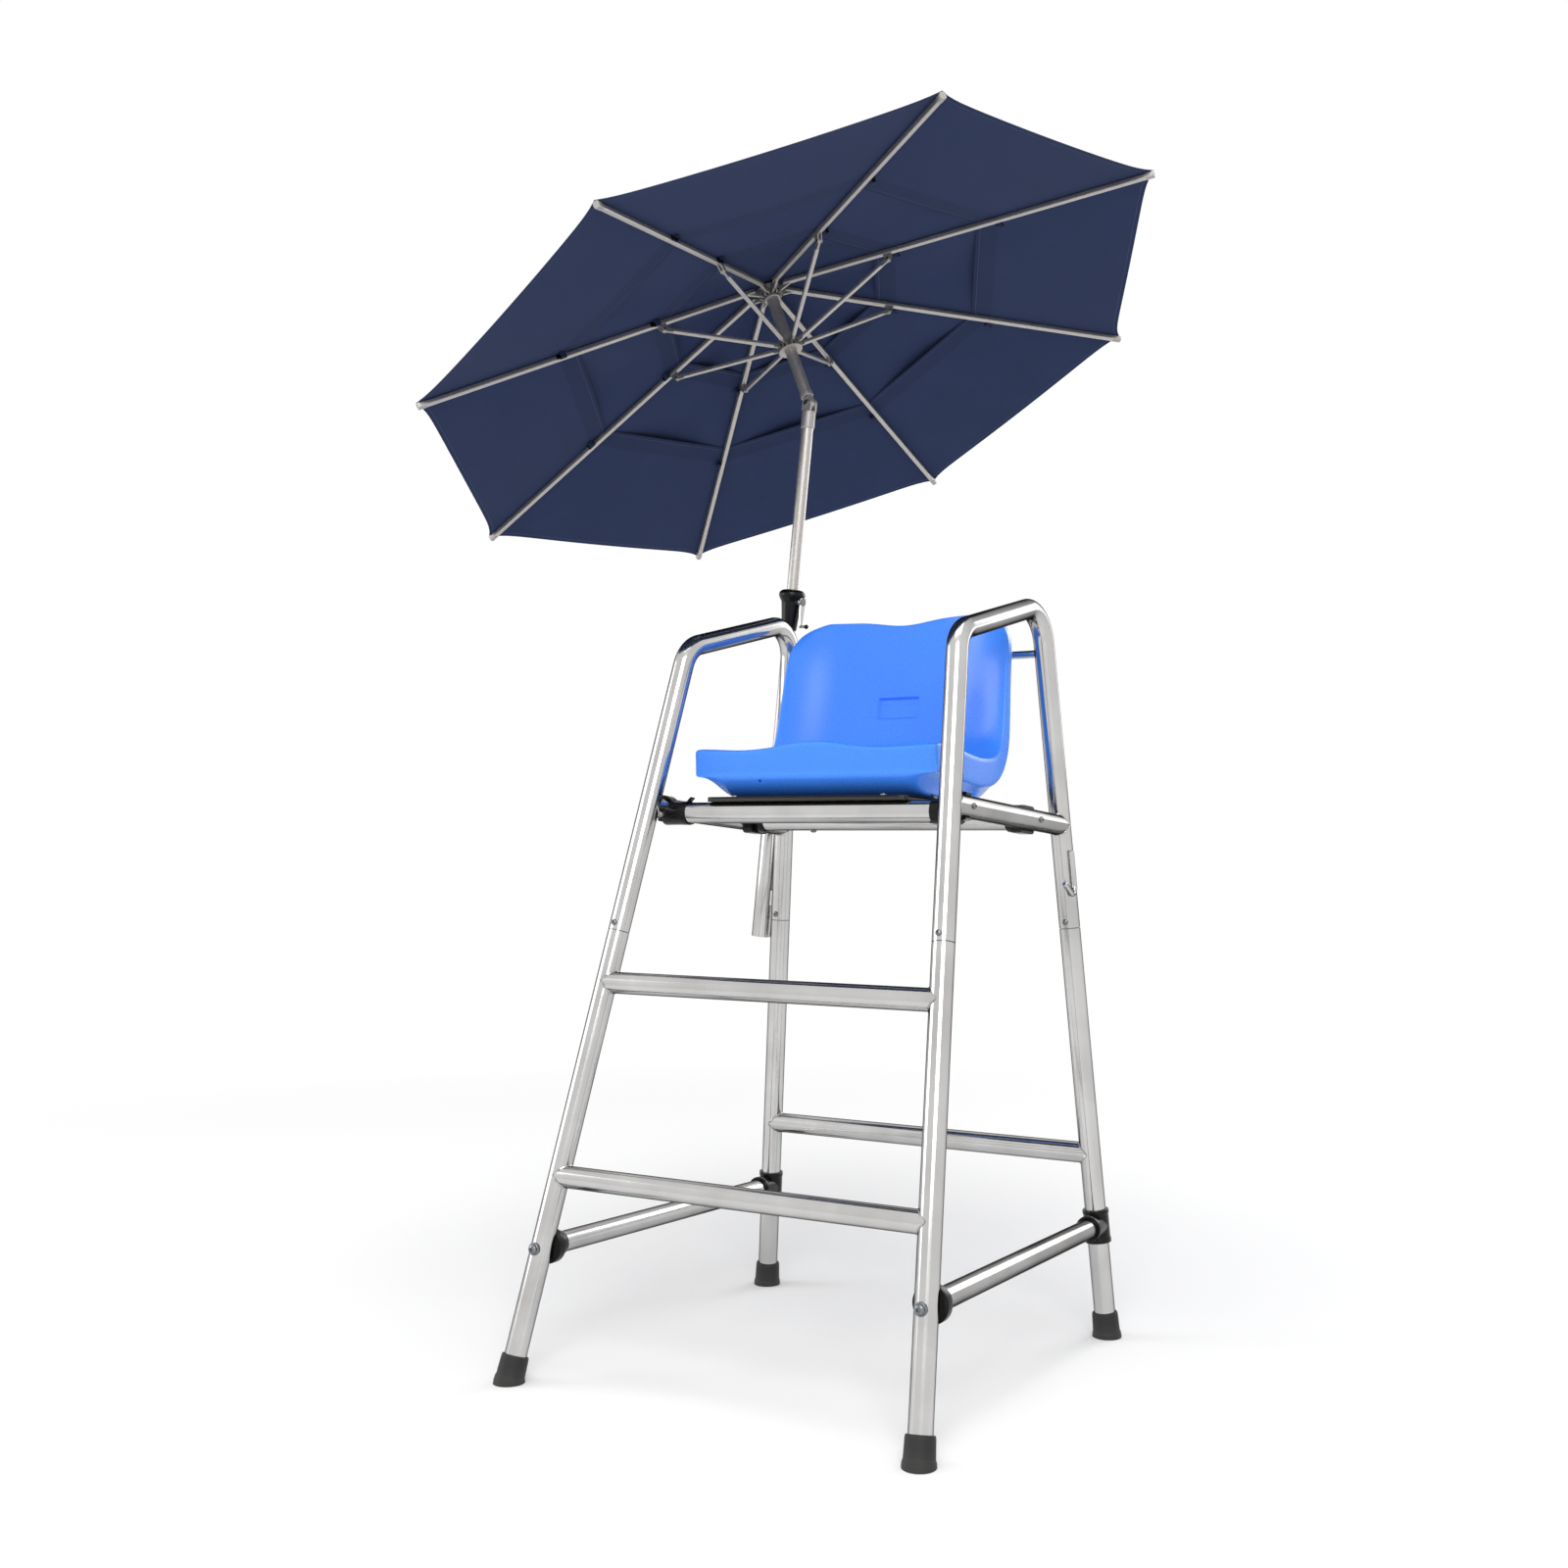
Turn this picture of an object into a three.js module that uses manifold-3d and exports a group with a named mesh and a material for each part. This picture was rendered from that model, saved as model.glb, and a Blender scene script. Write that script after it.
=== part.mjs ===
// Lifeguard chair of bent tube with two steps, a bucket seat and a tilting umbrella.
// Millimetres, +Z up. The guard faces -Y, and left and right are as seen from the front.
import * as THREE from 'three';
import { mergeVertices } from 'three/addons/utils/BufferGeometryUtils.js';
import Module from 'manifold-3d';

const wasm = await Module();
wasm.setup();

// Tube stock and fits
const TUBE_DIAMETER = 38;
const TUBE_WALL = 1.5;
const STRETCHER_DIAMETER = 36;
const BACK_BAR_DIAMETER = 14;
const FIT_GAP = 0.3;
const CUT_OVERRUN = 5;
const WELD_DISTANCE = 0.001;
const TUBE_SIDES = 12;
const ROUND_SIDES = 16;
const SMALL_SIDES = 8;
const RING_SIDES = 24;

// Side frames: feet on the floor, bends at the ends of the handrail
const FRONT_FOOT_HALF_SPREAD = 385;
const FRONT_FOOT_Y = -392;
const FRONT_BEND_HALF_SPREAD = 274.5;
const FRONT_BEND_Y = -29;
const FRONT_BEND_HEIGHT = 1259;
const REAR_FOOT_HALF_SPREAD = 366.5;
const REAR_FOOT_Y = 392;
const REAR_BEND_HALF_SPREAD = 269;
const REAR_BEND_Y = 327;
const REAR_BEND_HEIGHT = 1340;
const BEND_RADIUS = 60;
const BEND_STEPS = 6;
const SEAM_HEIGHT = 745;
const SPIGOT_LENGTH = 60;
const SWAGE_LENGTH = 8;

// Rubber feet
const FOOT_HEIGHT = 45;
const FOOT_TOP_DIAMETER = 46;
const FOOT_SOLE_DIAMETER = 52;
const FOOT_SOLE_THICKNESS = 10;

// Steps, cross bars and stretchers
const LOWER_STEP_HEIGHT = 331;
const UPPER_STEP_HEIGHT = 657;
const REAR_BAR_HEIGHT = 333;
const BACK_BAR_HEIGHT = 1250;
const STRETCHER_FRONT_HEIGHT = 215;
const STRETCHER_REAR_HEIGHT = 202;

// Moulded fittings of the stretchers and the seat rails
const SADDLE_FLANGE_DIAMETER = 61;
const SADDLE_FLANGE_THICKNESS = 9;
const SADDLE_DOME_LENGTH = 20;
const SADDLE_DOME_END_WALL = 3.5;
const SADDLE_DOME_FOOT_DIAMETER = 48;
const SADDLE_WRAP = 6;
const CLAMP_WALL = 4;
const CLAMP_RING_LENGTH = 60;
const CLAMP_SLEEVE_REACH = 46;
const CONNECTOR_CLIP_DIAMETER = 52;
const CONNECTOR_CLIP_LENGTH = 27;
const CONNECTOR_CLIP_WRAP = 10;
const CONNECTOR_STOP = 26;
const CONNECTOR_NECK_WALL = 2.5;
const CONNECTOR_NECK_LENGTH = 50;
const CONNECTOR_CUP_START = 44;
const CONNECTOR_CUP_DIAMETER = 54;
const CONNECTOR_CUP_WALL = 3.5;
const CONNECTOR_REACH = 64;

// Seat rails
const SIDE_RAIL_FRONT_HEIGHT = 967;
const SIDE_RAIL_REAR_HEIGHT = 933;
const FRONT_RAIL_Y = -62;
const FRONT_RAIL_DROP = 8;
const REAR_RAIL_Y = 214;
const RAIL_SADDLE_LENGTH = 60;
const RAIL_SADDLE_HEIGHT = 50;
const RAIL_SADDLE_CORNER = 12;
const RAIL_SADDLE_WRAP = 12;
const RAIL_SADDLE_PAD = 8;
const RAIL_SADDLE_PLUG = 30;

// Dome-headed bolts
const BOLT_DIAMETER = 8;
const BOLT_HEAD_DIAMETER = 17;
const BOLT_HEAD_HEIGHT = 6;
const BOLT_BOSS_DIAMETER = 22;
const BOLT_BOSS_HEIGHT = 3.5;
const SADDLE_BOLT_BITE = 6;
const STUD_DIAMETER = 5;
const STUD_HEAD_DIAMETER = 10;
const STUD_HEAD_HEIGHT = 3;
const STUD_BITE = 5;
const SEAM_SCREW_RISE = 12;

// Life-ring hook, bent from rod on the right rear leg
const HOOK_ROD_DIAMETER = 10;
const HOOK_SEAM_RISE = 52;
const HOOK_LENGTH = 88;
const HOOK_REACH = 50;
const HOOK_TIP_RISE = 30;
const HOOK_BEND_RADIUS = 14;
const HOOK_HEADING = -28;

// Seat base plate and its screws
const PLATE_THICKNESS = 8;
const PLATE_SHEET = 3;
const PLATE_RIM = 24;
const PLATE_BOLT_HALF_SPREAD = 150;
const PLATE_WIDTH = 400;
const PLATE_FRONT = -18;
const PLATE_REAR = 290;
const SCREW_DIAMETER = 6;
const SCREW_HEAD_DIAMETER = 12;
const SCREW_HEAD_HEIGHT = 4;
const SCREW_GRIP = 17;
const SCREW_HALF_SPREAD = 120;
const SCREW_FRONT = 74;
const SCREW_REAR = 234;

// Bucket seat: its own frame starts over the front rail, on the plate, with +Y to the rear
const SEAT_WIDTH = 492;
const SEAT_FRONT = 4;
const SEAT_REACH = 343;
const SEAT_RISE = 367;
const SEAT_TOP_DIP = 10;
const SEAT_WALL = 4;
const SEAT_TOP_CORNER_RADIUS = 74;
const SEAT_WAVE = 7;
const SEAT_CHAMFER = 62;
const SEAT_VENT_LENGTH = 110;
const SEAT_VENT_WIDTH = 90;
const SEAT_VENT_Y = 154;
const RECESS_WIDTH = 90;
const RECESS_HEIGHT = 40;
const RECESS_DEPTH = 2.5;
const RECESS_CENTRE_RISE = 194;
const DRAIN_HOLE_DIAMETER = 5;
const DRAIN_HOLE_X = -108;
const DRAIN_HOLE_RISE = 38;
const DRAIN_HOLE_DEPTH = 30;

// Umbrella socket behind the left rear leg, with its liner and clamp knob
const SOCKET_LENGTH = 232;
const SOCKET_WALL = 1.5;
const LINER_FLANGE_THICKNESS = 3;
const LINER_FLOOR = 6;
const SOCKET_TAB_HEIGHT = 30;
const SOCKET_TAB_WIDTH = 12;
const socketTabShares = [0.34, 0.86];
const KNOB_DIAMETER = 34;
const KNOB_HEIGHT = 14;
const KNOB_STANDOFF = 9;
const KNOB_SCREW_DIAMETER = 8;
const KNOB_LOBE_DEPTH = 2.4;
const KNOB_LOBES = 6;
const KNOB_HEADING = 122;
const KNOB_BOSS_WALL = 3;
const knobSpotShare = 0.6;

// Mast: its foot and tilt pivot set the lower pole's line, the lean sets the upper pole's
const MAST_FOOT_X = -361.4;
const MAST_Y = 360;
const MAST_FOOT_HEIGHT = 709.4;
const TILT_PIVOT_X = -245.6;
const TILT_PIVOT_HEIGHT = 1785;
const UPPER_LEAN = 23.45;
const UPPER_LEAN_HEADING = 170.16;
const POLE_DIAMETER = 24;
const POLE_WALL = 1.3;
const POLE_FIT_GAP = 0.4;

// Crank and its housing on the lower pole
const HOUSING_TOP_DROP = 377;
const HOUSING_HEIGHT = 82;
const HOUSING_TOP_DIAMETER = 45;
const HOUSING_FOOT_DIAMETER = 28;
const HOUSING_RIM_HEIGHT = 7;
const CRANK_DROP = 24;
const CRANK_BOSS_DIAMETER = 20;
const CRANK_BOSS_REACH = 25;
const CRANK_HUB_DIAMETER = 19;
const CRANK_HUB_THICKNESS = 6;
const CRANK_SHAFT_DIAMETER = 6;
const CRANK_SHAFT_DEPTH = 8;
const CRANK_ARM_LENGTH = 49;
const CRANK_ARM_ROOT_WIDTH = 15;
const CRANK_ARM_TIP_WIDTH = 7;
const CRANK_ARM_THICKNESS = 3;
const CRANK_HANDLE_DIAMETER = 6;
const CRANK_HANDLE_LENGTH = 15;
const CRANK_HEADING = 88;

// Tilt joint
const FORK_SLEEVE_LENGTH = 32;
const FORK_SLEEVE_WALL = 2;
const FORK_BASE_DROP = 14;
const FORK_BASE_THICKNESS = 4;
const FORK_CHEEK_THICKNESS = 5;
const FORK_CHEEK_RADIUS = 11;
const TONGUE_THICKNESS = 10;
const TONGUE_RADIUS = 10;
const TONGUE_COLLAR_START = 16;
const TONGUE_COLLAR_THICKNESS = 5;
const TILT_PIN_DIAMETER = 8;
const TILT_PIN_HEAD_DIAMETER = 13;
const TILT_PIN_HEAD_THICKNESS = 3;

// Umbrella head: the rib lines meet on the pole axis at the crown height above the tilt pivot
const CROWN_HEIGHT = 281.6;
const RIB_COUNT = 8;
const RIB_PHASE = 15;
const RIB_ANGLE = 75.4;
const RIB_LENGTH = 809;
const RIB_WIDTH = 14;
const RIB_DEPTH = 16;
const RIB_WALL = 1.2;
const RIB_CORNER = 3;
const RIB_TUBE_START = 36;
const RIB_PIVOT_DROP = 11.5;
const STRUT_PIVOT_REACH = 265.8;
const STRUT_PIVOT_DROP = 13;
const PIVOT_RADIUS = 20;
const LINK_THICKNESS = 4.6;
const LINK_EYE_RADIUS = 4.4;
const LINK_HOLE_DIAMETER = 4.6;
const LINK_PIN_DIAMETER = 3;
const LINK_TAIL = 12;
const BRACKET_THICKNESS = 2;
const BRACKET_GAP = 5.4;
const BRACKET_LENGTH = 14;
const STRUT_WIDTH = 11;
const STRUT_WALL = 1.2;
const STRUT_CORNER = 2.5;
const STRUT_OUTER_START = 20;
const STRUT_INNER_END = 16;
const HUB_DIAMETER = 50;
const HUB_SLOT_FLOOR = 14.2;
const HUB_SLOT_WIDTH = 6;
const HUB_HALF_HEIGHT = 13;
const HUB_WEB_THICKNESS = 4;
const RUNNER_COLLAR_DIAMETER = 34;
const RUNNER_COLLAR_LENGTH = 11;
const TIP_CAP_LENGTH = 16;
const TIP_CAP_LIP = 1.5;
const HOOK_CLIP_LENGTH = 12;
const HOOK_CLIP_WIDTH = 7;
const HOOK_CLIP_HEIGHT = 9;

// Three-tier canopy: each tier's inner and outer edge along the rib, and its lift over the tier below
const CLOTH_THICKNESS = 1.2;
const CLOTH_HOLE_RADIUS = 15;
const TIER_LAP = 46;
const TIER_VENT = 14;
const HEM_INSET = 12;
const HEM_EAR = 55;
const tierEdgeShares = [0.35, 0.62, 1];
const gorePointShares = [0, 0.2, 0.6, 1];
const tierPointShares = [0, 0.8, 1];
const sewnLiftShare = 0.5;
const FINIAL_DIAMETER = 46;
const FINIAL_HEIGHT = 20;
const FINIAL_STEM_DIAMETER = 12;

const steel = { color: 0xd2d4d6, roughness: 0.16, metalness: 1 };
const aluminium = { color: 0xb8b4b0, roughness: 0.38, metalness: 0.9 };
const bluePlastic = { color: 0x3a76ee, roughness: 0.3, metalness: 0 };
const blackPlastic = { color: 0x262626, roughness: 0.45, metalness: 0 };
const blackRubber = { color: 0x1e1e1e, roughness: 0.7, metalness: 0 };
const blackSteel = { color: 0x2a2a2c, roughness: 0.5, metalness: 0.4 };
const navyCloth = { color: 0x303c58, roughness: 0.85, metalness: 0 };

const tubeRadius = TUBE_DIAMETER / 2;
const tubeBore = tubeRadius - TUBE_WALL;
const stretcherRadius = STRETCHER_DIAMETER / 2;
const poleRadius = POLE_DIAMETER / 2;
const poleBore = poleRadius - POLE_WALL;
const boltHole = BOLT_DIAMETER / 2 + FIT_GAP;
const studHole = STUD_DIAMETER / 2 + FIT_GAP;
const boltBossFace = tubeRadius + BOLT_BOSS_HEIGHT;
const saddleBoltGrip = boltBossFace + FIT_GAP + tubeRadius + SADDLE_BOLT_BITE;
const railStudGrip = tubeRadius + tubeRadius + STUD_BITE;
const seamScrewGrip = TUBE_WALL + TUBE_WALL + CUT_OVERRUN;

const zAxis = new THREE.Vector3(0, 0, 1);
const unitScale = new THREE.Vector3(1, 1, 1);

// Solids

function solidOf(geometry) {
  const bare = geometry.clone();
  bare.deleteAttribute('normal');
  bare.deleteAttribute('uv');
  const welded = mergeVertices(bare, WELD_DISTANCE);
  const corners = [];
  for (let i = 0; i < welded.index.count; i += 3) {
    const [a, b, c] = [0, 1, 2].map((k) => welded.index.getX(i + k));
    if (a !== b && b !== c && c !== a) corners.push(a, b, c);
  }
  const build = (triVerts) => new wasm.Manifold(new wasm.Mesh({
    numProp: 3,
    vertProperties: Float32Array.from(welded.attributes.position.array),
    triVerts: Uint32Array.from(triVerts),
  }));
  const solid = build(corners);
  return solid.volume() > 0 ? solid : build(corners.reverse());
}

function geometryOf(solid) {
  const mesh = solid.getMesh();
  const geometry = new THREE.BufferGeometry();
  geometry.setAttribute('position', new THREE.BufferAttribute(mesh.vertProperties, 3));
  geometry.setIndex(new THREE.BufferAttribute(mesh.triVerts, 1));
  geometry.computeVertexNormals();
  return geometry;
}

const joined = (solids) => solids.reduce((sum, solid) => sum.add(solid));
const without = (solid, cutters) => cutters.reduce((rest, cutter) => rest.subtract(cutter), solid);

// Matrix that carries a shape made along +Z to a line between two points
function along(from, to) {
  const direction = to.clone().sub(from).normalize();
  const turn = new THREE.Quaternion().setFromUnitVectors(zAxis, direction);
  return new THREE.Matrix4().compose(from, turn, unitScale);
}

// Matrix of a frame with given X and Z axes
function frameOf(origin, xDirection, zDirection) {
  const z = zDirection.clone().normalize();
  const y = new THREE.Vector3().crossVectors(z, xDirection).normalize();
  const x = new THREE.Vector3().crossVectors(y, z);
  return new THREE.Matrix4().makeBasis(x, y, z).setPosition(origin);
}

// A shape turned about +Z from pairs of radius and height
function turned(profile, sides = ROUND_SIDES) {
  const points = profile.map(([radius, height]) => new THREE.Vector2(radius, height));
  return new THREE.LatheGeometry(points, sides).rotateX(Math.PI / 2);
}

function turnedBetween(from, to, profile, sides) {
  return solidOf(turned(profile, sides).applyMatrix4(along(from, to)));
}

function rod(from, to, radius, sides = TUBE_SIDES) {
  const length = from.distanceTo(to);
  return turnedBetween(from, to, [[0, 0], [radius, 0], [radius, length], [0, length]], sides);
}

function ringProfile(outer, inner, low, high) {
  return [[inner, low], [outer, low], [outer, high], [inner, high], [inner, low]];
}

function tube(from, to, outer, inner, sides = TUBE_SIDES) {
  return turnedBetween(from, to, ringProfile(outer, inner, 0, from.distanceTo(to)), sides);
}

// Bore that leaves a gap to a tube with the same number of sides, in line with it or at any turn
const halfSide = Math.cos(Math.PI / TUBE_SIDES);
const boreFor = (radius, gap = FIT_GAP) => radius + gap / halfSide;
const freeBoreFor = (radius, gap) => (radius + gap) / halfSide;

// Cutter that leaves the fit gap round a tube between two points
function clearanceOf(from, to, radius) {
  return rod(from, to, boreFor(radius));
}

// A point a given distance from one point towards another
function towards(from, to, distance) {
  return from.clone().add(to.clone().sub(from).setLength(distance));
}

function atHeight(low, high, height) {
  return low.clone().lerp(high, (height - low.z) / (high.z - low.z));
}

// Route with straight runs and round bends, stepped only round the bends
class BentRoute extends THREE.Curve {
  constructor(corners, radius, steps) {
    super();
    this.stations = [{ point: corners[0], heading: corners[1].clone().sub(corners[0]).normalize() }];
    for (let i = 1; i < corners.length - 1; i += 1) this.addBend(corners, i, radius, steps);
    const [before, last] = corners.slice(-2);
    this.stations.push({ point: last, heading: last.clone().sub(before).normalize() });
  }

  addBend(corners, index, radius, steps) {
    const corner = corners[index];
    const entry = corner.clone().sub(corners[index - 1]).normalize();
    const exit = corners[index + 1].clone().sub(corner).normalize();
    const turn = entry.angleTo(exit);
    const start = corner.clone().addScaledVector(entry, -radius * Math.tan(turn / 2));
    const axis = new THREE.Vector3().crossVectors(entry, exit).normalize();
    const inward = new THREE.Vector3().crossVectors(axis, entry);
    const centre = start.clone().addScaledVector(inward, radius);
    for (let step = 0; step <= steps; step += 1) {
      const angle = (turn * step) / steps;
      const spoke = inward.clone().negate().applyAxisAngle(axis, angle);
      this.stations.push({
        point: centre.clone().addScaledVector(spoke, radius),
        heading: entry.clone().applyAxisAngle(axis, angle),
      });
    }
  }

  nearest(share) {
    const place = Math.round(share * (this.stations.length - 1));
    return this.stations[place];
  }

  getPoint(share) {
    return this.nearest(share).point.clone();
  }

  getPointAt(share) {
    return this.getPoint(share);
  }

  getTangentAt(share) {
    return this.nearest(share).heading.clone();
  }
}

function regularOutline(radius, sides) {
  const corners = [];
  for (let i = 0; i < sides; i += 1) {
    const angle = (2 * Math.PI * i) / sides;
    corners.push(new THREE.Vector2(radius * Math.cos(angle), radius * Math.sin(angle)));
  }
  return corners;
}

function bentBar(corners, bendRadius, outer, inner, sides, steps) {
  const route = new BentRoute(corners, bendRadius, steps);
  const section = new THREE.Shape(regularOutline(outer, sides));
  if (inner > 0) section.holes.push(new THREE.Path(regularOutline(inner, sides).reverse()));
  const options = { steps: route.stations.length - 1, extrudePath: route };
  return solidOf(new THREE.ExtrudeGeometry(section, options));
}

// A plate cut from an outline in X and Y, centred on Z
function plate(outline, thickness) {
  const options = { depth: thickness, bevelEnabled: false };
  const geometry = new THREE.ExtrudeGeometry(new THREE.Shape(outline), options);
  return geometry.translate(0, 0, -thickness / 2);
}

function roundedOutline(width, height, corner) {
  const [w, h] = [width / 2, height / 2];
  return [
    [corner - w, -h], [w - corner, -h], [w, corner - h], [w, h - corner],
    [w - corner, h], [corner - w, h], [-w, h - corner], [-w, corner - h],
  ].map(([x, y]) => new THREE.Vector2(x, y));
}

// A closed solid between two grids of points with the same rows and columns
function solidBetween(face, back) {
  const rows = face.length;
  const columns = face[0].length;
  const positions = [...face.flat(), ...back.flat()].flatMap((point) => point.toArray());
  const at = (layer, row, column) => (layer * rows + row) * columns + column;
  const corners = [];
  const quad = (a, b, c, d) => corners.push(a, b, c, a, c, d);
  for (let row = 0; row + 1 < rows; row += 1) {
    for (let column = 0; column + 1 < columns; column += 1) {
      quad(at(0, row, column), at(0, row, column + 1), at(0, row + 1, column + 1), at(0, row + 1, column));
      quad(at(1, row, column), at(1, row + 1, column), at(1, row + 1, column + 1), at(1, row, column + 1));
    }
    const last = columns - 1;
    quad(at(0, row, 0), at(0, row + 1, 0), at(1, row + 1, 0), at(1, row, 0));
    quad(at(0, row, last), at(1, row, last), at(1, row + 1, last), at(0, row + 1, last));
  }
  for (let column = 0; column + 1 < columns; column += 1) {
    const last = rows - 1;
    quad(at(0, 0, column), at(1, 0, column), at(1, 0, column + 1), at(0, 0, column + 1));
    quad(at(0, last, column), at(0, last, column + 1), at(1, last, column + 1), at(1, last, column));
  }
  const geometry = new THREE.BufferGeometry();
  geometry.setAttribute('position', new THREE.Float32BufferAttribute(positions, 3));
  geometry.setIndex(corners);
  return solidOf(geometry);
}

const eased = (share) => {
  const t = THREE.MathUtils.clamp(share, 0, 1);
  return t * t * (3 - 2 * t);
};

const chair = new THREE.Group();

function addPiece(parent, name, solid, look) {
  const mesh = new THREE.Mesh(geometryOf(solid), new THREE.MeshStandardMaterial(look));
  mesh.name = name;
  parent.add(mesh);
  return mesh;
}

// Corners of one side frame; side is -1 for left and 1 for right
function frameCorners(side) {
  return {
    frontFoot: new THREE.Vector3(side * FRONT_FOOT_HALF_SPREAD, FRONT_FOOT_Y, 0),
    frontBend: new THREE.Vector3(side * FRONT_BEND_HALF_SPREAD, FRONT_BEND_Y, FRONT_BEND_HEIGHT),
    rearFoot: new THREE.Vector3(side * REAR_FOOT_HALF_SPREAD, REAR_FOOT_Y, 0),
    rearBend: new THREE.Vector3(side * REAR_BEND_HALF_SPREAD, REAR_BEND_Y, REAR_BEND_HEIGHT),
  };
}

const sides = { left: -1, right: 1 };
const names = Object.keys(sides);
const corners = { left: frameCorners(sides.left), right: frameCorners(sides.right) };
const frontLegAt = (name, height) => atHeight(corners[name].frontFoot, corners[name].frontBend, height);
const rearLegAt = (name, height) => atHeight(corners[name].rearFoot, corners[name].rearBend, height);
const frontLegClearance = (name) => clearanceOf(corners[name].frontFoot, corners[name].frontBend, tubeRadius);
const rearLegClearance = (name) => clearanceOf(corners[name].rearFoot, corners[name].rearBend, tubeRadius);

// The upper side frames' route, from seam to seam
function upperRoute(name) {
  const { frontBend, rearBend } = corners[name];
  return [
    towards(frontLegAt(name, SEAM_HEIGHT), frontBend, FIT_GAP),
    frontBend,
    rearBend,
    towards(rearLegAt(name, SEAM_HEIGHT), rearBend, FIT_GAP),
  ];
}

function upperFrameClearance(name) {
  return bentBar(upperRoute(name), BEND_RADIUS, boreFor(tubeRadius), 0, TUBE_SIDES, BEND_STEPS);
}

// Bolts: head centre on the tube's surface, facing out along a direction

function bolt(seat, outward, diameter, headDiameter, headHeight, grip) {
  const [r, head] = [diameter / 2, headDiameter / 2];
  const crownShare = 0.66;
  const profile = [
    [0, -grip], [r, -grip], [r, 0], [head, 0], [head, headHeight * (1 - crownShare)],
    [head * crownShare, headHeight * crownShare], [0, headHeight],
  ];
  return turnedBetween(seat, seat.clone().add(outward), profile, SMALL_SIDES);
}

function boltHoleAt(seat, outward, radius, depth) {
  const start = seat.clone().addScaledVector(outward, -depth);
  return rod(start, seat.clone().addScaledVector(outward, CUT_OVERRUN), radius, SMALL_SIDES);
}

function stretcherEnds(name) {
  return {
    front: frontLegAt(name, STRETCHER_FRONT_HEIGHT),
    rear: rearLegAt(name, STRETCHER_REAR_HEIGHT),
  };
}

function sideRailEnds(name) {
  return {
    front: frontLegAt(name, SIDE_RAIL_FRONT_HEIGHT),
    rear: rearLegAt(name, SIDE_RAIL_REAR_HEIGHT),
  };
}

// Saddle bolts run from a boss on the front of each front leg into the saddle behind it
function saddleBoltPlace(name) {
  const { front, rear } = stretcherEnds(name);
  const outward = front.clone().sub(rear).normalize();
  return { seat: front.clone().addScaledVector(outward, boltBossFace + FIT_GAP), outward };
}

function boltBoss(name) {
  const { front, rear } = stretcherEnds(name);
  return rod(front, towards(front, rear, -boltBossFace), BOLT_BOSS_DIAMETER / 2, ROUND_SIDES);
}

// Studs through each side rail hold the front rail's connector and the rear rail's saddle
function railAt(name, y) {
  const { front, rear } = sideRailEnds(name);
  return front.clone().lerp(rear, (y - front.y) / (rear.y - front.y));
}

const outwardOf = (name) => new THREE.Vector3(sides[name], 0, 0);
const railStudSeat = (name, y) => railAt(name, y).addScaledVector(outwardOf(name), tubeRadius);

function railStud(name, y) {
  const seat = railStudSeat(name, y);
  return bolt(seat, outwardOf(name), STUD_DIAMETER, STUD_HEAD_DIAMETER, STUD_HEAD_HEIGHT, railStudGrip);
}

function railStudHole(name, y) {
  return boltHoleAt(railStudSeat(name, y), outwardOf(name), studHole, railStudGrip + CUT_OVERRUN);
}

// Screws just above each leg seam lock the lower legs to the upper frame, square to the leg
function seamOutward(name, legAt) {
  const up = legAt(name, SEAM_HEIGHT).sub(legAt(name, 0));
  return new THREE.Vector3(0, -1, 0).projectOnPlane(up).normalize();
}

function seamScrewSeat(name, legAt) {
  const centre = legAt(name, SEAM_HEIGHT + SEAM_SCREW_RISE);
  return centre.addScaledVector(seamOutward(name, legAt), tubeRadius + FIT_GAP);
}

function seamScrew(name, legAt) {
  const seat = seamScrewSeat(name, legAt);
  const out = seamOutward(name, legAt);
  return bolt(seat, out, STUD_DIAMETER, STUD_HEAD_DIAMETER, STUD_HEAD_HEIGHT, seamScrewGrip);
}

function seamHole(name, legAt) {
  const out = seamOutward(name, legAt);
  return boltHoleAt(seamScrewSeat(name, legAt), out, studHole, seamScrewGrip + CUT_OVERRUN);
}

function saddleBoltHole(name) {
  const { seat, outward } = saddleBoltPlace(name);
  return boltHoleAt(seat, outward, boltHole, saddleBoltGrip + CUT_OVERRUN);
}

// Upper side frames: each is one bent tube from seam to seam, with the handrail between its bends

for (const name of names) {
  const upper = bentBar(upperRoute(name), BEND_RADIUS, tubeRadius, tubeBore, TUBE_SIDES, BEND_STEPS);
  const holes = [seamHole(name, frontLegAt), seamHole(name, rearLegAt)];
  addPiece(chair, `side_frame_upper_${name}`, without(upper, holes), steel);
}

// Lower frames: two legs and the bars welded between them, open to each other inside

const spigotRadius = tubeBore - FIT_GAP;
const spigotBore = spigotRadius - TUBE_WALL;

function legBody(start, seam) {
  const length = start.distanceTo(seam);
  return turnedBetween(start, seam, [
    [0, 0], [tubeRadius, 0], [tubeRadius, length],
    [spigotRadius, length], [spigotRadius, length + SPIGOT_LENGTH], [0, length + SPIGOT_LENGTH],
  ], TUBE_SIDES);
}

function legHollow(start, seam) {
  const length = start.distanceTo(seam);
  const top = length + SPIGOT_LENGTH + CUT_OVERRUN;
  return turnedBetween(start, seam, [
    [0, -CUT_OVERRUN], [tubeBore, -CUT_OVERRUN], [tubeBore, length - SWAGE_LENGTH - SWAGE_LENGTH],
    [spigotBore, length - SWAGE_LENGTH], [spigotBore, top], [0, top],
  ], TUBE_SIDES);
}

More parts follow.
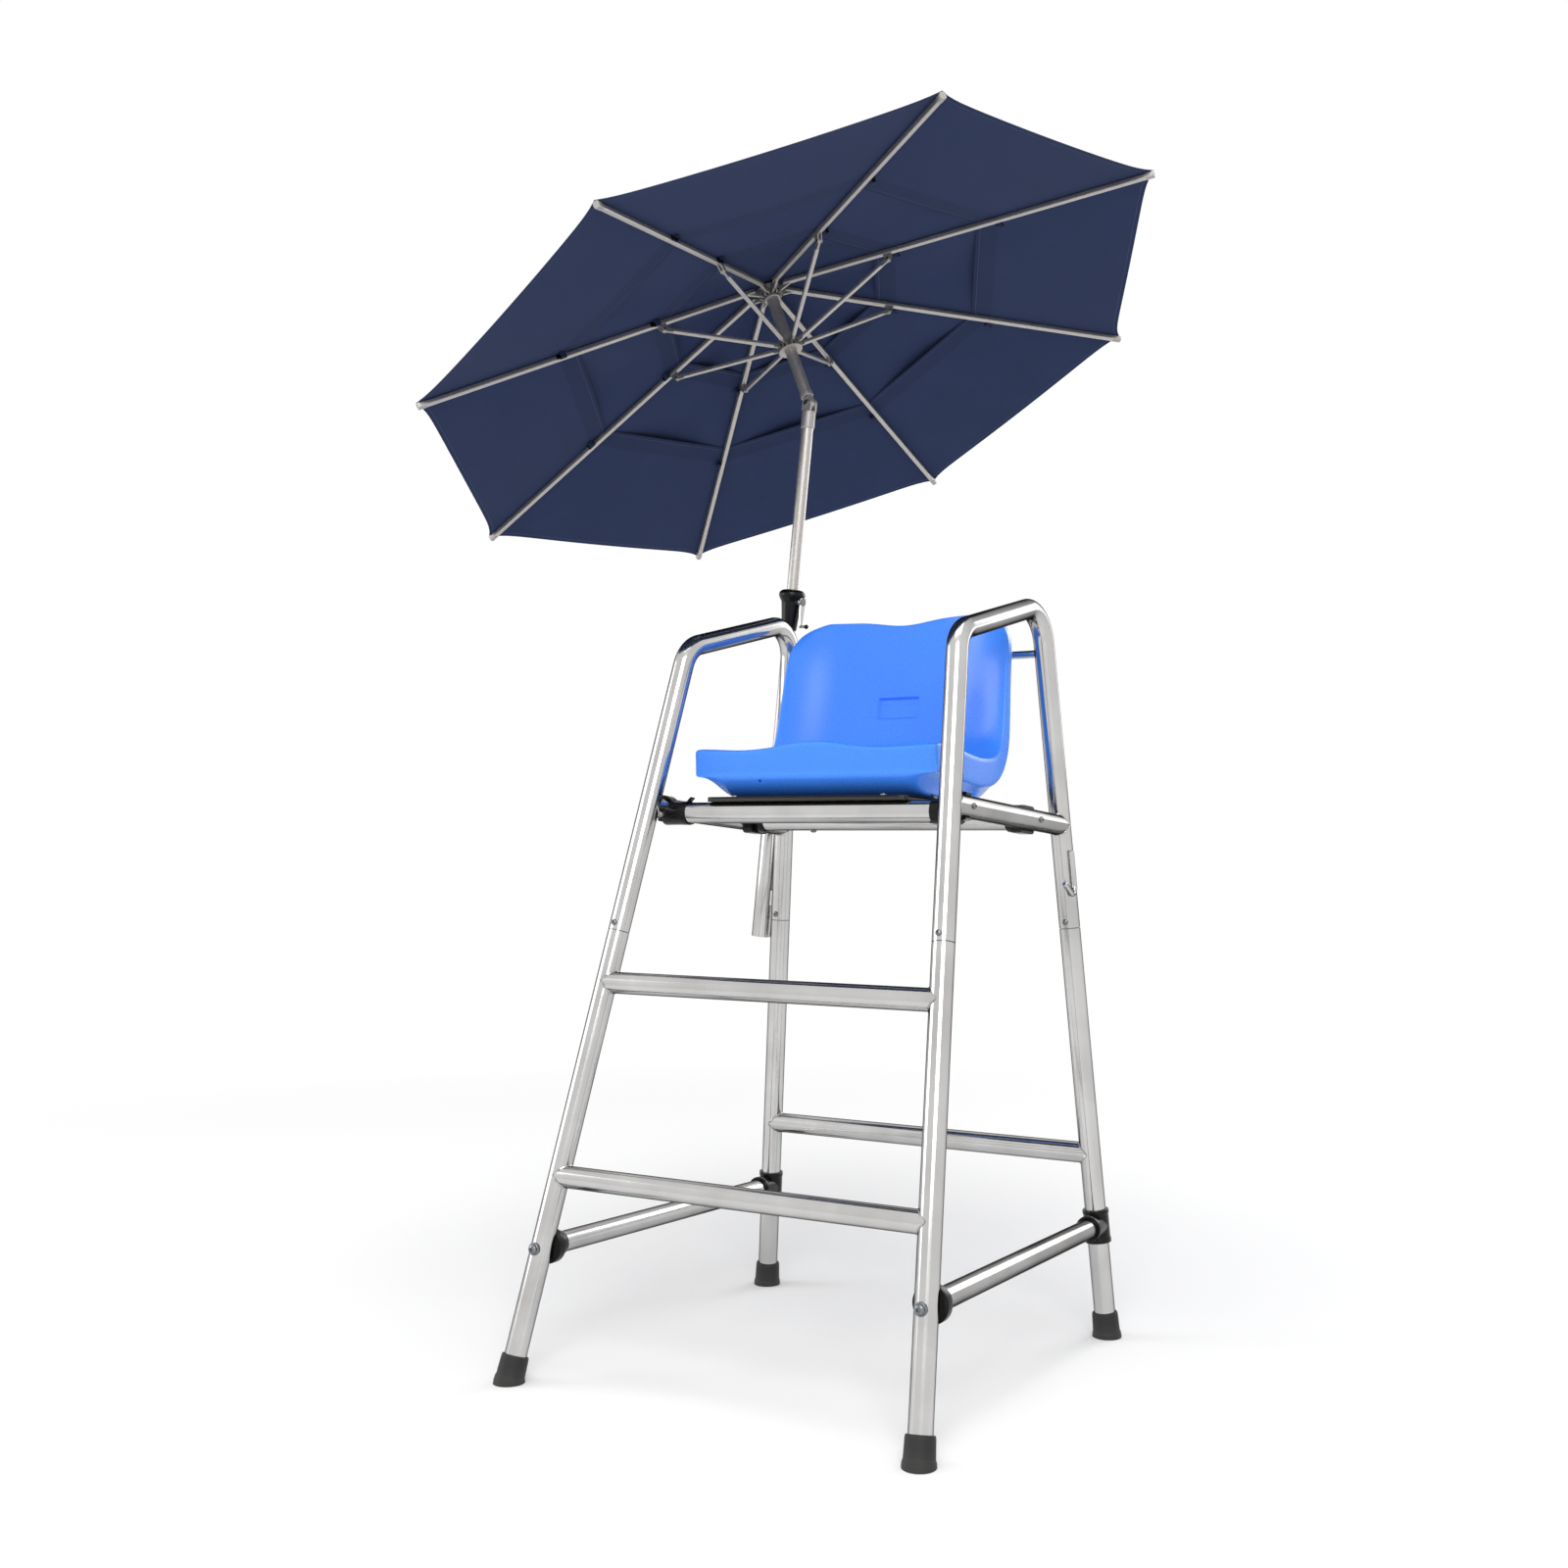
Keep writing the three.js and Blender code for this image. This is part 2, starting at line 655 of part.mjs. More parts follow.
function lowerFrame(legAt, barHeights, bosses) {
  const legs = names.map((name) => {
    const seam = legAt(name, SEAM_HEIGHT);
    return { name, seam, start: towards(legAt(name, 0), seam, FOOT_SOLE_THICKNESS) };
  });
  const bars = barHeights.map((height) => [legAt('left', height), legAt('right', height)]);
  const outer = joined([
    ...legs.map(({ start, seam }) => legBody(start, seam)),
    ...bars.map(([left, right]) => rod(left, right, tubeRadius)),
    ...bosses,
  ]);
  const hollow = [
    ...legs.map(({ start, seam }) => legHollow(start, seam)),
    ...bars.map(([left, right]) => rod(left, right, tubeBore)),
  ];
  return joined([without(outer, hollow), ...legs.map(({ name }) => seamScrew(name, legAt))]);
}

const frontFrame = lowerFrame(frontLegAt, [LOWER_STEP_HEIGHT, UPPER_STEP_HEIGHT], names.map(boltBoss));
addPiece(chair, 'front_ladder', without(frontFrame, names.map(saddleBoltHole)), steel);
addPiece(chair, 'rear_ladder', lowerFrame(rearLegAt, [REAR_BAR_HEIGHT], []), steel);

// Rubber cup along the leg, cut flat on the floor
function rubberFoot(foot, bend) {
  const below = FOOT_SOLE_DIAMETER / 2;
  const bore = boreFor(tubeRadius);
  const floor = FOOT_SOLE_THICKNESS - FIT_GAP;
  const profile = [
    [0, -below], [FOOT_SOLE_DIAMETER / 2, -below], [FOOT_SOLE_DIAMETER / 2, FOOT_SOLE_THICKNESS],
    [FOOT_TOP_DIAMETER / 2, FOOT_HEIGHT], [bore, FOOT_HEIGHT], [bore, floor], [0, floor],
  ];
  const cup = turnedBetween(foot, bend, profile, TUBE_SIDES);
  const reach = FOOT_SOLE_DIAMETER + FOOT_HEIGHT;
  const slab = new THREE.BoxGeometry(reach, reach, reach);
  return cup.subtract(solidOf(slab.translate(foot.x, foot.y, -reach / 2)));
}

for (const name of names) {
  const { frontFoot, frontBend, rearFoot, rearBend } = corners[name];
  addPiece(chair, `rubber_foot_front_${name}`, rubberFoot(frontFoot, frontBend), blackRubber);
  addPiece(chair, `rubber_foot_rear_${name}`, rubberFoot(rearFoot, rearBend), blackRubber);
}

// Thin bar across the rear legs behind the seat's back

const upperClearances = { left: upperFrameClearance('left'), right: upperFrameClearance('right') };
const backBarRadius = BACK_BAR_DIAMETER / 2;
const backBar = tube(
  rearLegAt('left', BACK_BAR_HEIGHT),
  rearLegAt('right', BACK_BAR_HEIGHT),
  backBarRadius,
  backBarRadius - TUBE_WALL,
);
addPiece(chair, 'back_bar', without(backBar, Object.values(upperClearances)), steel);

// Side stretchers, each between a bolted saddle and a clamp on the rear leg

function stretcherSaddle(name) {
  const { front, rear } = stretcherEnds(name);
  const flangeStart = tubeRadius - SADDLE_WRAP;
  const flangeEnd = tubeRadius + SADDLE_FLANGE_THICKNESS;
  const domeEnd = flangeEnd + SADDLE_DOME_LENGTH;
  const bore = boreFor(stretcherRadius);
  const profile = [
    [0, flangeStart], [SADDLE_FLANGE_DIAMETER / 2, flangeStart], [SADDLE_FLANGE_DIAMETER / 2, flangeEnd],
    [SADDLE_DOME_FOOT_DIAMETER / 2, flangeEnd], [bore + SADDLE_DOME_END_WALL, domeEnd],
    [bore, domeEnd], [bore, flangeEnd], [0, flangeEnd],
  ];
  const { seat, outward } = saddleBoltPlace(name);
  const saddleBolt = bolt(seat, outward, BOLT_DIAMETER, BOLT_HEAD_DIAMETER, BOLT_HEAD_HEIGHT, saddleBoltGrip);
  return turnedBetween(front, rear, profile, TUBE_SIDES).subtract(frontLegClearance(name)).add(saddleBolt);
}

// Ring round one tube with a sleeve for another that meets it
function teeClamp(centre, ringDirection, branch, branchRadius) {
  const half = ringDirection.clone().setLength(CLAMP_RING_LENGTH / 2);
  const [low, high] = [centre.clone().sub(half), centre.clone().add(half)];
  const ringOuter = tubeRadius + FIT_GAP + CLAMP_WALL;
  const sleeveEnd = towards(centre, branch, CLAMP_SLEEVE_REACH);
  const body = rod(low, high, ringOuter, ROUND_SIDES)
    .add(rod(centre, sleeveEnd, branchRadius + FIT_GAP + CLAMP_WALL, ROUND_SIDES));
  const overrun = ringDirection.clone().setLength(CLAMP_RING_LENGTH);
  const ringBore = clearanceOf(centre.clone().sub(overrun), centre.clone().add(overrun), tubeRadius);
  const socket = clearanceOf(
    towards(centre, branch, tubeRadius + CLAMP_WALL - FIT_GAP), branch, branchRadius,
  );
  return without(body, [ringBore, socket]);
}

const clampStop = tubeRadius + CLAMP_WALL;
for (const name of names) {
  const { front, rear } = stretcherEnds(name);
  const start = towards(front, rear, tubeRadius + SADDLE_FLANGE_THICKNESS + FIT_GAP);
  const end = towards(rear, front, clampStop);
  const stretcher = tube(start, end, stretcherRadius, stretcherRadius - TUBE_WALL);
  addPiece(chair, `side_stretcher_${name}`, stretcher, steel);
  const legDirection = corners[name].rearBend.clone().sub(corners[name].rearFoot);
  addPiece(chair, `stretcher_saddle_${name}`, stretcherSaddle(name), blackPlastic);
  const clamp = teeClamp(rear, legDirection, front, stretcherRadius);
  addPiece(chair, `stretcher_clamp_${name}`, clamp, blackPlastic);
}

// Seat rails: two side rails welded to the frames, a front rail in connectors, a rear rail on saddles

const sideRailClearance = (name) => {
  const { front, rear } = sideRailEnds(name);
  return clearanceOf(front, rear, tubeRadius);
};
const rearRailEnds = { left: railAt('left', REAR_RAIL_Y), right: railAt('right', REAR_RAIL_Y) };
for (const name of names) {
  const { front, rear } = sideRailEnds(name);
  const rail = tube(front, rear, tubeRadius, tubeBore).subtract(upperClearances[name]);
  const studs = [railStud(name, FRONT_RAIL_Y), railStud(name, REAR_RAIL_Y)];
  addPiece(chair, `seat_rail_${name}`, joined([rail, ...studs]), steel);
}
const railDrop = new THREE.Vector3(0, 0, -FRONT_RAIL_DROP);
const frontRailEnds = {
  left: railAt('left', FRONT_RAIL_Y).add(railDrop),
  right: railAt('right', FRONT_RAIL_Y).add(railDrop),
};
const frontRailTop = new THREE.Vector3(0, FRONT_RAIL_Y, frontRailEnds.left.z + tubeRadius);
const rearRailTop = new THREE.Vector3(0, REAR_RAIL_Y, rearRailEnds.left.z + tubeRadius);
const seatSlope = Math.atan2(rearRailTop.z - frontRailTop.z, rearRailTop.y - frontRailTop.y);
const seatUp = new THREE.Vector3(0, 0, 1).applyAxisAngle(new THREE.Vector3(1, 0, 0), seatSlope);

function plateBoltPlaces(ends) {
  return [-PLATE_BOLT_HALF_SPREAD, PLATE_BOLT_HALF_SPREAD].map((x) => (
    new THREE.Vector3(x, ends.left.y, ends.left.z)
  ));
}

// Bolt of a rail and the seat's base plate: down through the plate, or up through the rail
function plateBolt(place, fromAbove) {
  const [plateFace, plateBack] = [tubeRadius + FIT_GAP, tubeRadius + FIT_GAP + PLATE_THICKNESS];
  const seat = fromAbove ? plateBack + FIT_GAP : -tubeRadius;
  const tip = fromAbove ? tubeBore : plateFace + PLATE_THICKNESS - PLATE_SHEET;
  const outward = seatUp.clone().multiplyScalar(Math.sign(seat));
  const grip = Math.abs(seat - tip);
  const foot = place.clone().addScaledVector(seatUp, seat);
  return bolt(foot, outward, SCREW_DIAMETER, SCREW_HEAD_DIAMETER, SCREW_HEAD_HEIGHT, grip);
}

function railBetween(ends, reach, fromAbove) {
  const rail = tube(
    towards(ends.left, ends.right, reach + FIT_GAP),
    towards(ends.right, ends.left, reach + FIT_GAP),
    tubeRadius,
    tubeBore,
  );
  return joined([rail, ...plateBoltPlaces(ends).map((place) => plateBolt(place, fromAbove))]);
}
addPiece(chair, 'seat_rail_front', railBetween(frontRailEnds, CONNECTOR_STOP, true), steel);
const saddleFace = tubeRadius + RAIL_SADDLE_PAD;
addPiece(chair, 'seat_rail_rear', railBetween(rearRailEnds, saddleFace, false), steel);

// Pad on the inner side of a side rail, with a plug for the rear rail's bore
function railSaddle(name, other) {
  const { front, rear } = sideRailEnds(name);
  const [end, far] = [rearRailEnds[name], rearRailEnds[other]];
  const outline = roundedOutline(RAIL_SADDLE_LENGTH, RAIL_SADDLE_HEIGHT, RAIL_SADDLE_CORNER);
  const pad = plate(outline, RAIL_SADDLE_WRAP + RAIL_SADDLE_PAD)
    .translate(0, 0, tubeRadius + (RAIL_SADDLE_PAD - RAIL_SADDLE_WRAP) / 2)
    .applyMatrix4(frameOf(end, rear.clone().sub(front), far.clone().sub(end)));
  const plugEnd = towards(end, far, saddleFace + RAIL_SADDLE_PLUG);
  const plug = rod(towards(end, far, tubeRadius), plugEnd, tubeBore - FIT_GAP / halfSide);
  return without(solidOf(pad).add(plug), [sideRailClearance(name), railStudHole(name, REAR_RAIL_Y)]);
}

// Sleeve for the front rail with a cup at its mouth, on a clip that wraps most of the side rail
function cornerConnector(name, other) {
  const { front, rear } = sideRailEnds(name);
  const [end, far] = [frontRailEnds[name], frontRailEnds[other]];
  const bore = boreFor(tubeRadius);
  const neck = bore + CONNECTOR_NECK_WALL;
  const sleeve = turnedBetween(end, far, [
    [0, 0], [neck, 0], [neck, CONNECTOR_NECK_LENGTH], [bore, CONNECTOR_NECK_LENGTH],
    [bore, CONNECTOR_STOP], [0, CONNECTOR_STOP],
  ], TUBE_SIDES);
  const half = CONNECTOR_CLIP_LENGTH / 2;
  const barAlong = (centre, radius, reach, barSides) => (
    rod(towards(centre, front, reach), towards(centre, rear, reach), radius, barSides)
  );
  const clipCentre = railAt(name, FRONT_RAIL_Y);
  const clipRadius = CONNECTOR_CLIP_DIAMETER / 2;
  const clip = barAlong(clipCentre, clipRadius, half, TUBE_SIDES);
  const cupRadius = CONNECTOR_CUP_DIAMETER / 2;
  const cupOuter = cupRadius + CONNECTOR_CUP_WALL;
  const cupCentre = towards(end, far, CONNECTOR_CUP_START + cupRadius).setZ((end.z + clipCentre.z) / 2);
  const cup = barAlong(cupCentre, cupOuter, half, ROUND_SIDES)
    .subtract(barAlong(cupCentre, cupRadius, half + CUT_OVERRUN, ROUND_SIDES));
  const span = CONNECTOR_REACH + CONNECTOR_REACH;
  const openAt = (distance) => solidOf(new THREE.BoxGeometry(span, span, span)
    .translate(clipCentre.x + sides[name] * distance, clipCentre.y, clipCentre.z));
  const clipOpen = openAt(CONNECTOR_CLIP_WRAP + CONNECTOR_REACH);
  const cupOpen = openAt(-span);
  const railBore = clearanceOf(towards(end, far, CONNECTOR_STOP), far, tubeRadius);
  return without(joined([sleeve, clip.subtract(clipOpen), cup.subtract(cupOpen)]), [
    railBore,
    upperClearances[name],
    sideRailClearance(name),
    railStudHole(name, FRONT_RAIL_Y),
  ]);
}

for (const [name, other] of [['left', 'right'], ['right', 'left']]) {
  addPiece(chair, `seat_rail_connector_${name}`, cornerConnector(name, other), blackPlastic);
  addPiece(chair, `seat_rail_saddle_${name}`, railSaddle(name, other), blackPlastic);
}

// Life-ring hook along the outer side of the right rear leg, with its tip to the front

function lifeRingHook() {
  const [foot, bend] = [corners.right.rearFoot, corners.right.rearBend];
  const heading = THREE.MathUtils.degToRad(HOOK_HEADING);
  const standoff = tubeRadius + HOOK_ROD_DIAMETER / 2 + FIT_GAP;
  const aside = new THREE.Vector3(Math.cos(heading), Math.sin(heading), 0).multiplyScalar(standoff);
  const bottomHeight = SEAM_HEIGHT + HOOK_SEAM_RISE;
  const top = atHeight(foot, bend, bottomHeight + HOOK_LENGTH).add(aside);
  const corner = atHeight(foot, bend, bottomHeight).add(aside);
  const tip = corner.clone().add(new THREE.Vector3(0, -HOOK_REACH, HOOK_TIP_RISE));
  const radius = HOOK_ROD_DIAMETER / 2;
  const hook = bentBar([top, corner, tip], HOOK_BEND_RADIUS, radius, 0, SMALL_SIDES, BEND_STEPS);
  return without(hook, [upperClearances.right, rearLegClearance('right')]);
}
addPiece(chair, 'life_ring_hook', lifeRingHook(), steel);

// Seat frame: it starts over the front rail and slopes back to lie on the rear rail

const seatGroup = new THREE.Group();
seatGroup.position.copy(frontRailTop).add(new THREE.Vector3(0, 0, FIT_GAP));
seatGroup.rotation.x = seatSlope;
chair.add(seatGroup);

// Rows of the bucket seat from the lip over the pan and up the back: place of the sitting face on the
// centre line, thickness there, rim height, how far the sides curl towards the guard, and wave
const seatRowShares = [
  { run: 0, rise: 0.254, depth: 0.136, rim: 0.134, curl: -0.034, wave: 1 },
  { run: 0.043, rise: 0.262, depth: 0.166, rim: 0.142, curl: -0.03, wave: 1 },
  { run: 0.172, rise: 0.229, depth: 0.24, rim: 0.146, curl: 0.015, wave: 0.6 },
  { run: 0.345, rise: 0.183, depth: 0.2, rim: 0.146, curl: 0.042, wave: 0.2 },
  { run: 0.546, rise: 0.157, depth: 0.18, rim: 0.144, curl: 0.052, wave: 0 },
  { run: 0.718, rise: 0.165, depth: 0.2, rim: 0.138, curl: 0.062, wave: 0 },
  { run: 0.833, rise: 0.22, depth: 0.13, rim: 0.1, curl: 0.084, wave: 0 },
  { run: 0.902, rise: 0.334, depth: 0.105, rim: 0.084, curl: 0.1, wave: 0 },
  { run: 0.943, rise: 0.516, depth: 0.084, rim: 0.07, curl: 0.108, wave: 0 },
  { run: 0.971, rise: 0.715, depth: 0.074, rim: 0.062, curl: 0.106, wave: 0 },
  { run: 0.984, rise: 0.82, depth: 0.07, rim: 0.058, curl: 0.092, wave: 0 },
  { run: 0.992, rise: 0.9, depth: 0.066, rim: 0.056, curl: 0.072, wave: 0 },
  { run: 0.997, rise: 0.96, depth: 0.058, rim: 0.05, curl: 0.05, wave: 0 },
  { run: 1, rise: 1, depth: 0.044, rim: 0.04, curl: 0.03, wave: 0 },
];
const seatAcrossShares = [0, 0.25, 0.5, 0.7, 0.84, 0.94, 1];
const seatTaperShare = 0.045;
const seatCurlStartShare = 0.45;
const seatTopStartShare = 0.88;
const seatDipEndShare = 0.6;

const seatAcross = [...seatAcrossShares.slice(1).reverse().map((share) => -share), ...seatAcrossShares];
const seatFloor = PLATE_THICKNESS + FIT_GAP;

function seatRowFrame(index) {
  const centreOf = ({ run, rise }) => new THREE.Vector3(
    0,
    SEAT_FRONT + run * SEAT_REACH,
    THREE.MathUtils.lerp(seatFloor, SEAT_RISE, rise),
  );
  const before = centreOf(seatRowShares[Math.max(index - 1, 0)]);
  const after = centreOf(seatRowShares[Math.min(index + 1, seatRowShares.length - 1)]);
  const heading = after.sub(before).normalize();
  const facing = new THREE.Vector3(1, 0, 0).cross(heading).normalize();
  return { centre: centreOf(seatRowShares[index]), facing };
}

// Half width of a row: the back tapers a little and its top corners are round
function seatHalfWidth({ rise }) {
  const tapered = (SEAT_WIDTH / 2) * (1 - seatTaperShare * eased(rise));
  const fromTop = (1 - rise) * SEAT_RISE;
  const into = Math.max(SEAT_TOP_CORNER_RADIUS - fromTop, 0);
  return tapered - SEAT_TOP_CORNER_RADIUS + Math.sqrt(SEAT_TOP_CORNER_RADIUS ** 2 - into ** 2);
}

// Grids of the sitting face and the outer face, both moved in by an inset; the underside is cut flat
function seatFaces(inset, rowsUsed) {
  const face = [];
  const back = [];
  for (const index of rowsUsed) {
    const row = seatRowShares[index];
    const { centre, facing } = seatRowFrame(index);
    const half = seatHalfWidth(row) - inset;
    const chamferShare = SEAT_CHAMFER / half;
    const topness = eased((row.rise - seatTopStartShare) / (1 - seatTopStartShare));
    const point = (share, out) => {
      const dip = SEAT_TOP_DIP * topness * (1 - eased(Math.abs(share) / seatDipEndShare));
      const place = new THREE.Vector3(share * half, 0, -dip).add(centre).addScaledVector(facing, out);
      return place.setZ(Math.max(place.z, seatFloor + inset));
    };
    const curl = (share) => {
      const side = eased((Math.abs(share) - seatCurlStartShare) / (1 - seatCurlStartShare));
      return row.curl * SEAT_RISE * side + SEAT_WAVE * row.wave * Math.cos(2 * Math.PI * share);
    };
    const rim = curl(1) - row.rim * SEAT_RISE;
    face.push(seatAcross.map((share) => point(share, curl(share) - inset)));
    back.push(seatAcross.map((share) => {
      const slope = eased((Math.abs(share) - 1 + chamferShare) / chamferShare);
      return point(share, THREE.MathUtils.lerp(-row.depth * SEAT_RISE, rim, slope) + inset);
    }));
  }
  return { face, back };
}

function seatShell() {
  const everyRow = seatRowShares.map((row, index) => index);
  const outer = seatFaces(0, everyRow);
  const inner = seatFaces(SEAT_WALL, everyRow.slice(1, -1));
  const cavity = solidBetween(inner.face, inner.back);
  const ventDepth = SEAT_WALL + SEAT_WALL + CUT_OVERRUN;
  const vent = solidOf(new THREE.BoxGeometry(SEAT_VENT_LENGTH, SEAT_VENT_WIDTH, ventDepth)
    .translate(0, SEAT_VENT_Y, seatFloor));
  const aboveRecess = everyRow.find((index) => seatRowFrame(index).centre.z > RECESS_CENTRE_RISE);
  const { centre, facing } = seatRowFrame(aboveRecess);
  const recessCentre = atHeight(seatRowFrame(aboveRecess - 1).centre, centre, RECESS_CENTRE_RISE);
  const recess = solidOf(new THREE.BoxGeometry(RECESS_WIDTH, RECESS_HEIGHT, RECESS_DEPTH + RECESS_DEPTH)
    .applyMatrix4(frameOf(recessCentre, new THREE.Vector3(1, 0, 0), facing)));
  const drain = rod(
    new THREE.Vector3(DRAIN_HOLE_X, SEAT_FRONT - DRAIN_HOLE_DEPTH, DRAIN_HOLE_RISE),
    new THREE.Vector3(DRAIN_HOLE_X, SEAT_FRONT + DRAIN_HOLE_DEPTH, DRAIN_HOLE_RISE),
    DRAIN_HOLE_DIAMETER / 2,
    SMALL_SIDES,
  );
  return without(solidBetween(outer.face, outer.back), [cavity, vent, recess, drain, ...screwHoles()]);
}

// Screws up into the seat, from heads under the sheet of the base plate

const downward = new THREE.Vector3(0, 0, -1);

function screwSpots() {
  const height = PLATE_THICKNESS - PLATE_SHEET;
  return [SCREW_FRONT, SCREW_REAR].flatMap((y) => [-SCREW_HALF_SPREAD, SCREW_HALF_SPREAD].map((x) => (
    new THREE.Vector3(x, y, height)
  )));
}

function screwHoles() {
  const radius = SCREW_DIAMETER / 2 + FIT_GAP;
  return screwSpots().map((spot) => boltHoleAt(spot, downward, radius, SCREW_GRIP + CUT_OVERRUN));
}

// Base plate folded down at its rim, with holes for the rail bolts and four screws up into the seat
function basePlate() {
  const depth = PLATE_REAR - PLATE_FRONT;
  const centreY = (PLATE_FRONT + PLATE_REAR) / 2;
  const block = plate(roundedOutline(PLATE_WIDTH, depth, PLATE_RIM / 2), PLATE_THICKNESS)
    .translate(0, centreY, PLATE_THICKNESS / 2);
  const pocketOutline = roundedOutline(PLATE_WIDTH - PLATE_RIM, depth - PLATE_RIM - PLATE_RIM, PLATE_RIM / 2);
  const pocket = plate(pocketOutline, PLATE_THICKNESS)
    .translate(0, centreY, PLATE_THICKNESS / 2 - PLATE_SHEET);
  const intoSeat = new THREE.Matrix4().compose(seatGroup.position, seatGroup.quaternion, unitScale).invert();
  const holes = [frontRailEnds, rearRailEnds].flatMap(plateBoltPlaces).map((place) => {
    const foot = place.applyMatrix4(intoSeat);
    const top = new THREE.Vector3(foot.x, foot.y, PLATE_THICKNESS + CUT_OVERRUN);
    return rod(foot, top, SCREW_DIAMETER / 2 + FIT_GAP, SMALL_SIDES);
  });
  const screws = screwSpots().map((spot) => (
    bolt(spot, downward, SCREW_DIAMETER, SCREW_HEAD_DIAMETER, SCREW_HEAD_HEIGHT, SCREW_GRIP)
  ));
  return joined([without(solidOf(block), [solidOf(pocket), ...holes]), ...screws]);
}
addPiece(seatGroup, 'seat_base_plate', basePlate(), blackSteel);
addPiece(seatGroup, 'seat_shell', seatShell(), bluePlastic);

// Umbrella socket: a tube beside the left rear leg on two tabs, with a boss for the clamp knob

const mastFoot = new THREE.Vector3(MAST_FOOT_X, MAST_Y, MAST_FOOT_HEIGHT);
const tiltPivot = new THREE.Vector3(TILT_PIVOT_X, MAST_Y, TILT_PIVOT_HEIGHT);
const mastUp = tiltPivot.clone().sub(mastFoot).normalize();
const socketBore = tubeRadius - SOCKET_WALL;
const linerRadius = socketBore - FIT_GAP / halfSide;
const linerBore = freeBoreFor(poleRadius, POLE_FIT_GAP);
const socketTop = towards(mastFoot, tiltPivot, SOCKET_LENGTH);
const knobCentre = towards(mastFoot, tiltPivot, SOCKET_LENGTH * knobSpotShare);
const knobHeading = THREE.MathUtils.degToRad(KNOB_HEADING);
const knobOut = new THREE.Vector3(Math.cos(knobHeading), Math.sin(knobHeading), 0)
  .projectOnPlane(mastUp)
  .normalize();
const fromPole = (distance) => knobCentre.clone().addScaledVector(knobOut, distance);
const knobScrewRadius = KNOB_SCREW_DIAMETER / 2;
const knobBossEnd = tubeRadius + KNOB_STANDOFF - FIT_GAP;

function socketTabs() {
  return socketTabShares.map((share) => {
    const centre = towards(mastFoot, tiltPivot, SOCKET_LENGTH * share);
    const leg = atHeight(corners.left.rearFoot, corners.left.rearBend, centre.z);
    const across = leg.clone().sub(centre);
    const frame = frameOf(centre, across.clone().projectOnPlane(mastUp), mastUp);
    const reach = across.length();
    const block = new THREE.BoxGeometry(reach, SOCKET_TAB_WIDTH, SOCKET_TAB_HEIGHT);
    return solidOf(block.translate(reach / 2, 0, 0).applyMatrix4(frame));
  });
}

const knobBoreRadius = freeBoreFor(knobScrewRadius, FIT_GAP);
const knobBore = rod(fromPole(0), fromPole(tubeRadius + KNOB_DIAMETER), knobBoreRadius, SMALL_SIDES);
const socketBody = joined([
  rod(mastFoot, socketTop, tubeRadius),
  rod(fromPole(0), fromPole(knobBossEnd), knobBoreRadius + KNOB_BOSS_WALL, SMALL_SIDES),
  ...socketTabs(),
]);
const socketHollow = rod(
  mastFoot.clone().addScaledVector(mastUp, -CUT_OVERRUN),
  socketTop.clone().addScaledVector(mastUp, CUT_OVERRUN),
  socketBore,
);
addPiece(chair, 'umbrella_socket', without(socketBody, [
  upperClearances.left,
  rearLegClearance('left'),
  socketHollow,
  knobBore,
]), steel);

const linerFlange = tubeRadius;
const linerProfile = [
  [0, 0], [linerRadius, 0], [linerRadius, SOCKET_LENGTH + FIT_GAP], [linerFlange, SOCKET_LENGTH + FIT_GAP],
  [linerFlange, SOCKET_LENGTH + FIT_GAP + LINER_FLANGE_THICKNESS],
  [linerBore, SOCKET_LENGTH + FIT_GAP + LINER_FLANGE_THICKNESS], [linerBore, LINER_FLOOR], [0, LINER_FLOOR],
];
const liner = turnedBetween(mastFoot, tiltPivot, linerProfile, TUBE_SIDES);
addPiece(chair, 'socket_liner', without(liner, [knobBore]), blackPlastic);

// Clamp knob: a lobed grip on a screw that presses the pole
function clampKnob() {
  const outline = [];
  const pointsPerLobe = 4;
  const points = KNOB_LOBES * pointsPerLobe;
  for (let i = 0; i < points; i += 1) {
    const angle = (2 * Math.PI * i) / points;
    const radius = KNOB_DIAMETER / 2 - KNOB_LOBE_DEPTH * (1 - Math.cos(KNOB_LOBES * angle)) / 2;
    outline.push(new THREE.Vector2(radius * Math.cos(angle), radius * Math.sin(angle)));
  }
  const start = tubeRadius + KNOB_STANDOFF;
  const grip = solidOf(plate(outline, KNOB_HEIGHT)
    .translate(0, 0, start + KNOB_HEIGHT / 2)
    .applyMatrix4(frameOf(knobCentre, mastUp, knobOut)));
  const screwFoot = fromPole(poleRadius + FIT_GAP);
  const screw = rod(screwFoot, fromPole(start + KNOB_HEIGHT / 2), knobScrewRadius, SMALL_SIDES);
  return grip.add(screw);
}
addPiece(chair, 'socket_knob', clampKnob(), blackPlastic);

// Mast: both poles share the tilt hinge's direction as +X; +Z runs up each pole from the tilt pivot

const lean = THREE.MathUtils.degToRad(UPPER_LEAN);
const leanHeading = THREE.MathUtils.degToRad(UPPER_LEAN_HEADING);
const upperUp = new THREE.Vector3(
  Math.sin(lean) * Math.cos(leanHeading),
  Math.sin(lean) * Math.sin(leanHeading),
  Math.cos(lean),
);
const hingeDirection = new THREE.Vector3().crossVectors(mastUp, upperUp).normalize();

function groupIn(parent, matrix) {
  const group = new THREE.Group();
  matrix.decompose(group.position, group.quaternion, group.scale);
  parent.add(group);
  return group;
}

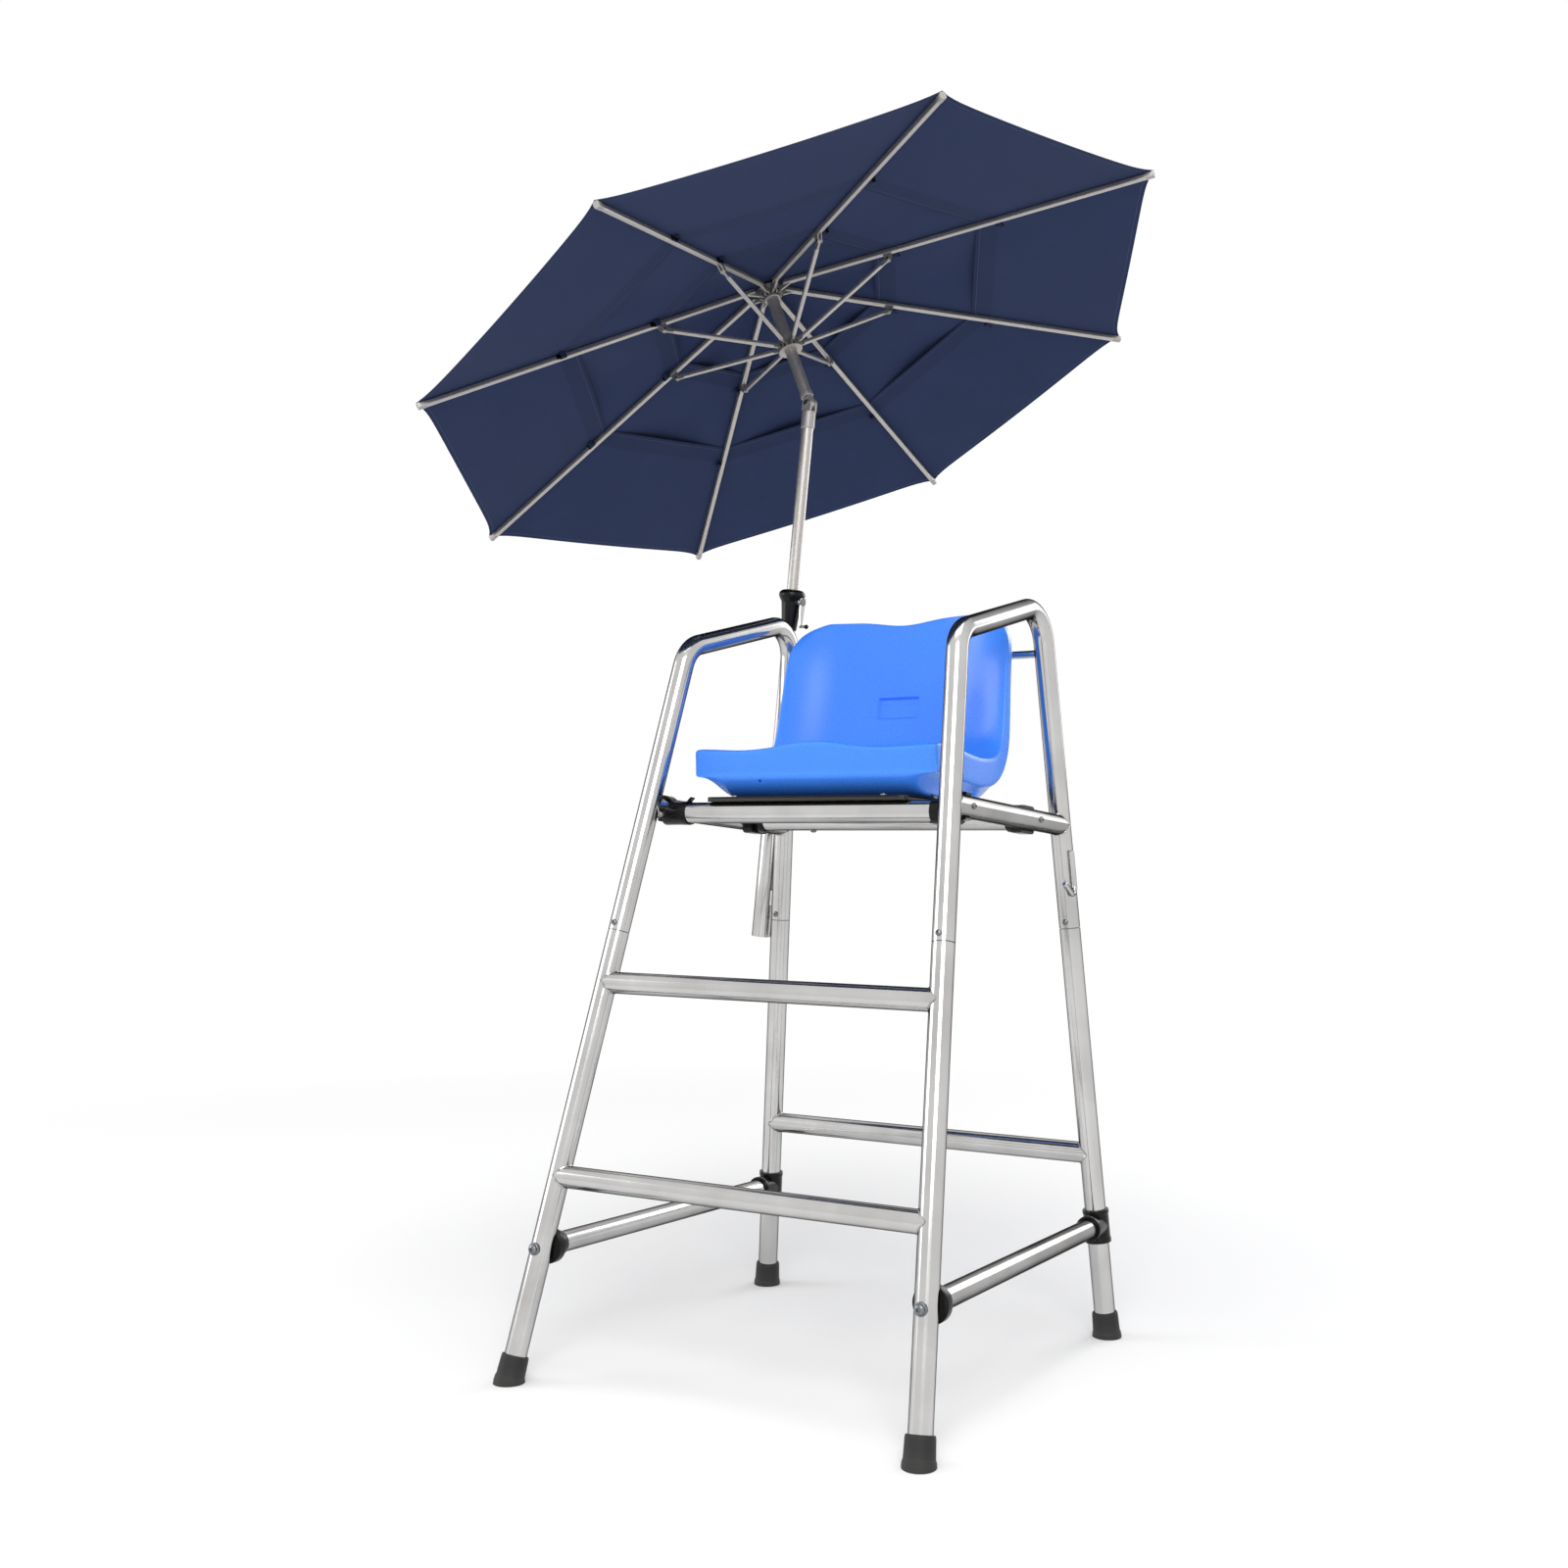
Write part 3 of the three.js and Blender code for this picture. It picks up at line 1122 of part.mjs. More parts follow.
const mast = groupIn(chair, frameOf(tiltPivot, hingeDirection, mastUp));
const head = groupIn(chair, frameOf(tiltPivot, hingeDirection, upperUp));
const onAxis = (height) => new THREE.Vector3(0, 0, height);
const mastLength = tiltPivot.distanceTo(mastFoot);
const forkTop = -FORK_BASE_DROP - FORK_BASE_THICKNESS;
const crankHeight = -HOUSING_TOP_DROP - CRANK_DROP;
const crankHeading = THREE.MathUtils.degToRad(CRANK_HEADING);
const crankOut = new THREE.Vector3(Math.cos(crankHeading), Math.sin(crankHeading), 0);
const crankPlace = (distance, height = 0) => onAxis(crankHeight + height).addScaledVector(crankOut, distance);

function crankHousing() {
  const bore = boreFor(poleRadius);
  const top = HOUSING_HEIGHT;
  const profile = [
    [bore, 0], [HOUSING_FOOT_DIAMETER / 2, 0], [HOUSING_TOP_DIAMETER / 2, top - HOUSING_RIM_HEIGHT],
    [HOUSING_TOP_DIAMETER / 2, top], [bore, top], [bore, 0],
  ];
  const foot = onAxis(-HOUSING_TOP_DROP - HOUSING_HEIGHT);
  const body = turnedBetween(foot, onAxis(0), profile, TUBE_SIDES);
  const boss = rod(crankPlace(poleRadius), crankPlace(CRANK_BOSS_REACH), CRANK_BOSS_DIAMETER / 2, TUBE_SIDES);
  const poleHole = clearanceOf(foot.clone().setZ(foot.z - CUT_OVERRUN), onAxis(0), poleRadius);
  const shaft = rod(
    crankPlace(CRANK_BOSS_REACH - CRANK_SHAFT_DEPTH - FIT_GAP),
    crankPlace(CRANK_BOSS_REACH + CUT_OVERRUN),
    CRANK_SHAFT_DIAMETER / 2 + FIT_GAP,
    SMALL_SIDES,
  );
  return without(body.add(boss), [poleHole, shaft]);
}
addPiece(mast, 'crank_housing', crankHousing(), blackPlastic);

function crank() {
  const start = CRANK_BOSS_REACH + FIT_GAP;
  const end = start + CRANK_HUB_THICKNESS;
  const armFace = end - CRANK_ARM_THICKNESS;
  const hub = rod(crankPlace(start), crankPlace(end), CRANK_HUB_DIAMETER / 2, TUBE_SIDES);
  const shaftFoot = crankPlace(CRANK_BOSS_REACH - CRANK_SHAFT_DEPTH);
  const shaft = rod(shaftFoot, crankPlace(end), CRANK_SHAFT_DIAMETER / 2, SMALL_SIDES);
  const frame = frameOf(crankPlace(armFace), zAxis, crankOut);
  const [root, tip] = [CRANK_ARM_ROOT_WIDTH / 2, CRANK_ARM_TIP_WIDTH / 2];
  const outline = [
    new THREE.Vector2(0, -root), new THREE.Vector2(0, root),
    new THREE.Vector2(-CRANK_ARM_LENGTH, tip), new THREE.Vector2(-CRANK_ARM_LENGTH, -tip),
  ];
  const arm = solidOf(plate(outline, CRANK_ARM_THICKNESS)
    .translate(0, 0, CRANK_ARM_THICKNESS / 2)
    .applyMatrix4(frame));
  const armEnd = crankPlace(armFace, -CRANK_ARM_LENGTH);
  const eye = rod(armEnd, crankPlace(end, -CRANK_ARM_LENGTH), tip, SMALL_SIDES);
  const handle = rod(
    armEnd,
    crankPlace(end + CRANK_HANDLE_LENGTH, -CRANK_ARM_LENGTH),
    CRANK_HANDLE_DIAMETER / 2,
    SMALL_SIDES,
  );
  return joined([hub, shaft, arm, eye, handle]);
}
addPiece(mast, 'crank_arm', crank(), steel);

// Tilt joint: fork on the lower pole, tongue on the upper pole, pin through both

const tiltPinHole = freeBoreFor(TILT_PIN_DIAMETER / 2, FIT_GAP);
const cheekInner = TONGUE_THICKNESS / 2 + FIT_GAP;
const cheekOuter = cheekInner + FORK_CHEEK_THICKNESS;
const hingePoint = (x) => new THREE.Vector3(x, 0, 0);
const acrossFork = rod(
  hingePoint(-cheekOuter - CUT_OVERRUN),
  hingePoint(cheekOuter + CUT_OVERRUN),
  tiltPinHole,
  SMALL_SIDES,
);

// A plate square to the hinge: round about the pin, straight down or up to a given height
function hingePlate(inner, outer, radius, reach) {
  const disc = rod(hingePoint(inner), hingePoint(outer), radius, ROUND_SIDES);
  const stem = new THREE.BoxGeometry(outer - inner, radius * 2, Math.abs(reach));
  return disc.add(solidOf(stem.translate((inner + outer) / 2, 0, reach / 2)));
}

function lowerPole() {
  const sleeveOuter = poleRadius + FORK_SLEEVE_WALL;
  const low = forkTop - FORK_SLEEVE_LENGTH;
  const headEnd = cheekOuter + TILT_PIN_HEAD_THICKNESS;
  const headRadius = TILT_PIN_HEAD_DIAMETER / 2;
  return joined([
    tube(onAxis(LINER_FLOOR + FIT_GAP - mastLength), onAxis(forkTop), poleRadius, poleBore),
    tube(onAxis(low), onAxis(forkTop), sleeveOuter, (poleRadius + poleBore) / 2),
    rod(onAxis(forkTop), onAxis(-FORK_BASE_DROP), sleeveOuter),
    hingePlate(cheekInner, cheekOuter, FORK_CHEEK_RADIUS, -FORK_BASE_DROP - FORK_BASE_THICKNESS / 2),
    hingePlate(-cheekOuter, -cheekInner, FORK_CHEEK_RADIUS, -FORK_BASE_DROP - FORK_BASE_THICKNESS / 2),
    rod(hingePoint(-headEnd), hingePoint(headEnd), TILT_PIN_DIAMETER / 2, SMALL_SIDES),
    rod(hingePoint(cheekOuter), hingePoint(headEnd), headRadius, SMALL_SIDES),
    rod(hingePoint(-headEnd), hingePoint(-cheekOuter), headRadius, SMALL_SIDES),
  ]);
}
addPiece(mast, 'pole_lower', lowerPole(), aluminium);

// Rib linkage in the plane of one rib: X runs out from the pole, Z up the pole, from the crown

const ribAngle = THREE.MathUtils.degToRad(RIB_ANGLE);
const ribOut = new THREE.Vector3(Math.sin(ribAngle), 0, -Math.cos(ribAngle));
const ribUp = new THREE.Vector3(Math.cos(ribAngle), 0, Math.sin(ribAngle));
const onRib = (run, rise) => new THREE.Vector3().addScaledVector(ribOut, run).addScaledVector(ribUp, rise);
const ribPivotRun = (PIVOT_RADIUS + RIB_PIVOT_DROP * Math.cos(ribAngle)) / Math.sin(ribAngle);
const ribPivot = onRib(ribPivotRun, -RIB_PIVOT_DROP);
const strutPivot = onRib(STRUT_PIVOT_REACH, -STRUT_PIVOT_DROP);
const runnerPivot = new THREE.Vector3(PIVOT_RADIUS, 0, 2 * strutPivot.z - ribPivot.z);
const crownPoint = onAxis(CROWN_HEIGHT);
const hubCentre = CROWN_HEIGHT + ribPivot.z;
const runnerCentre = CROWN_HEIGHT + runnerPivot.z;
const hubBore = boreFor(poleRadius);
const runnerBore = boreFor(poleRadius, POLE_FIT_GAP);

function upperPole() {
  const top = hubCentre + HUB_HALF_HEIGHT - HUB_WEB_THICKNESS - FIT_GAP;
  const collar = onAxis(TONGUE_COLLAR_START);
  const collarEnd = TONGUE_COLLAR_START + TONGUE_COLLAR_THICKNESS;
  return joined([
    tube(onAxis(collarEnd - FIT_GAP), onAxis(top), poleRadius, poleBore),
    rod(collar, onAxis(collarEnd), poleRadius),
    without(
      hingePlate(-TONGUE_THICKNESS / 2, TONGUE_THICKNESS / 2, TONGUE_RADIUS, collarEnd - FIT_GAP),
      [acrossFork],
    ),
  ]);
}
addPiece(head, 'pole_upper', upperPole(), aluminium);

function ribHeading(index) {
  return THREE.MathUtils.degToRad(RIB_PHASE) + (2 * Math.PI * index) / RIB_COUNT;
}

// Slotted ring that carries the pins of eight links; the slots open outwards and up or down
function slottedRing(centre, bore, slotLow, slotHigh, profile) {
  const pinBiteShare = 0.25;
  const poleHole = rod(onAxis(centre - HUB_DIAMETER), onAxis(bore.top), bore.radius);
  let ring = solidOf(turned(profile, RING_SIDES).translate(0, 0, centre)).subtract(poleHole);
  const slotDepth = HUB_DIAMETER;
  for (let i = 0; i < RIB_COUNT; i += 1) {
    const slot = new THREE.BoxGeometry(slotDepth, HUB_SLOT_WIDTH, slotHigh - slotLow)
      .translate(HUB_SLOT_FLOOR + slotDepth / 2, 0, centre + (slotLow + slotHigh) / 2)
      .rotateZ(ribHeading(i));
    const pinEnd = HUB_SLOT_WIDTH / 2 + LINK_PIN_DIAMETER * pinBiteShare;
    const turn = new THREE.Matrix4().makeRotationZ(ribHeading(i));
    const pin = rod(
      new THREE.Vector3(PIVOT_RADIUS, -pinEnd, centre).applyMatrix4(turn),
      new THREE.Vector3(PIVOT_RADIUS, pinEnd, centre).applyMatrix4(turn),
      LINK_PIN_DIAMETER / 2,
      SMALL_SIDES,
    );
    ring = without(ring, [solidOf(slot)]).add(pin);
  }
  return ring;
}

const hubRadius = HUB_DIAMETER / 2;
const hubProfile = [
  [0, -HUB_HALF_HEIGHT], [hubRadius, -HUB_HALF_HEIGHT],
  [hubRadius, HUB_HALF_HEIGHT], [0, HUB_HALF_HEIGHT],
];
addPiece(head, 'umbrella_hub', slottedRing(
  hubCentre,
  { radius: hubBore, top: hubCentre + HUB_HALF_HEIGHT - HUB_WEB_THICKNESS },
  -HUB_HALF_HEIGHT - CUT_OVERRUN,
  HUB_HALF_HEIGHT - HUB_WEB_THICKNESS,
  hubProfile,
), aluminium);

const collarRadius = RUNNER_COLLAR_DIAMETER / 2;
const runnerProfile = [
  [0, -HUB_HALF_HEIGHT - RUNNER_COLLAR_LENGTH], [collarRadius, -HUB_HALF_HEIGHT - RUNNER_COLLAR_LENGTH],
  [collarRadius, -HUB_HALF_HEIGHT], [hubRadius, -HUB_HALF_HEIGHT],
  [hubRadius, HUB_HALF_HEIGHT], [0, HUB_HALF_HEIGHT],
];
addPiece(head, 'umbrella_runner', slottedRing(
  runnerCentre,
  { radius: runnerBore, top: runnerCentre + HUB_DIAMETER },
  HUB_WEB_THICKNESS - HUB_HALF_HEIGHT,
  HUB_HALF_HEIGHT + CUT_OVERRUN,
  runnerProfile,
), aluminium);

// Rectangular tube with cut corners along +X
function sectionTube(width, depth, wall, corner, start, end) {
  const section = new THREE.Shape(roundedOutline(width, depth, corner));
  const bore = roundedOutline(width - wall - wall, depth - wall - wall, corner - wall / 2);
  section.holes.push(new THREE.Path(bore.reverse()));
  const geometry = new THREE.ExtrudeGeometry(section, { depth: end - start, bevelEnabled: false });
  return solidOf(geometry.rotateX(Math.PI / 2).rotateZ(Math.PI / 2).translate(start, 0, 0));
}

// Rib in its own frame: X along the rib from the crown, Z up off the rib, Y across
function ribSolid() {
  const bore = RIB_DEPTH / 2 - RIB_WALL;
  const tailEnd = RIB_TUBE_START + LINK_TAIL;
  const tail = [
    new THREE.Vector2(tailEnd, -bore - RIB_WALL / 2),
    new THREE.Vector2(tailEnd, 0),
    new THREE.Vector2(RIB_TUBE_START - RIB_WALL - RIB_WALL, -bore / 2),
  ];
  const eye = new THREE.Vector2(ribPivotRun, -RIB_PIVOT_DROP);
  const inner = solidOf(plateOnRib(eyeOutline(eye, tail), LINK_THICKNESS, eye));
  const cap = new THREE.BoxGeometry(TIP_CAP_LENGTH, RIB_WIDTH, RIB_DEPTH + TIP_CAP_LIP)
    .translate(RIB_LENGTH - TIP_CAP_LENGTH / 2, 0, -TIP_CAP_LIP / 2);
  const strutEye = new THREE.Vector2(STRUT_PIVOT_REACH, -STRUT_PIVOT_DROP);
  const bracket = joined([-1, 1].map((side) => {
    const outline = bracketOutline(strutEye);
    const offset = side * (BRACKET_GAP + BRACKET_THICKNESS) / 2;
    return solidOf(plateOnRib(outline, BRACKET_THICKNESS, null).translate(0, offset, 0));
  }));
  const pinHalf = BRACKET_GAP / 2 + BRACKET_THICKNESS;
  const pin = rod(
    new THREE.Vector3(strutEye.x, -pinHalf, strutEye.y),
    new THREE.Vector3(strutEye.x, pinHalf, strutEye.y),
    LINK_PIN_DIAMETER / 2,
    SMALL_SIDES,
  );
  const clips = tierEdgeShares.slice(0, -1).map((share) => solidOf(
    new THREE.BoxGeometry(HOOK_CLIP_LENGTH, HOOK_CLIP_WIDTH, HOOK_CLIP_HEIGHT)
      .translate(share * RIB_LENGTH, RIB_WIDTH / 2 + HOOK_CLIP_WIDTH / 2 - RIB_WALL / 2, 0),
  ));
  const bar = sectionTube(RIB_WIDTH, RIB_DEPTH, RIB_WALL, RIB_CORNER, RIB_TUBE_START, RIB_LENGTH - RIB_WALL);
  return joined([bar, inner, solidOf(cap), bracket, pin, ...clips]);
}

// Outline of an eye with a tail: the round part starts on the tail's upper edge and goes round the back
function eyeOutline(eye, tail) {
  const outline = [];
  for (let i = 0; i <= SMALL_SIDES / 2; i += 1) {
    const angle = Math.PI / 2 + (2 * Math.PI * i) / SMALL_SIDES;
    outline.push(new THREE.Vector2(
      eye.x + LINK_EYE_RADIUS * Math.cos(angle),
      eye.y + LINK_EYE_RADIUS * Math.sin(angle),
    ));
  }
  return [...outline, ...tail];
}

// Extrudes an outline of run and rise across the rib, with a pin hole where an eye is given
function plateOnRib(outline, thickness, eye) {
  const shape = new THREE.Shape(outline);
  if (eye) {
    const hole = regularOutline(LINK_HOLE_DIAMETER / 2, SMALL_SIDES).map((corner) => corner.add(eye));
    shape.holes.push(new THREE.Path(hole.reverse()));
  }
  const geometry = new THREE.ExtrudeGeometry(shape, { depth: thickness, bevelEnabled: false });
  return geometry.translate(0, 0, -thickness / 2).rotateX(Math.PI / 2);
}

function bracketOutline(eye) {
  const half = BRACKET_LENGTH / 2;
  const top = -RIB_DEPTH / 2 + RIB_WALL / 2;
  const outline = [new THREE.Vector2(eye.x + half, top), new THREE.Vector2(eye.x - half, top)];
  for (let i = 0; i <= SMALL_SIDES / 2; i += 1) {
    const angle = Math.PI + (2 * Math.PI * i) / SMALL_SIDES;
    outline.push(new THREE.Vector2(
      eye.x + LINK_EYE_RADIUS * Math.cos(angle),
      eye.y + LINK_EYE_RADIUS * Math.sin(angle),
    ));
  }
  return outline;
}

// Strut in its own frame: X from its pivot on the rib towards the runner, Y across
const strutLength = strutPivot.distanceTo(runnerPivot);

function strutSolid() {
  const half = STRUT_WIDTH / 2 - STRUT_WALL / 2;
  const tailOf = (start) => [
    new THREE.Vector2(start, -half),
    new THREE.Vector2(start, half),
    new THREE.Vector2(LINK_EYE_RADIUS + LINK_EYE_RADIUS, LINK_EYE_RADIUS),
  ];
  const outline = eyeOutline(new THREE.Vector2(0, 0), tailOf(STRUT_OUTER_START + LINK_TAIL));
  const outerEnd = solidOf(plateOnRib(outline, LINK_THICKNESS, new THREE.Vector2(0, 0)));
  const innerOutline = eyeOutline(new THREE.Vector2(0, 0), tailOf(STRUT_INNER_END + LINK_TAIL));
  const innerEnd = solidOf(plateOnRib(innerOutline, LINK_THICKNESS, new THREE.Vector2(0, 0))
    .rotateZ(Math.PI)
    .translate(strutLength, 0, 0));
  const bar = sectionTube(
    STRUT_WIDTH, STRUT_WIDTH, STRUT_WALL, STRUT_CORNER, STRUT_OUTER_START, strutLength - STRUT_INNER_END,
  );
  return joined([bar, outerEnd, innerEnd]);
}

// Canopy: flat gores between ribs, cut half way, so each panel is centred on its rib

const goreTan = Math.tan(Math.PI / RIB_COUNT);
const ribEdgeDrop = (RIB_WIDTH / 2) * goreTan * Math.cos(ribAngle);
const clothRise = RIB_DEPTH / 2 + ribEdgeDrop + FIT_GAP;

// Point of the cloth at a run along the rib and a share of the half gore, with a rise off the rib
function clothPoint(run, goreShare, rise) {
  const out = onRib(run, rise);
  const reach = out.x;
  const across = reach * goreTan * Math.cos(Math.PI / RIB_COUNT) ** 2;
  const seamGap = (FIT_GAP / 2) / Math.cos(Math.PI / RIB_COUNT);
  const share = Math.abs(goreShare);
  const x = reach - across * goreTan * share;
  const y = Math.max(across * share - seamGap * share, 0) * Math.sign(goreShare);
  return new THREE.Vector3(x, y, out.z);
}

// Outer edges hang back between the rib tips in a shallow curve with short ears
function hemInset(run, goreShare) {
  const across = run * goreTan * Math.abs(goreShare);
  return HEM_INSET * (1 - Math.exp(-across / (HEM_EAR / 2)));
}

function tierSolid(tier) {
  const outer = tierEdgeShares[tier] * RIB_LENGTH;
  const holeRun = CLOTH_HOLE_RADIUS / Math.sin(ribAngle);
  const inner = tier === 0 ? holeRun : tierEdgeShares[tier - 1] * RIB_LENGTH - TIER_LAP;
  const isLowest = tier === tierEdgeShares.length - 1;
  const lapStartShare = tierPointShares.at(-2);
  const shares = [...gorePointShares.slice(1).reverse().map((share) => -share), ...gorePointShares];
  const grid = (extra) => tierPointShares.map((place) => shares.map((gore) => {
    const edge = outer - hemInset(outer, gore) * (isLowest ? 1 : 0);
    const run = THREE.MathUtils.lerp(inner, edge, place);
    const lap = isLowest ? 0 : eased(place / lapStartShare);
    const vent = TIER_VENT * lap * eased(Math.abs(gore));
    const lift = CLOTH_THICKNESS * sewnLiftShare * lap;
    return clothPoint(run, gore, clothRise + lift + vent + extra);
  }));
  return solidBetween(grid(CLOTH_THICKNESS), grid(0));
}

const panel = joined(tierEdgeShares.map((share, tier) => tierSolid(tier)));
const rib = ribSolid();
const strut = strutSolid();
for (let i = 0; i < RIB_COUNT; i += 1) {
  const number = i + 1;
  const turn = new THREE.Matrix4().makeRotationZ(ribHeading(i)).setPosition(crownPoint);
  const ribPlane = groupIn(head, turn);
  const ribFrame = groupIn(ribPlane, frameOf(new THREE.Vector3(), ribOut, ribUp));
  addPiece(ribFrame, `rib_${number}`, rib, aluminium);
  const strutDirection = runnerPivot.clone().sub(strutPivot);
  const strutSide = new THREE.Vector3(0, 1, 0).cross(strutDirection).negate();
  const strutFrame = groupIn(ribPlane, frameOf(strutPivot, strutDirection, strutSide));
  addPiece(strutFrame, `strut_${number}`, strut, aluminium);
  addPiece(ribPlane, `canopy_panel_${number}`, panel, navyCloth);
}

// Finial that holds the cloth down on the hub
function finial() {
  const clothTop = clothPoint(CLOTH_HOLE_RADIUS, 0, clothRise + CLOTH_THICKNESS).z;
  const low = CROWN_HEIGHT + clothTop + FIT_GAP;
  const stemFoot = hubCentre + HUB_HALF_HEIGHT + FIT_GAP;
  const [r, stem] = [FINIAL_DIAMETER / 2, FINIAL_STEM_DIAMETER / 2];
  const shoulderShare = 0.4;
  const shoulder = FINIAL_HEIGHT * (1 - shoulderShare);
  const profile = [
    [0, stemFoot], [stem, stemFoot], [stem, low], [r, low], [r, low + shoulder / 2],
    [r * shoulderShare, low + shoulder], [stem, low + FINIAL_HEIGHT], [0, low + FINIAL_HEIGHT],
  ];
  return solidOf(turned(profile));
}
addPiece(head, 'finial', finial(), aluminium);

// The part stands on the floor with its box centred on the origin
chair.updateMatrixWorld(true);
const box = new THREE.Box3().setFromObject(chair, true);
const middle = box.getCenter(new THREE.Vector3());
chair.position.set(-middle.x, -middle.y, -box.min.z);

export default chair;
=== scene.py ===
import math

import bmesh
import bpy
from bpy.props import FloatProperty, FloatVectorProperty, IntProperty, PointerProperty
from mathutils import Matrix, Vector
from mathutils.bvhtree import BVHTree


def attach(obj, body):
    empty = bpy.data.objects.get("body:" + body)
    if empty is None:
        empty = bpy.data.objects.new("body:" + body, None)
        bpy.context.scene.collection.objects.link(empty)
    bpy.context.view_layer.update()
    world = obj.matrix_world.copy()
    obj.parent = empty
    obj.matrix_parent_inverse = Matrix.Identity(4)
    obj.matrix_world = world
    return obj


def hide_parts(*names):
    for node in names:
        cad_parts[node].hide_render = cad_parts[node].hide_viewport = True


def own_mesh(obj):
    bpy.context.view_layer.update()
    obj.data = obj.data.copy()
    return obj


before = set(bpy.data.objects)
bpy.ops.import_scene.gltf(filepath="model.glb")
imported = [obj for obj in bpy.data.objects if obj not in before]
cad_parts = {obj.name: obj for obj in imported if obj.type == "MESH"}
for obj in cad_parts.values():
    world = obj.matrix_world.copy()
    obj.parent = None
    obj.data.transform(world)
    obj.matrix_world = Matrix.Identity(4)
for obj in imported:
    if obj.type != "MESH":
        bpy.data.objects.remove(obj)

bl_info = {
    "name": "Lifeguard Chair",
    "version": (1, 0, 0),
    "blender": (4, 5, 0),
    "location": "View3D > Sidebar > Lifeguard Chair",
    "description": "Dresses a tube-frame lifeguard chair with its bucket seat and three-tier umbrella",
    "category": "Add Mesh",
}

# Sizes below are in millimetres in the chair's own frame: the guard faces -Y, and left and right are as seen
# from the front.
MM = 0.001
CHAIR_ORIGIN = Vector((278.108, -361.512, 0))
TO_ROW = Matrix.Scale(MM, 4) @ Matrix.Translation(CHAIR_ORIGIN)
UP = Vector((0, 0, 1))
SIDES = {"left": -1, "right": 1}

TUBE_RADIUS = 19
STRETCHER_RADIUS = 18
FIT_GAP = 0.3
TUBE_BORE = TUBE_RADIUS + FIT_GAP
STRETCHER_BORE = STRETCHER_RADIUS + FIT_GAP
BACK_BAR_RADIUS = 7
HOOK_RADIUS = 5
POLE_RADIUS = 12
BEND_RADIUS = 60
SEAM_HEIGHT = 745
SEAM_HALF_GAP = 0.9
SEAM_NECK_RADIUS = 17.6
STEP_HEIGHTS = (331, 657)
REAR_BAR_HEIGHT = 333
BACK_BAR_HEIGHT = 1250
STRETCHER_HEIGHTS = (215, 202)
SIDE_RAIL_HEIGHTS = (967, 933)
FRONT_RAIL_Y = -62
FRONT_RAIL_DROP = 8
REAR_RAIL_Y = 214
PLATE_BOLT_HALF_SPREAD = 150
LEG_ENDS = {
    "front": (Vector((385, -392, 0)), Vector((274.5, -29, 1259))),
    "rear": (Vector((366.5, 392, 0)), Vector((269, 327, 1340))),
}

MAST_FOOT = Vector((-361.4, 360, 709.4))
TILT_PIVOT = Vector((-245.6, 360, 1785))
UPPER_LEAN = math.radians(23.45)
UPPER_LEAN_HEADING = math.radians(170.16)
SOCKET_LENGTH = 232
CROWN_HEIGHT = 281.6
RIB_COUNT = 8
RIB_PHASE = math.radians(15)
RIB_ANGLE = math.radians(75.4)
RIB_LENGTH = 809
RIB_PIVOT_DROP = 11.5
STRUT_REACH = 265.8
STRUT_DROP = 13
PIVOT_RADIUS = 20
TIER_EDGES = (0.35, 0.62, 1)
TIER_LAP = 46
TIER_VENT = 14
CLOTH_HOLE = 15
HEM_INSET = 12
HEM_EAR = 55

# How finely round shapes are divided
TUBE_SIDES = 48
TURNED_SIDES = 56
WELD_STEPS = 48


# Colours and nodes

def linear(hex_colour):
    """A sRGB hex colour as linear red, green, blue and alpha."""
    channels = [int(hex_colour[i:i + 2], 16) / 255 for i in (1, 3, 5)]
    return [c / 12.92 if c <= 0.04045 else ((c + 0.055) / 1.055) ** 2.4 for c in channels] + [1]


def add(tree, kind, links=None, **settings):
    """Adds a node with its settings, and links or sets its inputs by name or number."""
    node = tree.nodes.new(kind)
    for key, value in settings.items():
        setattr(node, key, value)
    for key, value in (links or {}).items():
        if isinstance(value, bpy.types.NodeSocket):
            tree.links.new(value, node.inputs[key])
        else:
            node.inputs[key].default_value = value
    return node


def ramp(tree, factor, stops):
    """A colour ramp with hex colours at places."""
    node = add(tree, "ShaderNodeValToRGB", {"Fac": factor})
    band = node.color_ramp
    while len(band.elements) < len(stops):
        band.elements.new(0.5)
    for element, (place, colour) in zip(band.elements, stops):
        element.position = place
        element.color = linear(colour)
    return node.outputs["Color"]


def new_finish(name, **values):
    """A material with one Principled shader; returns the material, its tree and the shader."""
    material = bpy.data.materials.new(name)
    material.use_nodes = True
    tree = material.node_tree
    tree.nodes.clear()
    shader = add(tree, "ShaderNodeBsdfPrincipled", values)
    add(tree, "ShaderNodeOutputMaterial", {"Surface": shader.outputs["BSDF"]})
    return material, tree, shader


def ranged(tree, value, low, high):
    """A value from 0 to 1 spread between two others."""
    return add(tree, "ShaderNodeMapRange", {"Value": value, "To Min": low, "To Max": high}).outputs["Result"]


def noise(tree, scale, detail=2.0, vector=None):
    """Noise with a number of cells per metre on the piece's own coordinates."""
    if vector is None:
        vector = add(tree, "ShaderNodeTexCoord").outputs["Object"]
    return add(tree, "ShaderNodeTexNoise",
               {"Vector": vector, "Scale": scale, "Detail": detail}).outputs["Fac"]


def bump(tree, shader, height, strength, distance):
    node = add(tree, "ShaderNodeBump", {"Height": height, "Strength": strength, "Distance": distance})
    tree.links.new(node.outputs["Normal"], shader.inputs["Normal"])


# Finishes

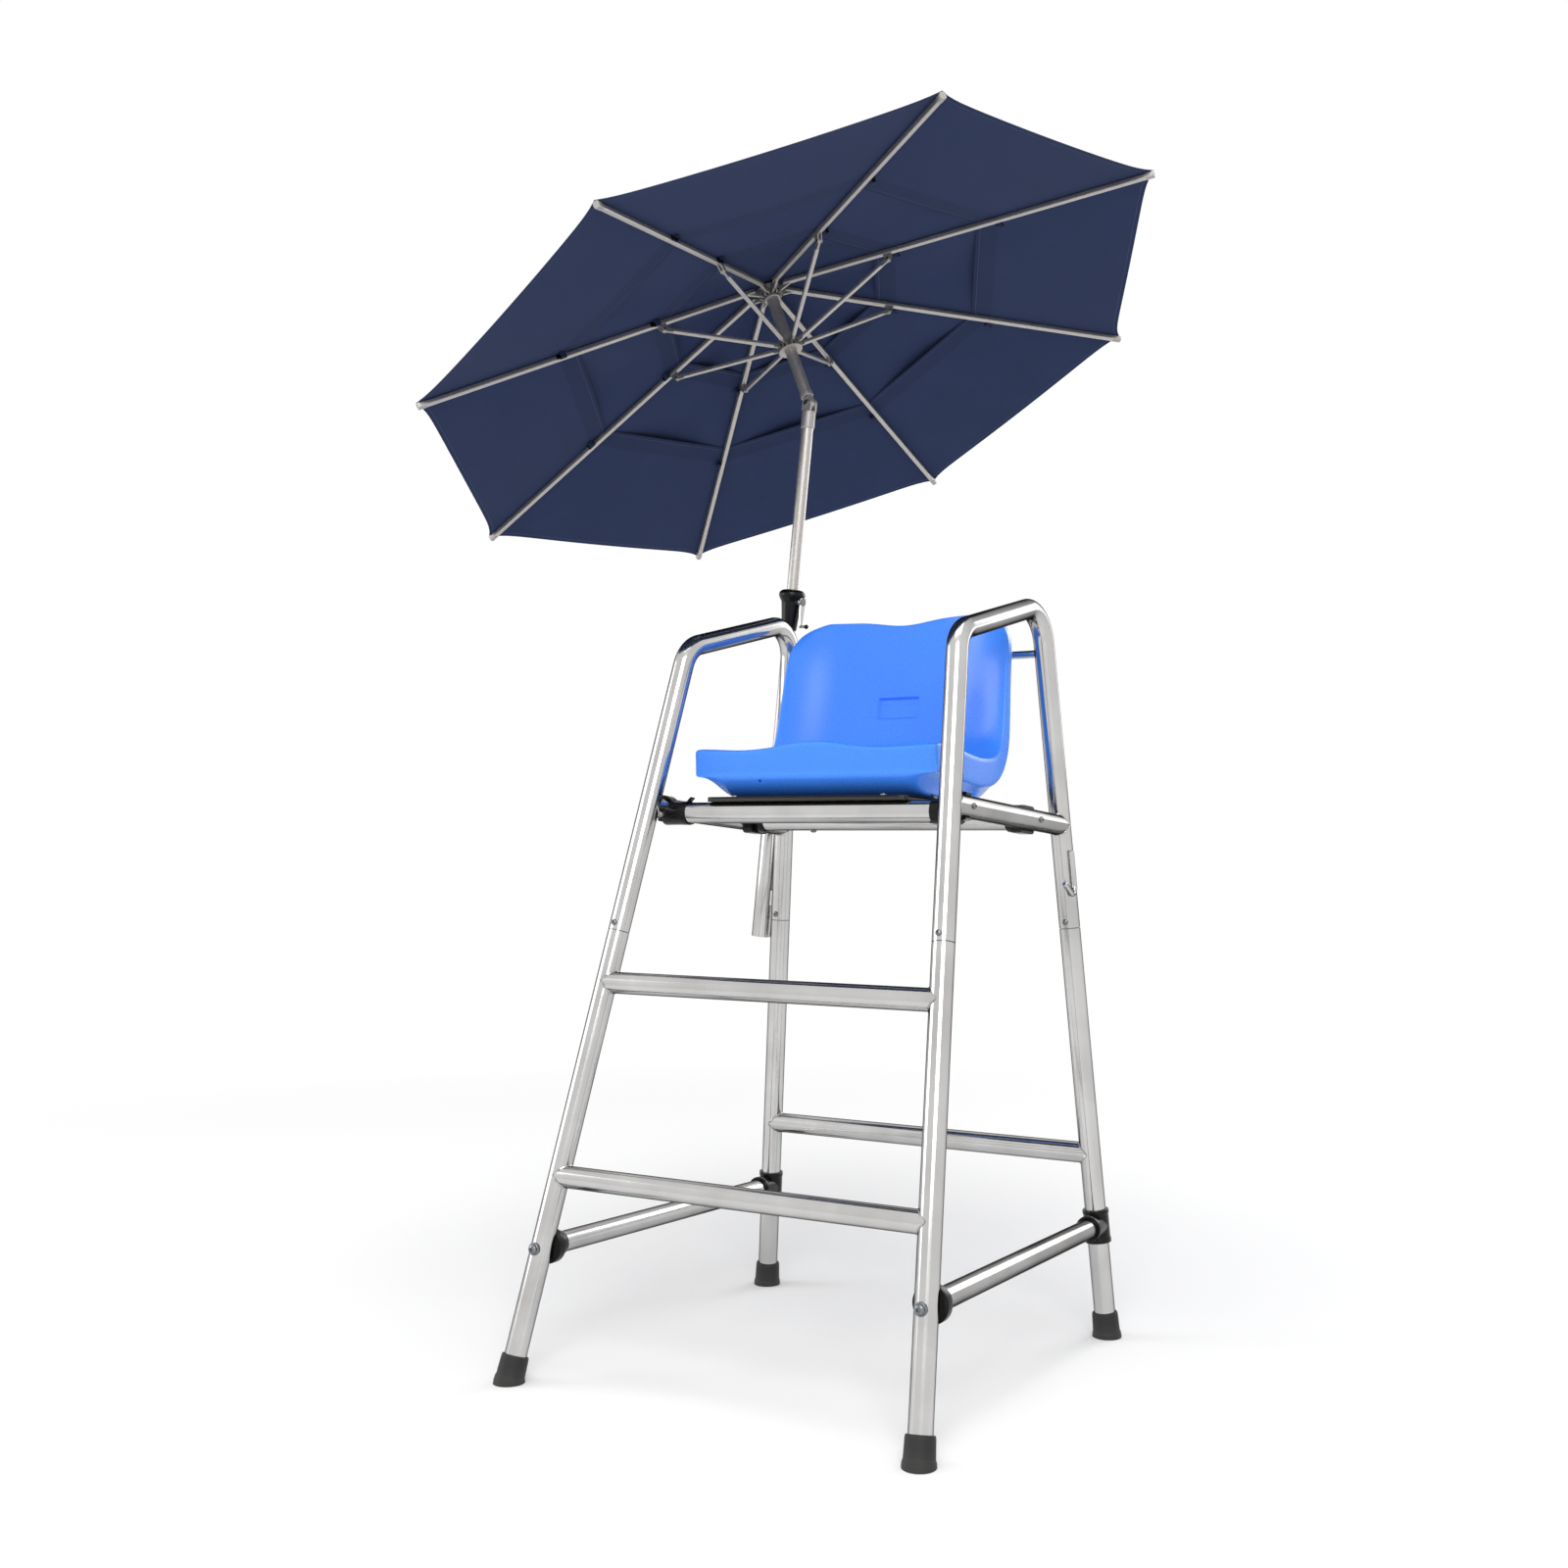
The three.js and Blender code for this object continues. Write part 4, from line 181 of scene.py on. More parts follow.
def polished_stainless():
    """Drawn 304 tube, belt polished round its girth: reflections run long and soft down the tube."""
    material, tree, shader = new_finish("Polished stainless tube", Metallic=1.0, Anisotropic=0.75)
    # Dark grey edge tint: painted darker reflection along the tube's sides, seen as dark lines down the tube
    shader.inputs["Specular Tint"].default_value = linear("#2E2E30")
    smears = noise(tree, 9, 3.0)
    colour = ramp(tree, smears, [(0.3, "#BBBAB9"), (0.7, "#CCCBCA")])
    tree.links.new(colour, shader.inputs["Base Color"])
    tree.links.new(ranged(tree, smears, 0.1, 0.17), shader.inputs["Roughness"])
    way = add(tree, "ShaderNodeAttribute", attribute_name="way").outputs["Vector"]
    grain = add(tree, "ShaderNodeVectorMath", {0: way, 1: (0.002, 0.001, 0.002)},
                operation="ADD").outputs["Vector"]
    turn = add(tree, "ShaderNodeVectorTransform", {"Vector": grain}, vector_type="VECTOR",
               convert_from="OBJECT", convert_to="WORLD")
    tree.links.new(turn.outputs["Vector"], shader.inputs["Tangent"])
    return material


def satin_aluminium():
    """Extruded aluminium, satin anodised: warm light grey with faint lengthwise die lines."""
    material, tree, shader = new_finish("Satin anodised aluminium", Metallic=0.85)
    grain = noise(tree, 260, 3.0)
    tree.links.new(ramp(tree, grain, [(0.3, "#AFABA7"), (0.7, "#C2BEBA")]), shader.inputs["Base Color"])
    tree.links.new(ranged(tree, grain, 0.34, 0.46), shader.inputs["Roughness"])
    bump(tree, shader, grain, 0.04, 0.0002)
    return material


def cast_aluminium():
    """Die-cast hub, runner and brackets: a duller, finely pitted grey."""
    material, tree, shader = new_finish("Die-cast aluminium", Metallic=0.8)
    pits = noise(tree, 700, 2.0)
    tree.links.new(ramp(tree, pits, [(0.3, "#A19E9A"), (0.7, "#B7B3AF")]), shader.inputs["Base Color"])
    tree.links.new(ranged(tree, pits, 0.4, 0.58), shader.inputs["Roughness"])
    bump(tree, shader, pits, 0.12, 0.0003)
    return material


def seat_polyethylene(colour):
    """Blow-moulded polyethylene: glossy, with the slight orange peel of a sand-blasted mould."""
    material, tree, shader = new_finish("Blow-moulded polyethylene", IOR=1.5)
    shader.inputs["Specular IOR Level"].default_value = 0.4
    shader.inputs["Coat Weight"].default_value = 0.15
    shader.inputs["Coat Roughness"].default_value = 0.12
    peel = noise(tree, 420, 2.0)
    cloudy = noise(tree, 14, 2.0)
    shade = add(tree, "ShaderNodeMix", {"Factor": ranged(tree, cloudy, 0.0, 0.14), 6: colour,
                7: linear("#3379F4")}, data_type="RGBA")
    tree.links.new(shade.outputs[2], shader.inputs["Base Color"])
    tree.links.new(ranged(tree, peel, 0.22, 0.34), shader.inputs["Roughness"])
    bump(tree, shader, peel, 0.1, 0.0003)
    return material


def black_polypropylene():
    """Injection-moulded polypropylene fittings with a fine spark-eroded grain."""
    material, tree, shader = new_finish("Moulded black polypropylene")
    shader.inputs["Specular IOR Level"].default_value = 0.22
    grain = noise(tree, 900, 2.0)
    tree.links.new(ramp(tree, grain, [(0.3, "#070708"), (0.7, "#0F0F10")]), shader.inputs["Base Color"])
    tree.links.new(ranged(tree, grain, 0.2, 0.32), shader.inputs["Roughness"])
    bump(tree, shader, grain, 0.1, 0.0002)
    return material


def black_rubber():
    """Compression-moulded rubber: matt black, a little dusty low down by the floor."""
    material, tree, shader = new_finish("Moulded black rubber")
    grain = noise(tree, 500, 3.0)
    height = add(tree, "ShaderNodeSeparateXYZ",
                 {0: add(tree, "ShaderNodeTexCoord").outputs["Object"]}).outputs["Z"]
    low = add(tree, "ShaderNodeMapRange", {"Value": height, "From Min": 0.0, "From Max": 0.03, "To Min": 0.4,
              "To Max": 0.0}).outputs["Result"]
    dust = add(tree, "ShaderNodeMath", {0: low, 1: grain}, operation="MULTIPLY").outputs["Value"]
    tree.links.new(ramp(tree, dust, [(0.0, "#151515"), (0.3, "#2E2D2B")]), shader.inputs["Base Color"])
    tree.links.new(ranged(tree, grain, 0.55, 0.8), shader.inputs["Roughness"])
    bump(tree, shader, grain, 0.15, 0.0003)
    return material


def powder_coat():
    """Steel plate with a black polyester powder coat, fine orange peel."""
    material, tree, shader = new_finish("Black powder coat")
    peel = noise(tree, 600, 1.0)
    tree.links.new(ramp(tree, peel, [(0.3, "#121213"), (0.7, "#1C1C1E")]), shader.inputs["Base Color"])
    tree.links.new(ranged(tree, peel, 0.42, 0.58), shader.inputs["Roughness"])
    bump(tree, shader, peel, 0.12, 0.0003)
    return material


def zinc_screw():
    """Zinc-plated screws and rivets: a darker grey metal than the tube."""
    material, tree, shader = new_finish("Zinc-plated fasteners", Metallic=1.0)
    spots = noise(tree, 300, 2.0)
    tree.links.new(ramp(tree, spots, [(0.3, "#6C6F72"), (0.7, "#888B8E")]), shader.inputs["Base Color"])
    tree.links.new(ranged(tree, spots, 0.25, 0.4), shader.inputs["Roughness"])
    return material


def canopy_polyester(colour):
    """Woven polyester with a coating: threads drawn at 1.6 mm so that they show, twin stitch rows at each
    hem, and painted shade on the folded hems and where two tiers lap, for the light that comes through less
    there."""
    material, tree, shader = new_finish("Navy woven polyester", Roughness=0.85)
    shader.inputs["Sheen Weight"].default_value = 0.02
    shader.inputs["Specular IOR Level"].default_value = 0.1
    place = add(tree, "ShaderNodeUVMap", uv_map="UVMap").outputs["UV"]
    threads = []
    for axis in ("X", "Y"):
        wave = add(tree, "ShaderNodeTexWave",
                   {"Vector": place, "Scale": 196.0, "Distortion": 0.6, "Detail": 1.0},
                   wave_type="BANDS", bands_direction=axis)
        threads.append(wave.outputs["Fac"])
    weave = add(tree, "ShaderNodeMath", {0: threads[0], 1: threads[1]},
                operation="MULTIPLY").outputs["Value"]
    cloudy = noise(tree, 7, 3.0, place)
    hem = add(tree, "ShaderNodeAttribute", attribute_name="hem").outputs["Fac"]
    row = add(tree, "ShaderNodeMath", {0: hem, 1: 0.009}, operation="COMPARE")
    row.inputs[2].default_value = 0.0007
    along = add(tree, "ShaderNodeSeparateXYZ", {0: place}).outputs["X"]
    dash = add(tree, "ShaderNodeMath", {0: along, 1: 0.006}, operation="FLOORED_MODULO").outputs["Value"]
    dashed = add(tree, "ShaderNodeMath", {0: dash, 1: 0.0042}, operation="LESS_THAN").outputs["Value"]
    stitch = add(tree, "ShaderNodeMath", {0: row.outputs["Value"], 1: dashed},
                 operation="MULTIPLY").outputs["Value"]
    # Painted shade: the count of extra cloth layers at the folded hems and the tier laps darkens the base colour
    layers = add(tree, "ShaderNodeMath", {0: hem, 1: 0.012}, operation="LESS_THAN").outputs["Value"]
    run = add(tree, "ShaderNodeSeparateXYZ", {0: place}).outputs["Y"]
    for edge in TIER_EDGES[:-1]:
        lap = add(tree, "ShaderNodeMath", {0: run, 1: (edge * RIB_LENGTH - TIER_LAP / 2) * MM},
                  operation="COMPARE")
        lap.inputs[2].default_value = TIER_LAP / 2 * MM
        layers = add(tree, "ShaderNodeMath", {0: layers, 1: lap.outputs["Value"]},
                     operation="ADD").outputs["Value"]
    dark = [c * 0.82 for c in colour[:3]] + [1]
    single = add(tree, "ShaderNodeMix", {"Factor": cloudy, 6: dark, 7: colour}, data_type="RGBA").outputs[2]
    painted_lap_shade = add(tree, "ShaderNodeMapRange",
                {"Value": layers, "From Max": 2.0, "To Max": 0.4}).outputs["Result"]
    # The dark navy is the colour of the painted shade on hems and laps
    cloth = add(tree, "ShaderNodeMix", {"Factor": painted_lap_shade, 6: single, 7: linear("#161D30")},
                data_type="RGBA").outputs[2]
    shaded = add(tree, "ShaderNodeMix", {"Factor": ranged(tree, weave, 0.0, 0.1), 6: cloth,
                 7: linear("#4A5A80")}, data_type="RGBA").outputs[2]
    sewn = add(tree, "ShaderNodeMix", {"Factor": stitch, 6: shaded, 7: linear("#46547A")},
               data_type="RGBA").outputs[2]
    tree.links.new(sewn, shader.inputs["Base Color"])
    bump(tree, shader, weave, 0.3, 0.0003)
    return material


# Shapes

def row_mesh(bm):
    """Turns a bmesh in millimetres into a plain mesh in the row frame, closed and facing out."""
    bmesh.ops.remove_doubles(bm, verts=bm.verts, dist=0.01)
    bmesh.ops.dissolve_degenerate(bm, edges=bm.edges, dist=0.005)
    bmesh.ops.recalc_face_normals(bm, faces=bm.faces)
    bm.transform(TO_ROW)
    mesh = bpy.data.meshes.new("shape")
    bm.to_mesh(mesh)
    bm.free()
    return mesh


def mesh_from(points, faces, matrix=Matrix()):
    bm = bmesh.new()
    corners = [bm.verts.new(matrix @ Vector(point)) for point in points]
    for face in faces:
        bm.faces.new([corners[i] for i in face])
    return row_mesh(bm)


def frame_of(origin, x_direction, z_direction):
    """The matrix of a frame with a given origin, X (made square) and Z."""
    z = z_direction.normalized()
    y = z.cross(x_direction).normalized()
    x = y.cross(z)
    return Matrix.Translation(origin) @ Matrix((x, y, z)).transposed().to_4x4()


def softened(outline, radius, steps=4, closed=False):
    """An outline with its corners rounded."""
    points = [Vector(p) for p in outline]
    count = len(points)
    out = []
    for i, corner in enumerate(points):
        if not closed and i in (0, count - 1):
            out.append(corner)
            continue
        before, after = points[i - 1] - corner, points[(i + 1) % count] - corner
        reach = min(radius, before.length * 0.45, after.length * 0.45)
        start, end = corner + before.normalized() * reach, corner + after.normalized() * reach
        for step in range(steps + 1):
            t = step / steps
            out.append(start * (1 - t) ** 2 + corner * (2 * t * (1 - t)) + end * t * t)
    return out


def rings(rows, closed_rows=False):
    """Faces between rows of points that close round."""
    count, sides = len(rows), len(rows[0])
    faces = []
    for i in range(count if closed_rows else count - 1):
        j = (i + 1) % count
        faces += [(i * sides + k, i * sides + (k + 1) % sides, j * sides + (k + 1) % sides, j * sides + k)
                  for k in range(sides)]
    return faces


def turned(start, end, profile, soft=0.0, sides=48, steps=3, closed=False):
    """A shape turned about the line from start to end, from pairs of radius and distance along it."""
    outline = softened(profile, soft, steps, closed) if soft else [Vector(p) for p in profile]
    axis = (end - start).normalized()
    aside = axis.orthogonal().normalized()
    other = axis.cross(aside)
    spokes = [aside * math.cos(2 * math.pi * k / sides) + other * math.sin(2 * math.pi * k / sides)
              for k in range(sides)]
    rows = [[start + axis * height + spoke * max(radius, 0) for spoke in spokes] for radius,
            height in outline]
    bm = bmesh.new()
    corners = [bm.verts.new(point) for row in rows for point in row]
    for face in rings(rows, closed):
        bm.faces.new([corners[i] for i in face])
    return row_mesh(bm)


def prism(outline, low, high, matrix, bevel=0.6):
    """An outline in X and Y between two heights, with its edges eased."""
    bm = bmesh.new()
    foot, top = ([bm.verts.new((x, y, z)) for x, y in outline] for z in (low, high))
    count = len(outline)
    bm.faces.new(foot[::-1])
    bm.faces.new(top)
    for k in range(count):
        j = (k + 1) % count
        bm.faces.new((foot[k], foot[j], top[j], top[k]))
    edges = [e for e in bm.edges if e.calc_face_angle(0) > 0.6]
    if bevel:
        bmesh.ops.bevel(bm, geom=edges, offset=bevel, segments=2, profile=0.7, affect="EDGES",
                        clamp_overlap=True)
    bm.transform(matrix)
    return row_mesh(bm)


def rectangle(width, height, corner=0.0, steps=5):
    w, h = width / 2, height / 2
    outline = [(-w, -h), (w, -h), (w, h), (-w, h)]
    return softened(outline, corner, steps, closed=True) if corner else outline


def block(size, matrix, bevel=0.8):
    return prism(rectangle(size[0], size[1]), -size[2] / 2, size[2] / 2, matrix, bevel)


def evaluated(mesh, tree, inputs):
    """The plain mesh that a geometry node tree makes of another one."""
    holder = bpy.data.objects.new("holder", mesh)
    bpy.context.scene.collection.objects.link(holder)
    modifier = holder.modifiers.new("Shape", "NODES")
    modifier.node_group = tree
    for item in tree.interface.items_tree:
        if item.item_type == "SOCKET" and item.in_out == "INPUT" and item.name in inputs:
            modifier[item.identifier] = inputs[item.name]
    bpy.context.view_layer.update()
    made = bpy.data.meshes.new_from_object(holder.evaluated_get(bpy.context.evaluated_depsgraph_get()))
    bpy.data.objects.remove(holder)
    return made


def new_tree(name, sockets):
    """A geometry tree with named inputs; returns the tree and its input node."""
    tree = bpy.data.node_groups.new(name, "GeometryNodeTree")
    tree.interface.new_socket("Geometry", in_out="OUTPUT", socket_type="NodeSocketGeometry")
    for label, kind in [("Geometry", "Geometry"), *sockets]:
        tree.interface.new_socket(label, in_out="INPUT", socket_type=f"NodeSocket{kind}")
    return tree, add(tree, "NodeGroupInput")


def close_tree(tree, geometry, material):
    real = add(tree, "GeometryNodeRealizeInstances", {"Geometry": geometry})
    painted = add(tree, "GeometryNodeSetMaterial", {"Geometry": real.outputs[0], "Material": material})
    add(tree, "NodeGroupOutput", {"Geometry": painted.outputs[0]})
    return tree


def tube_tree():
    """Bends a round tube along paths; keeps the path's direction for the polish."""
    tree, given = new_tree("Tube along a path", [
        ("Radius", "Float"), ("Sides", "Int"), ("Bend Radius", "Float"), ("Bend Steps", "Int"),
        ("Material", "Material")])
    curve = add(tree, "GeometryNodeMeshToCurve", {"Mesh": given.outputs["Geometry"]}).outputs[0]
    bent = add(tree, "GeometryNodeFilletCurve", {"Curve": curve, "Radius": given.outputs["Bend Radius"],
               "Count": given.outputs["Bend Steps"], "Limit Radius": True}, mode="POLY").outputs[0]
    capture = add(tree, "GeometryNodeCaptureAttribute")
    capture.capture_items.new("VECTOR", "way")
    tree.links.new(bent, capture.inputs["Geometry"])
    tree.links.new(add(tree, "GeometryNodeInputTangent").outputs[0], capture.inputs[1])
    ring = add(tree, "GeometryNodeCurvePrimitiveCircle", {"Resolution": given.outputs["Sides"],
               "Radius": given.outputs["Radius"]}).outputs[0]
    skin = add(tree, "GeometryNodeCurveToMesh", {"Curve": capture.outputs["Geometry"], "Profile Curve": ring,
               "Fill Caps": True}).outputs[0]
    kept = add(tree, "GeometryNodeStoreNamedAttribute", {"Geometry": skin, "Name": "way",
               "Value": capture.outputs[1]}, data_type="FLOAT_VECTOR", domain="POINT").outputs[0]
    return close_tree(tree, kept, given.outputs["Material"])


def section_tree():
    """Extrudes a rectangular section with round corners along straight paths on X."""
    tree, given = new_tree("Box section along a path", [
        ("Width", "Float"), ("Depth", "Float"), ("Corner", "Float"), ("Material", "Material")])
    curve = add(tree, "GeometryNodeMeshToCurve", {"Mesh": given.outputs["Geometry"]}).outputs[0]
    level = add(tree, "GeometryNodeSetCurveNormal", {"Curve": curve}, mode="Z_UP").outputs[0]
    outline = add(tree, "GeometryNodeCurvePrimitiveQuadrilateral", {"Width": given.outputs["Width"],
                  "Height": given.outputs["Depth"]}).outputs[0]
    rounded = add(tree, "GeometryNodeFilletCurve",
                  {"Curve": outline, "Radius": given.outputs["Corner"], "Count": 4,
                  "Limit Radius": True}, mode="POLY").outputs[0]
    skin = add(tree, "GeometryNodeCurveToMesh",
               {"Curve": level, "Profile Curve": rounded, "Fill Caps": True}).outputs[0]
    return close_tree(tree, skin, given.outputs["Material"])


def fastener_tree():
    """Sets a screw head on each point, facing along the point's outward attribute."""
    tree, given = new_tree("Fasteners on seats",
                           [("Head", "Object"), ("Scale", "Float"), ("Material", "Material")])
    head = add(tree, "GeometryNodeObjectInfo",
               {"Object": given.outputs["Head"], "As Instance": True}).outputs["Geometry"]
    outward = add(tree, "GeometryNodeInputNamedAttribute", {"Name": "outward"},
                  data_type="FLOAT_VECTOR").outputs[0]
    turn = add(tree, "FunctionNodeAlignRotationToVector", {"Vector": outward}, axis="Z").outputs[0]
    points = add(tree, "GeometryNodeMeshToPoints", {"Mesh": given.outputs["Geometry"]}).outputs[0]
    heads = add(tree, "GeometryNodeInstanceOnPoints", {"Points": points, "Instance": head, "Rotation": turn,
                "Scale": given.outputs["Scale"]}).outputs[0]
    return close_tree(tree, heads, given.outputs["Material"])


def tubes(paths, radius, material, sides=40, bend=0.0, steps=24, closed=False):
    """Round tubes along several paths of points in millimetres."""
    points, edges = [], []
    for path in paths:
        first = len(points)
        points += [TO_ROW @ Vector(p) for p in path]
        edges += [(first + k, first + k + 1) for k in range(len(path) - 1)]
        if closed:
            edges.append((len(points) - 1, first))
    mesh = bpy.data.meshes.new("paths")
    mesh.from_pydata(points, edges, [])
    return evaluated(mesh, tree_of("tube"), {"Radius": radius * MM, "Sides": sides, "Bend Radius": bend * MM,
                     "Bend Steps": steps, "Material": material})


def box_section(start, end, width, depth, corner, material):
    """A box-section bar along X in its own frame, in millimetres."""
    mesh = bpy.data.meshes.new("path")
    mesh.from_pydata([(start * MM, 0, 0), (end * MM, 0, 0)], [(0, 1)], [])
    made = evaluated(mesh, tree_of("section"),
                     {"Width": width * MM, "Depth": depth * MM, "Corner": corner * MM,
                     "Material": material})
    made.transform(Matrix.Scale(1 / MM, 4))
    return made


def fasteners(seats, head_mesh, material, scale=1.0):
    """Screw heads at pairs of place and outward direction in the chair's frame."""
    mesh = bpy.data.meshes.new("seats")
    mesh.from_pydata([TO_ROW @ place for place, _ in seats], [], [])
    outward = mesh.attributes.new("outward", "FLOAT_VECTOR", "POINT")
    for item, (_, direction) in zip(outward.data, seats):
        item.vector = direction.normalized()
    template = bpy.data.objects.new("head", head_mesh)
    bpy.context.scene.collection.objects.link(template)
    made = evaluated(mesh, tree_of("fastener"), {"Head": template, "Scale": scale, "Material": material})
    bpy.data.objects.remove(template)
    return made


TREES = {}


def tree_of(kind):
    makers = {"tube": tube_tree, "section": section_tree, "fastener": fastener_tree}
    if kind not in TREES:
        TREES[kind] = makers[kind]()
    return TREES[kind]


def screw_head(diameter, height, socket):
    """Button head with a hex socket, its seat at the origin and facing +Z, in metres."""
    r = diameter / 2
    dome = [(r * math.cos(a),
             height * (0.3 + 0.7 * math.sin(a))) for a in (i * math.pi / 16 for i in range(7))]
    profile = [(0, -height * 0.3), (r, -height * 0.3), *dome, (socket, height * 0.98),
               (socket, height * 0.45),
               (0, height * 0.4)]
    mesh = turned(Vector(), UP, profile, sides=24)
    mesh.transform(Matrix.Translation(-CHAIR_ORIGIN * MM))
    return mesh


def painted(mesh, material):
    mesh.materials.clear()
    mesh.materials.append(material)
    return mesh


def piece(name, meshes, body, nodes=(), sharp=32):
    """Joins plain meshes into one piece at the origin that rides on a body and stands for CAD nodes."""
    objects = []
    for mesh in meshes:
        part = bpy.data.objects.new(name, mesh)
        bpy.context.scene.collection.objects.link(part)
        objects.append(part)
    made = objects[0]
    if len(objects) > 1:
        with bpy.context.temp_override(active_object=made, selected_editable_objects=objects,
                                       selected_objects=objects):
            bpy.ops.object.join()
    made.name = name
    made.data.name = name
    made.data.shade_smooth()
    made.data.set_sharp_from_angle(angle=math.radians(sharp))
    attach(made, body)
    if nodes:
        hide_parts(*nodes)
    return made


# Places on the chair

def leg_at(side, row, height):
    """The middle of a leg at a height."""
    low, high = LEG_ENDS[row]
    point = low.lerp(high, (height - low.z) / (high.z - low.z))
    return Vector((point.x * SIDES[side], point.y, point.z))


def leg_pair(side, heights):
    """The places on the front and the rear leg of a side at two heights."""
    return [leg_at(side, row, height) for row, height in zip(("front", "rear"), heights)]


def leg_up(side, row):
    return (leg_at(side, row, 1) - leg_at(side, row, 0)).normalized()


def towards(start, end, distance):
    return start + (end - start).normalized() * distance


def rail_at(side, y):
    front, rear = leg_pair(side, SIDE_RAIL_HEIGHTS)
    return front.lerp(rear, (y - front.y) / (rear.y - front.y))


def cross_rail_end(side, row):
    """Where the front or rear seat rail's axis meets the plane of a side rail."""
    if row == "front":
        return rail_at(side, FRONT_RAIL_Y) - UP * FRONT_RAIL_DROP
    return rail_at(side, REAR_RAIL_Y)


def weld(bar_from, bar_to, radius, leg_axis, leg_radius):
    """The line where a bar's skin runs into a leg's skin, at the bar's first end."""
    along = (bar_to - bar_from).normalized()
    across = along.cross(leg_axis).normalized()
    lift = across.cross(along)
    lean = leg_axis.dot(along) / leg_axis.dot(lift)
    points = []
    for k in range(WELD_STEPS):
        angle = 2 * math.pi * k / WELD_STEPS
        y, z = radius * math.cos(angle), radius * math.sin(angle)
        depth = math.sqrt(max(leg_radius ** 2 - min(y ** 2, leg_radius ** 2),
                              0)) / math.sqrt(1 - leg_axis.dot(along) ** 2)
        points.append(bar_from + across * y + lift * z + along * (depth + z * lean))
    return points


MAST_UP = (TILT_PIVOT - MAST_FOOT).normalized()
HEAD_UP = Vector((math.sin(UPPER_LEAN) * math.cos(UPPER_LEAN_HEADING),
                  math.sin(UPPER_LEAN) * math.sin(UPPER_LEAN_HEADING), math.cos(UPPER_LEAN)))
HINGE = MAST_UP.cross(HEAD_UP).normalized()
MAST = frame_of(TILT_PIVOT, HINGE, MAST_UP)
HEAD = frame_of(TILT_PIVOT, HINGE, HEAD_UP)
RIB_OUT = Vector((math.sin(RIB_ANGLE), 0, -math.cos(RIB_ANGLE)))
RIB_UP = Vector((math.cos(RIB_ANGLE), 0, math.sin(RIB_ANGLE)))
RIB_PIVOT_RUN = (PIVOT_RADIUS + RIB_PIVOT_DROP * math.cos(RIB_ANGLE)) / math.sin(RIB_ANGLE)
RIB_PIVOT = RIB_OUT * RIB_PIVOT_RUN - RIB_UP * RIB_PIVOT_DROP
STRUT_PIVOT = RIB_OUT * STRUT_REACH - RIB_UP * STRUT_DROP
RUNNER_PIVOT = Vector((PIVOT_RADIUS, 0, 2 * STRUT_PIVOT.z - RIB_PIVOT.z))
HUB_CENTRE = CROWN_HEIGHT + RIB_PIVOT.z
RUNNER_CENTRE = CROWN_HEIGHT + RUNNER_PIVOT.z


def standing(offset=0.0, facing=-1):
    """Stands an outline up in X and Z, at a distance along Y."""
    return Matrix(((1, 0, 0, 0), (0, 0, facing, offset), (0, 1, 0, 0), (0, 0, 0, 1)))


def rib_heading(index):
    return RIB_PHASE + 2 * math.pi * index / RIB_COUNT


def rib_plane(index):
    """The frame at the crown with X out over a rib and Z up the pole."""
    return HEAD @ Matrix.Translation(UP * CROWN_HEIGHT) @ Matrix.Rotation(rib_heading(index), 4, "Z")


def rib_frame(index):
    return rib_plane(index) @ frame_of(Vector(), RIB_OUT, RIB_UP)


# Settings

class ChairFinishes(bpy.types.PropertyGroup):
    seat_colour: FloatVectorProperty(name="Seat", description="Colour of the moulded seat", subtype="COLOR",
                                     size=4,
                                     default=linear("#418CFF"), min=0, max=1)
    cloth_colour: FloatVectorProperty(name="Canopy", description="Colour of the canopy cloth",
                                      subtype="COLOR", size=4,
                                      default=linear("#2C3757"), min=0, max=1)


class FrameSettings(bpy.types.PropertyGroup):
    bend_steps: IntProperty(name="Bend steps", description="Steps round each bend of a tube", default=24,
                            min=4, max=64)
    weld_bead: FloatProperty(name="Weld bead", description="Radius of the weld beads", default=0.0017,
                             min=0.0,
                             max=0.005, unit="LENGTH")


class CanopySettings(bpy.types.PropertyGroup):
    sag: FloatProperty(name="Sag", description="How far the cloth hangs in between two ribs at the hem",
                       default=0.006,
                       min=0.0, max=0.05, unit="LENGTH")
    thickness: FloatProperty(name="Cloth", description="Thickness of the cloth", default=0.0009, min=0.0002,
                             max=0.003,
                             unit="LENGTH")


class StageSettings(bpy.types.PropertyGroup):
    lens: FloatProperty(name="Lens", description="Focal length of the camera", default=41.16, min=10,
                        max=200,
                        unit="CAMERA")
    floor_radius: FloatProperty(name="Floor", description="Radius of the floor disc", default=4.0, min=2,
                                max=50,
                                unit="LENGTH")


FINISHES = {}


def finish(kind):
    """One of the chair's finishes, made on first use."""
    colours = bpy.context.scene.lifeguard_finishes
    makers = {
        "stainless": polished_stainless, "aluminium": satin_aluminium, "cast": cast_aluminium,
        "plastic": black_polypropylene, "rubber": black_rubber, "coat": powder_coat, "zinc": zinc_screw,
        "seat": lambda: seat_polyethylene(list(colours.seat_colour)),
        "cloth": lambda: canopy_polyester(list(colours.cloth_colour)),
    }
    if kind not in FINISHES:
        FINISHES[kind] = makers[kind]()
    return FINISHES[kind]


# Operators
# Profiles are pairs of a radius and a distance along the axis, outlines are pairs of X and Y

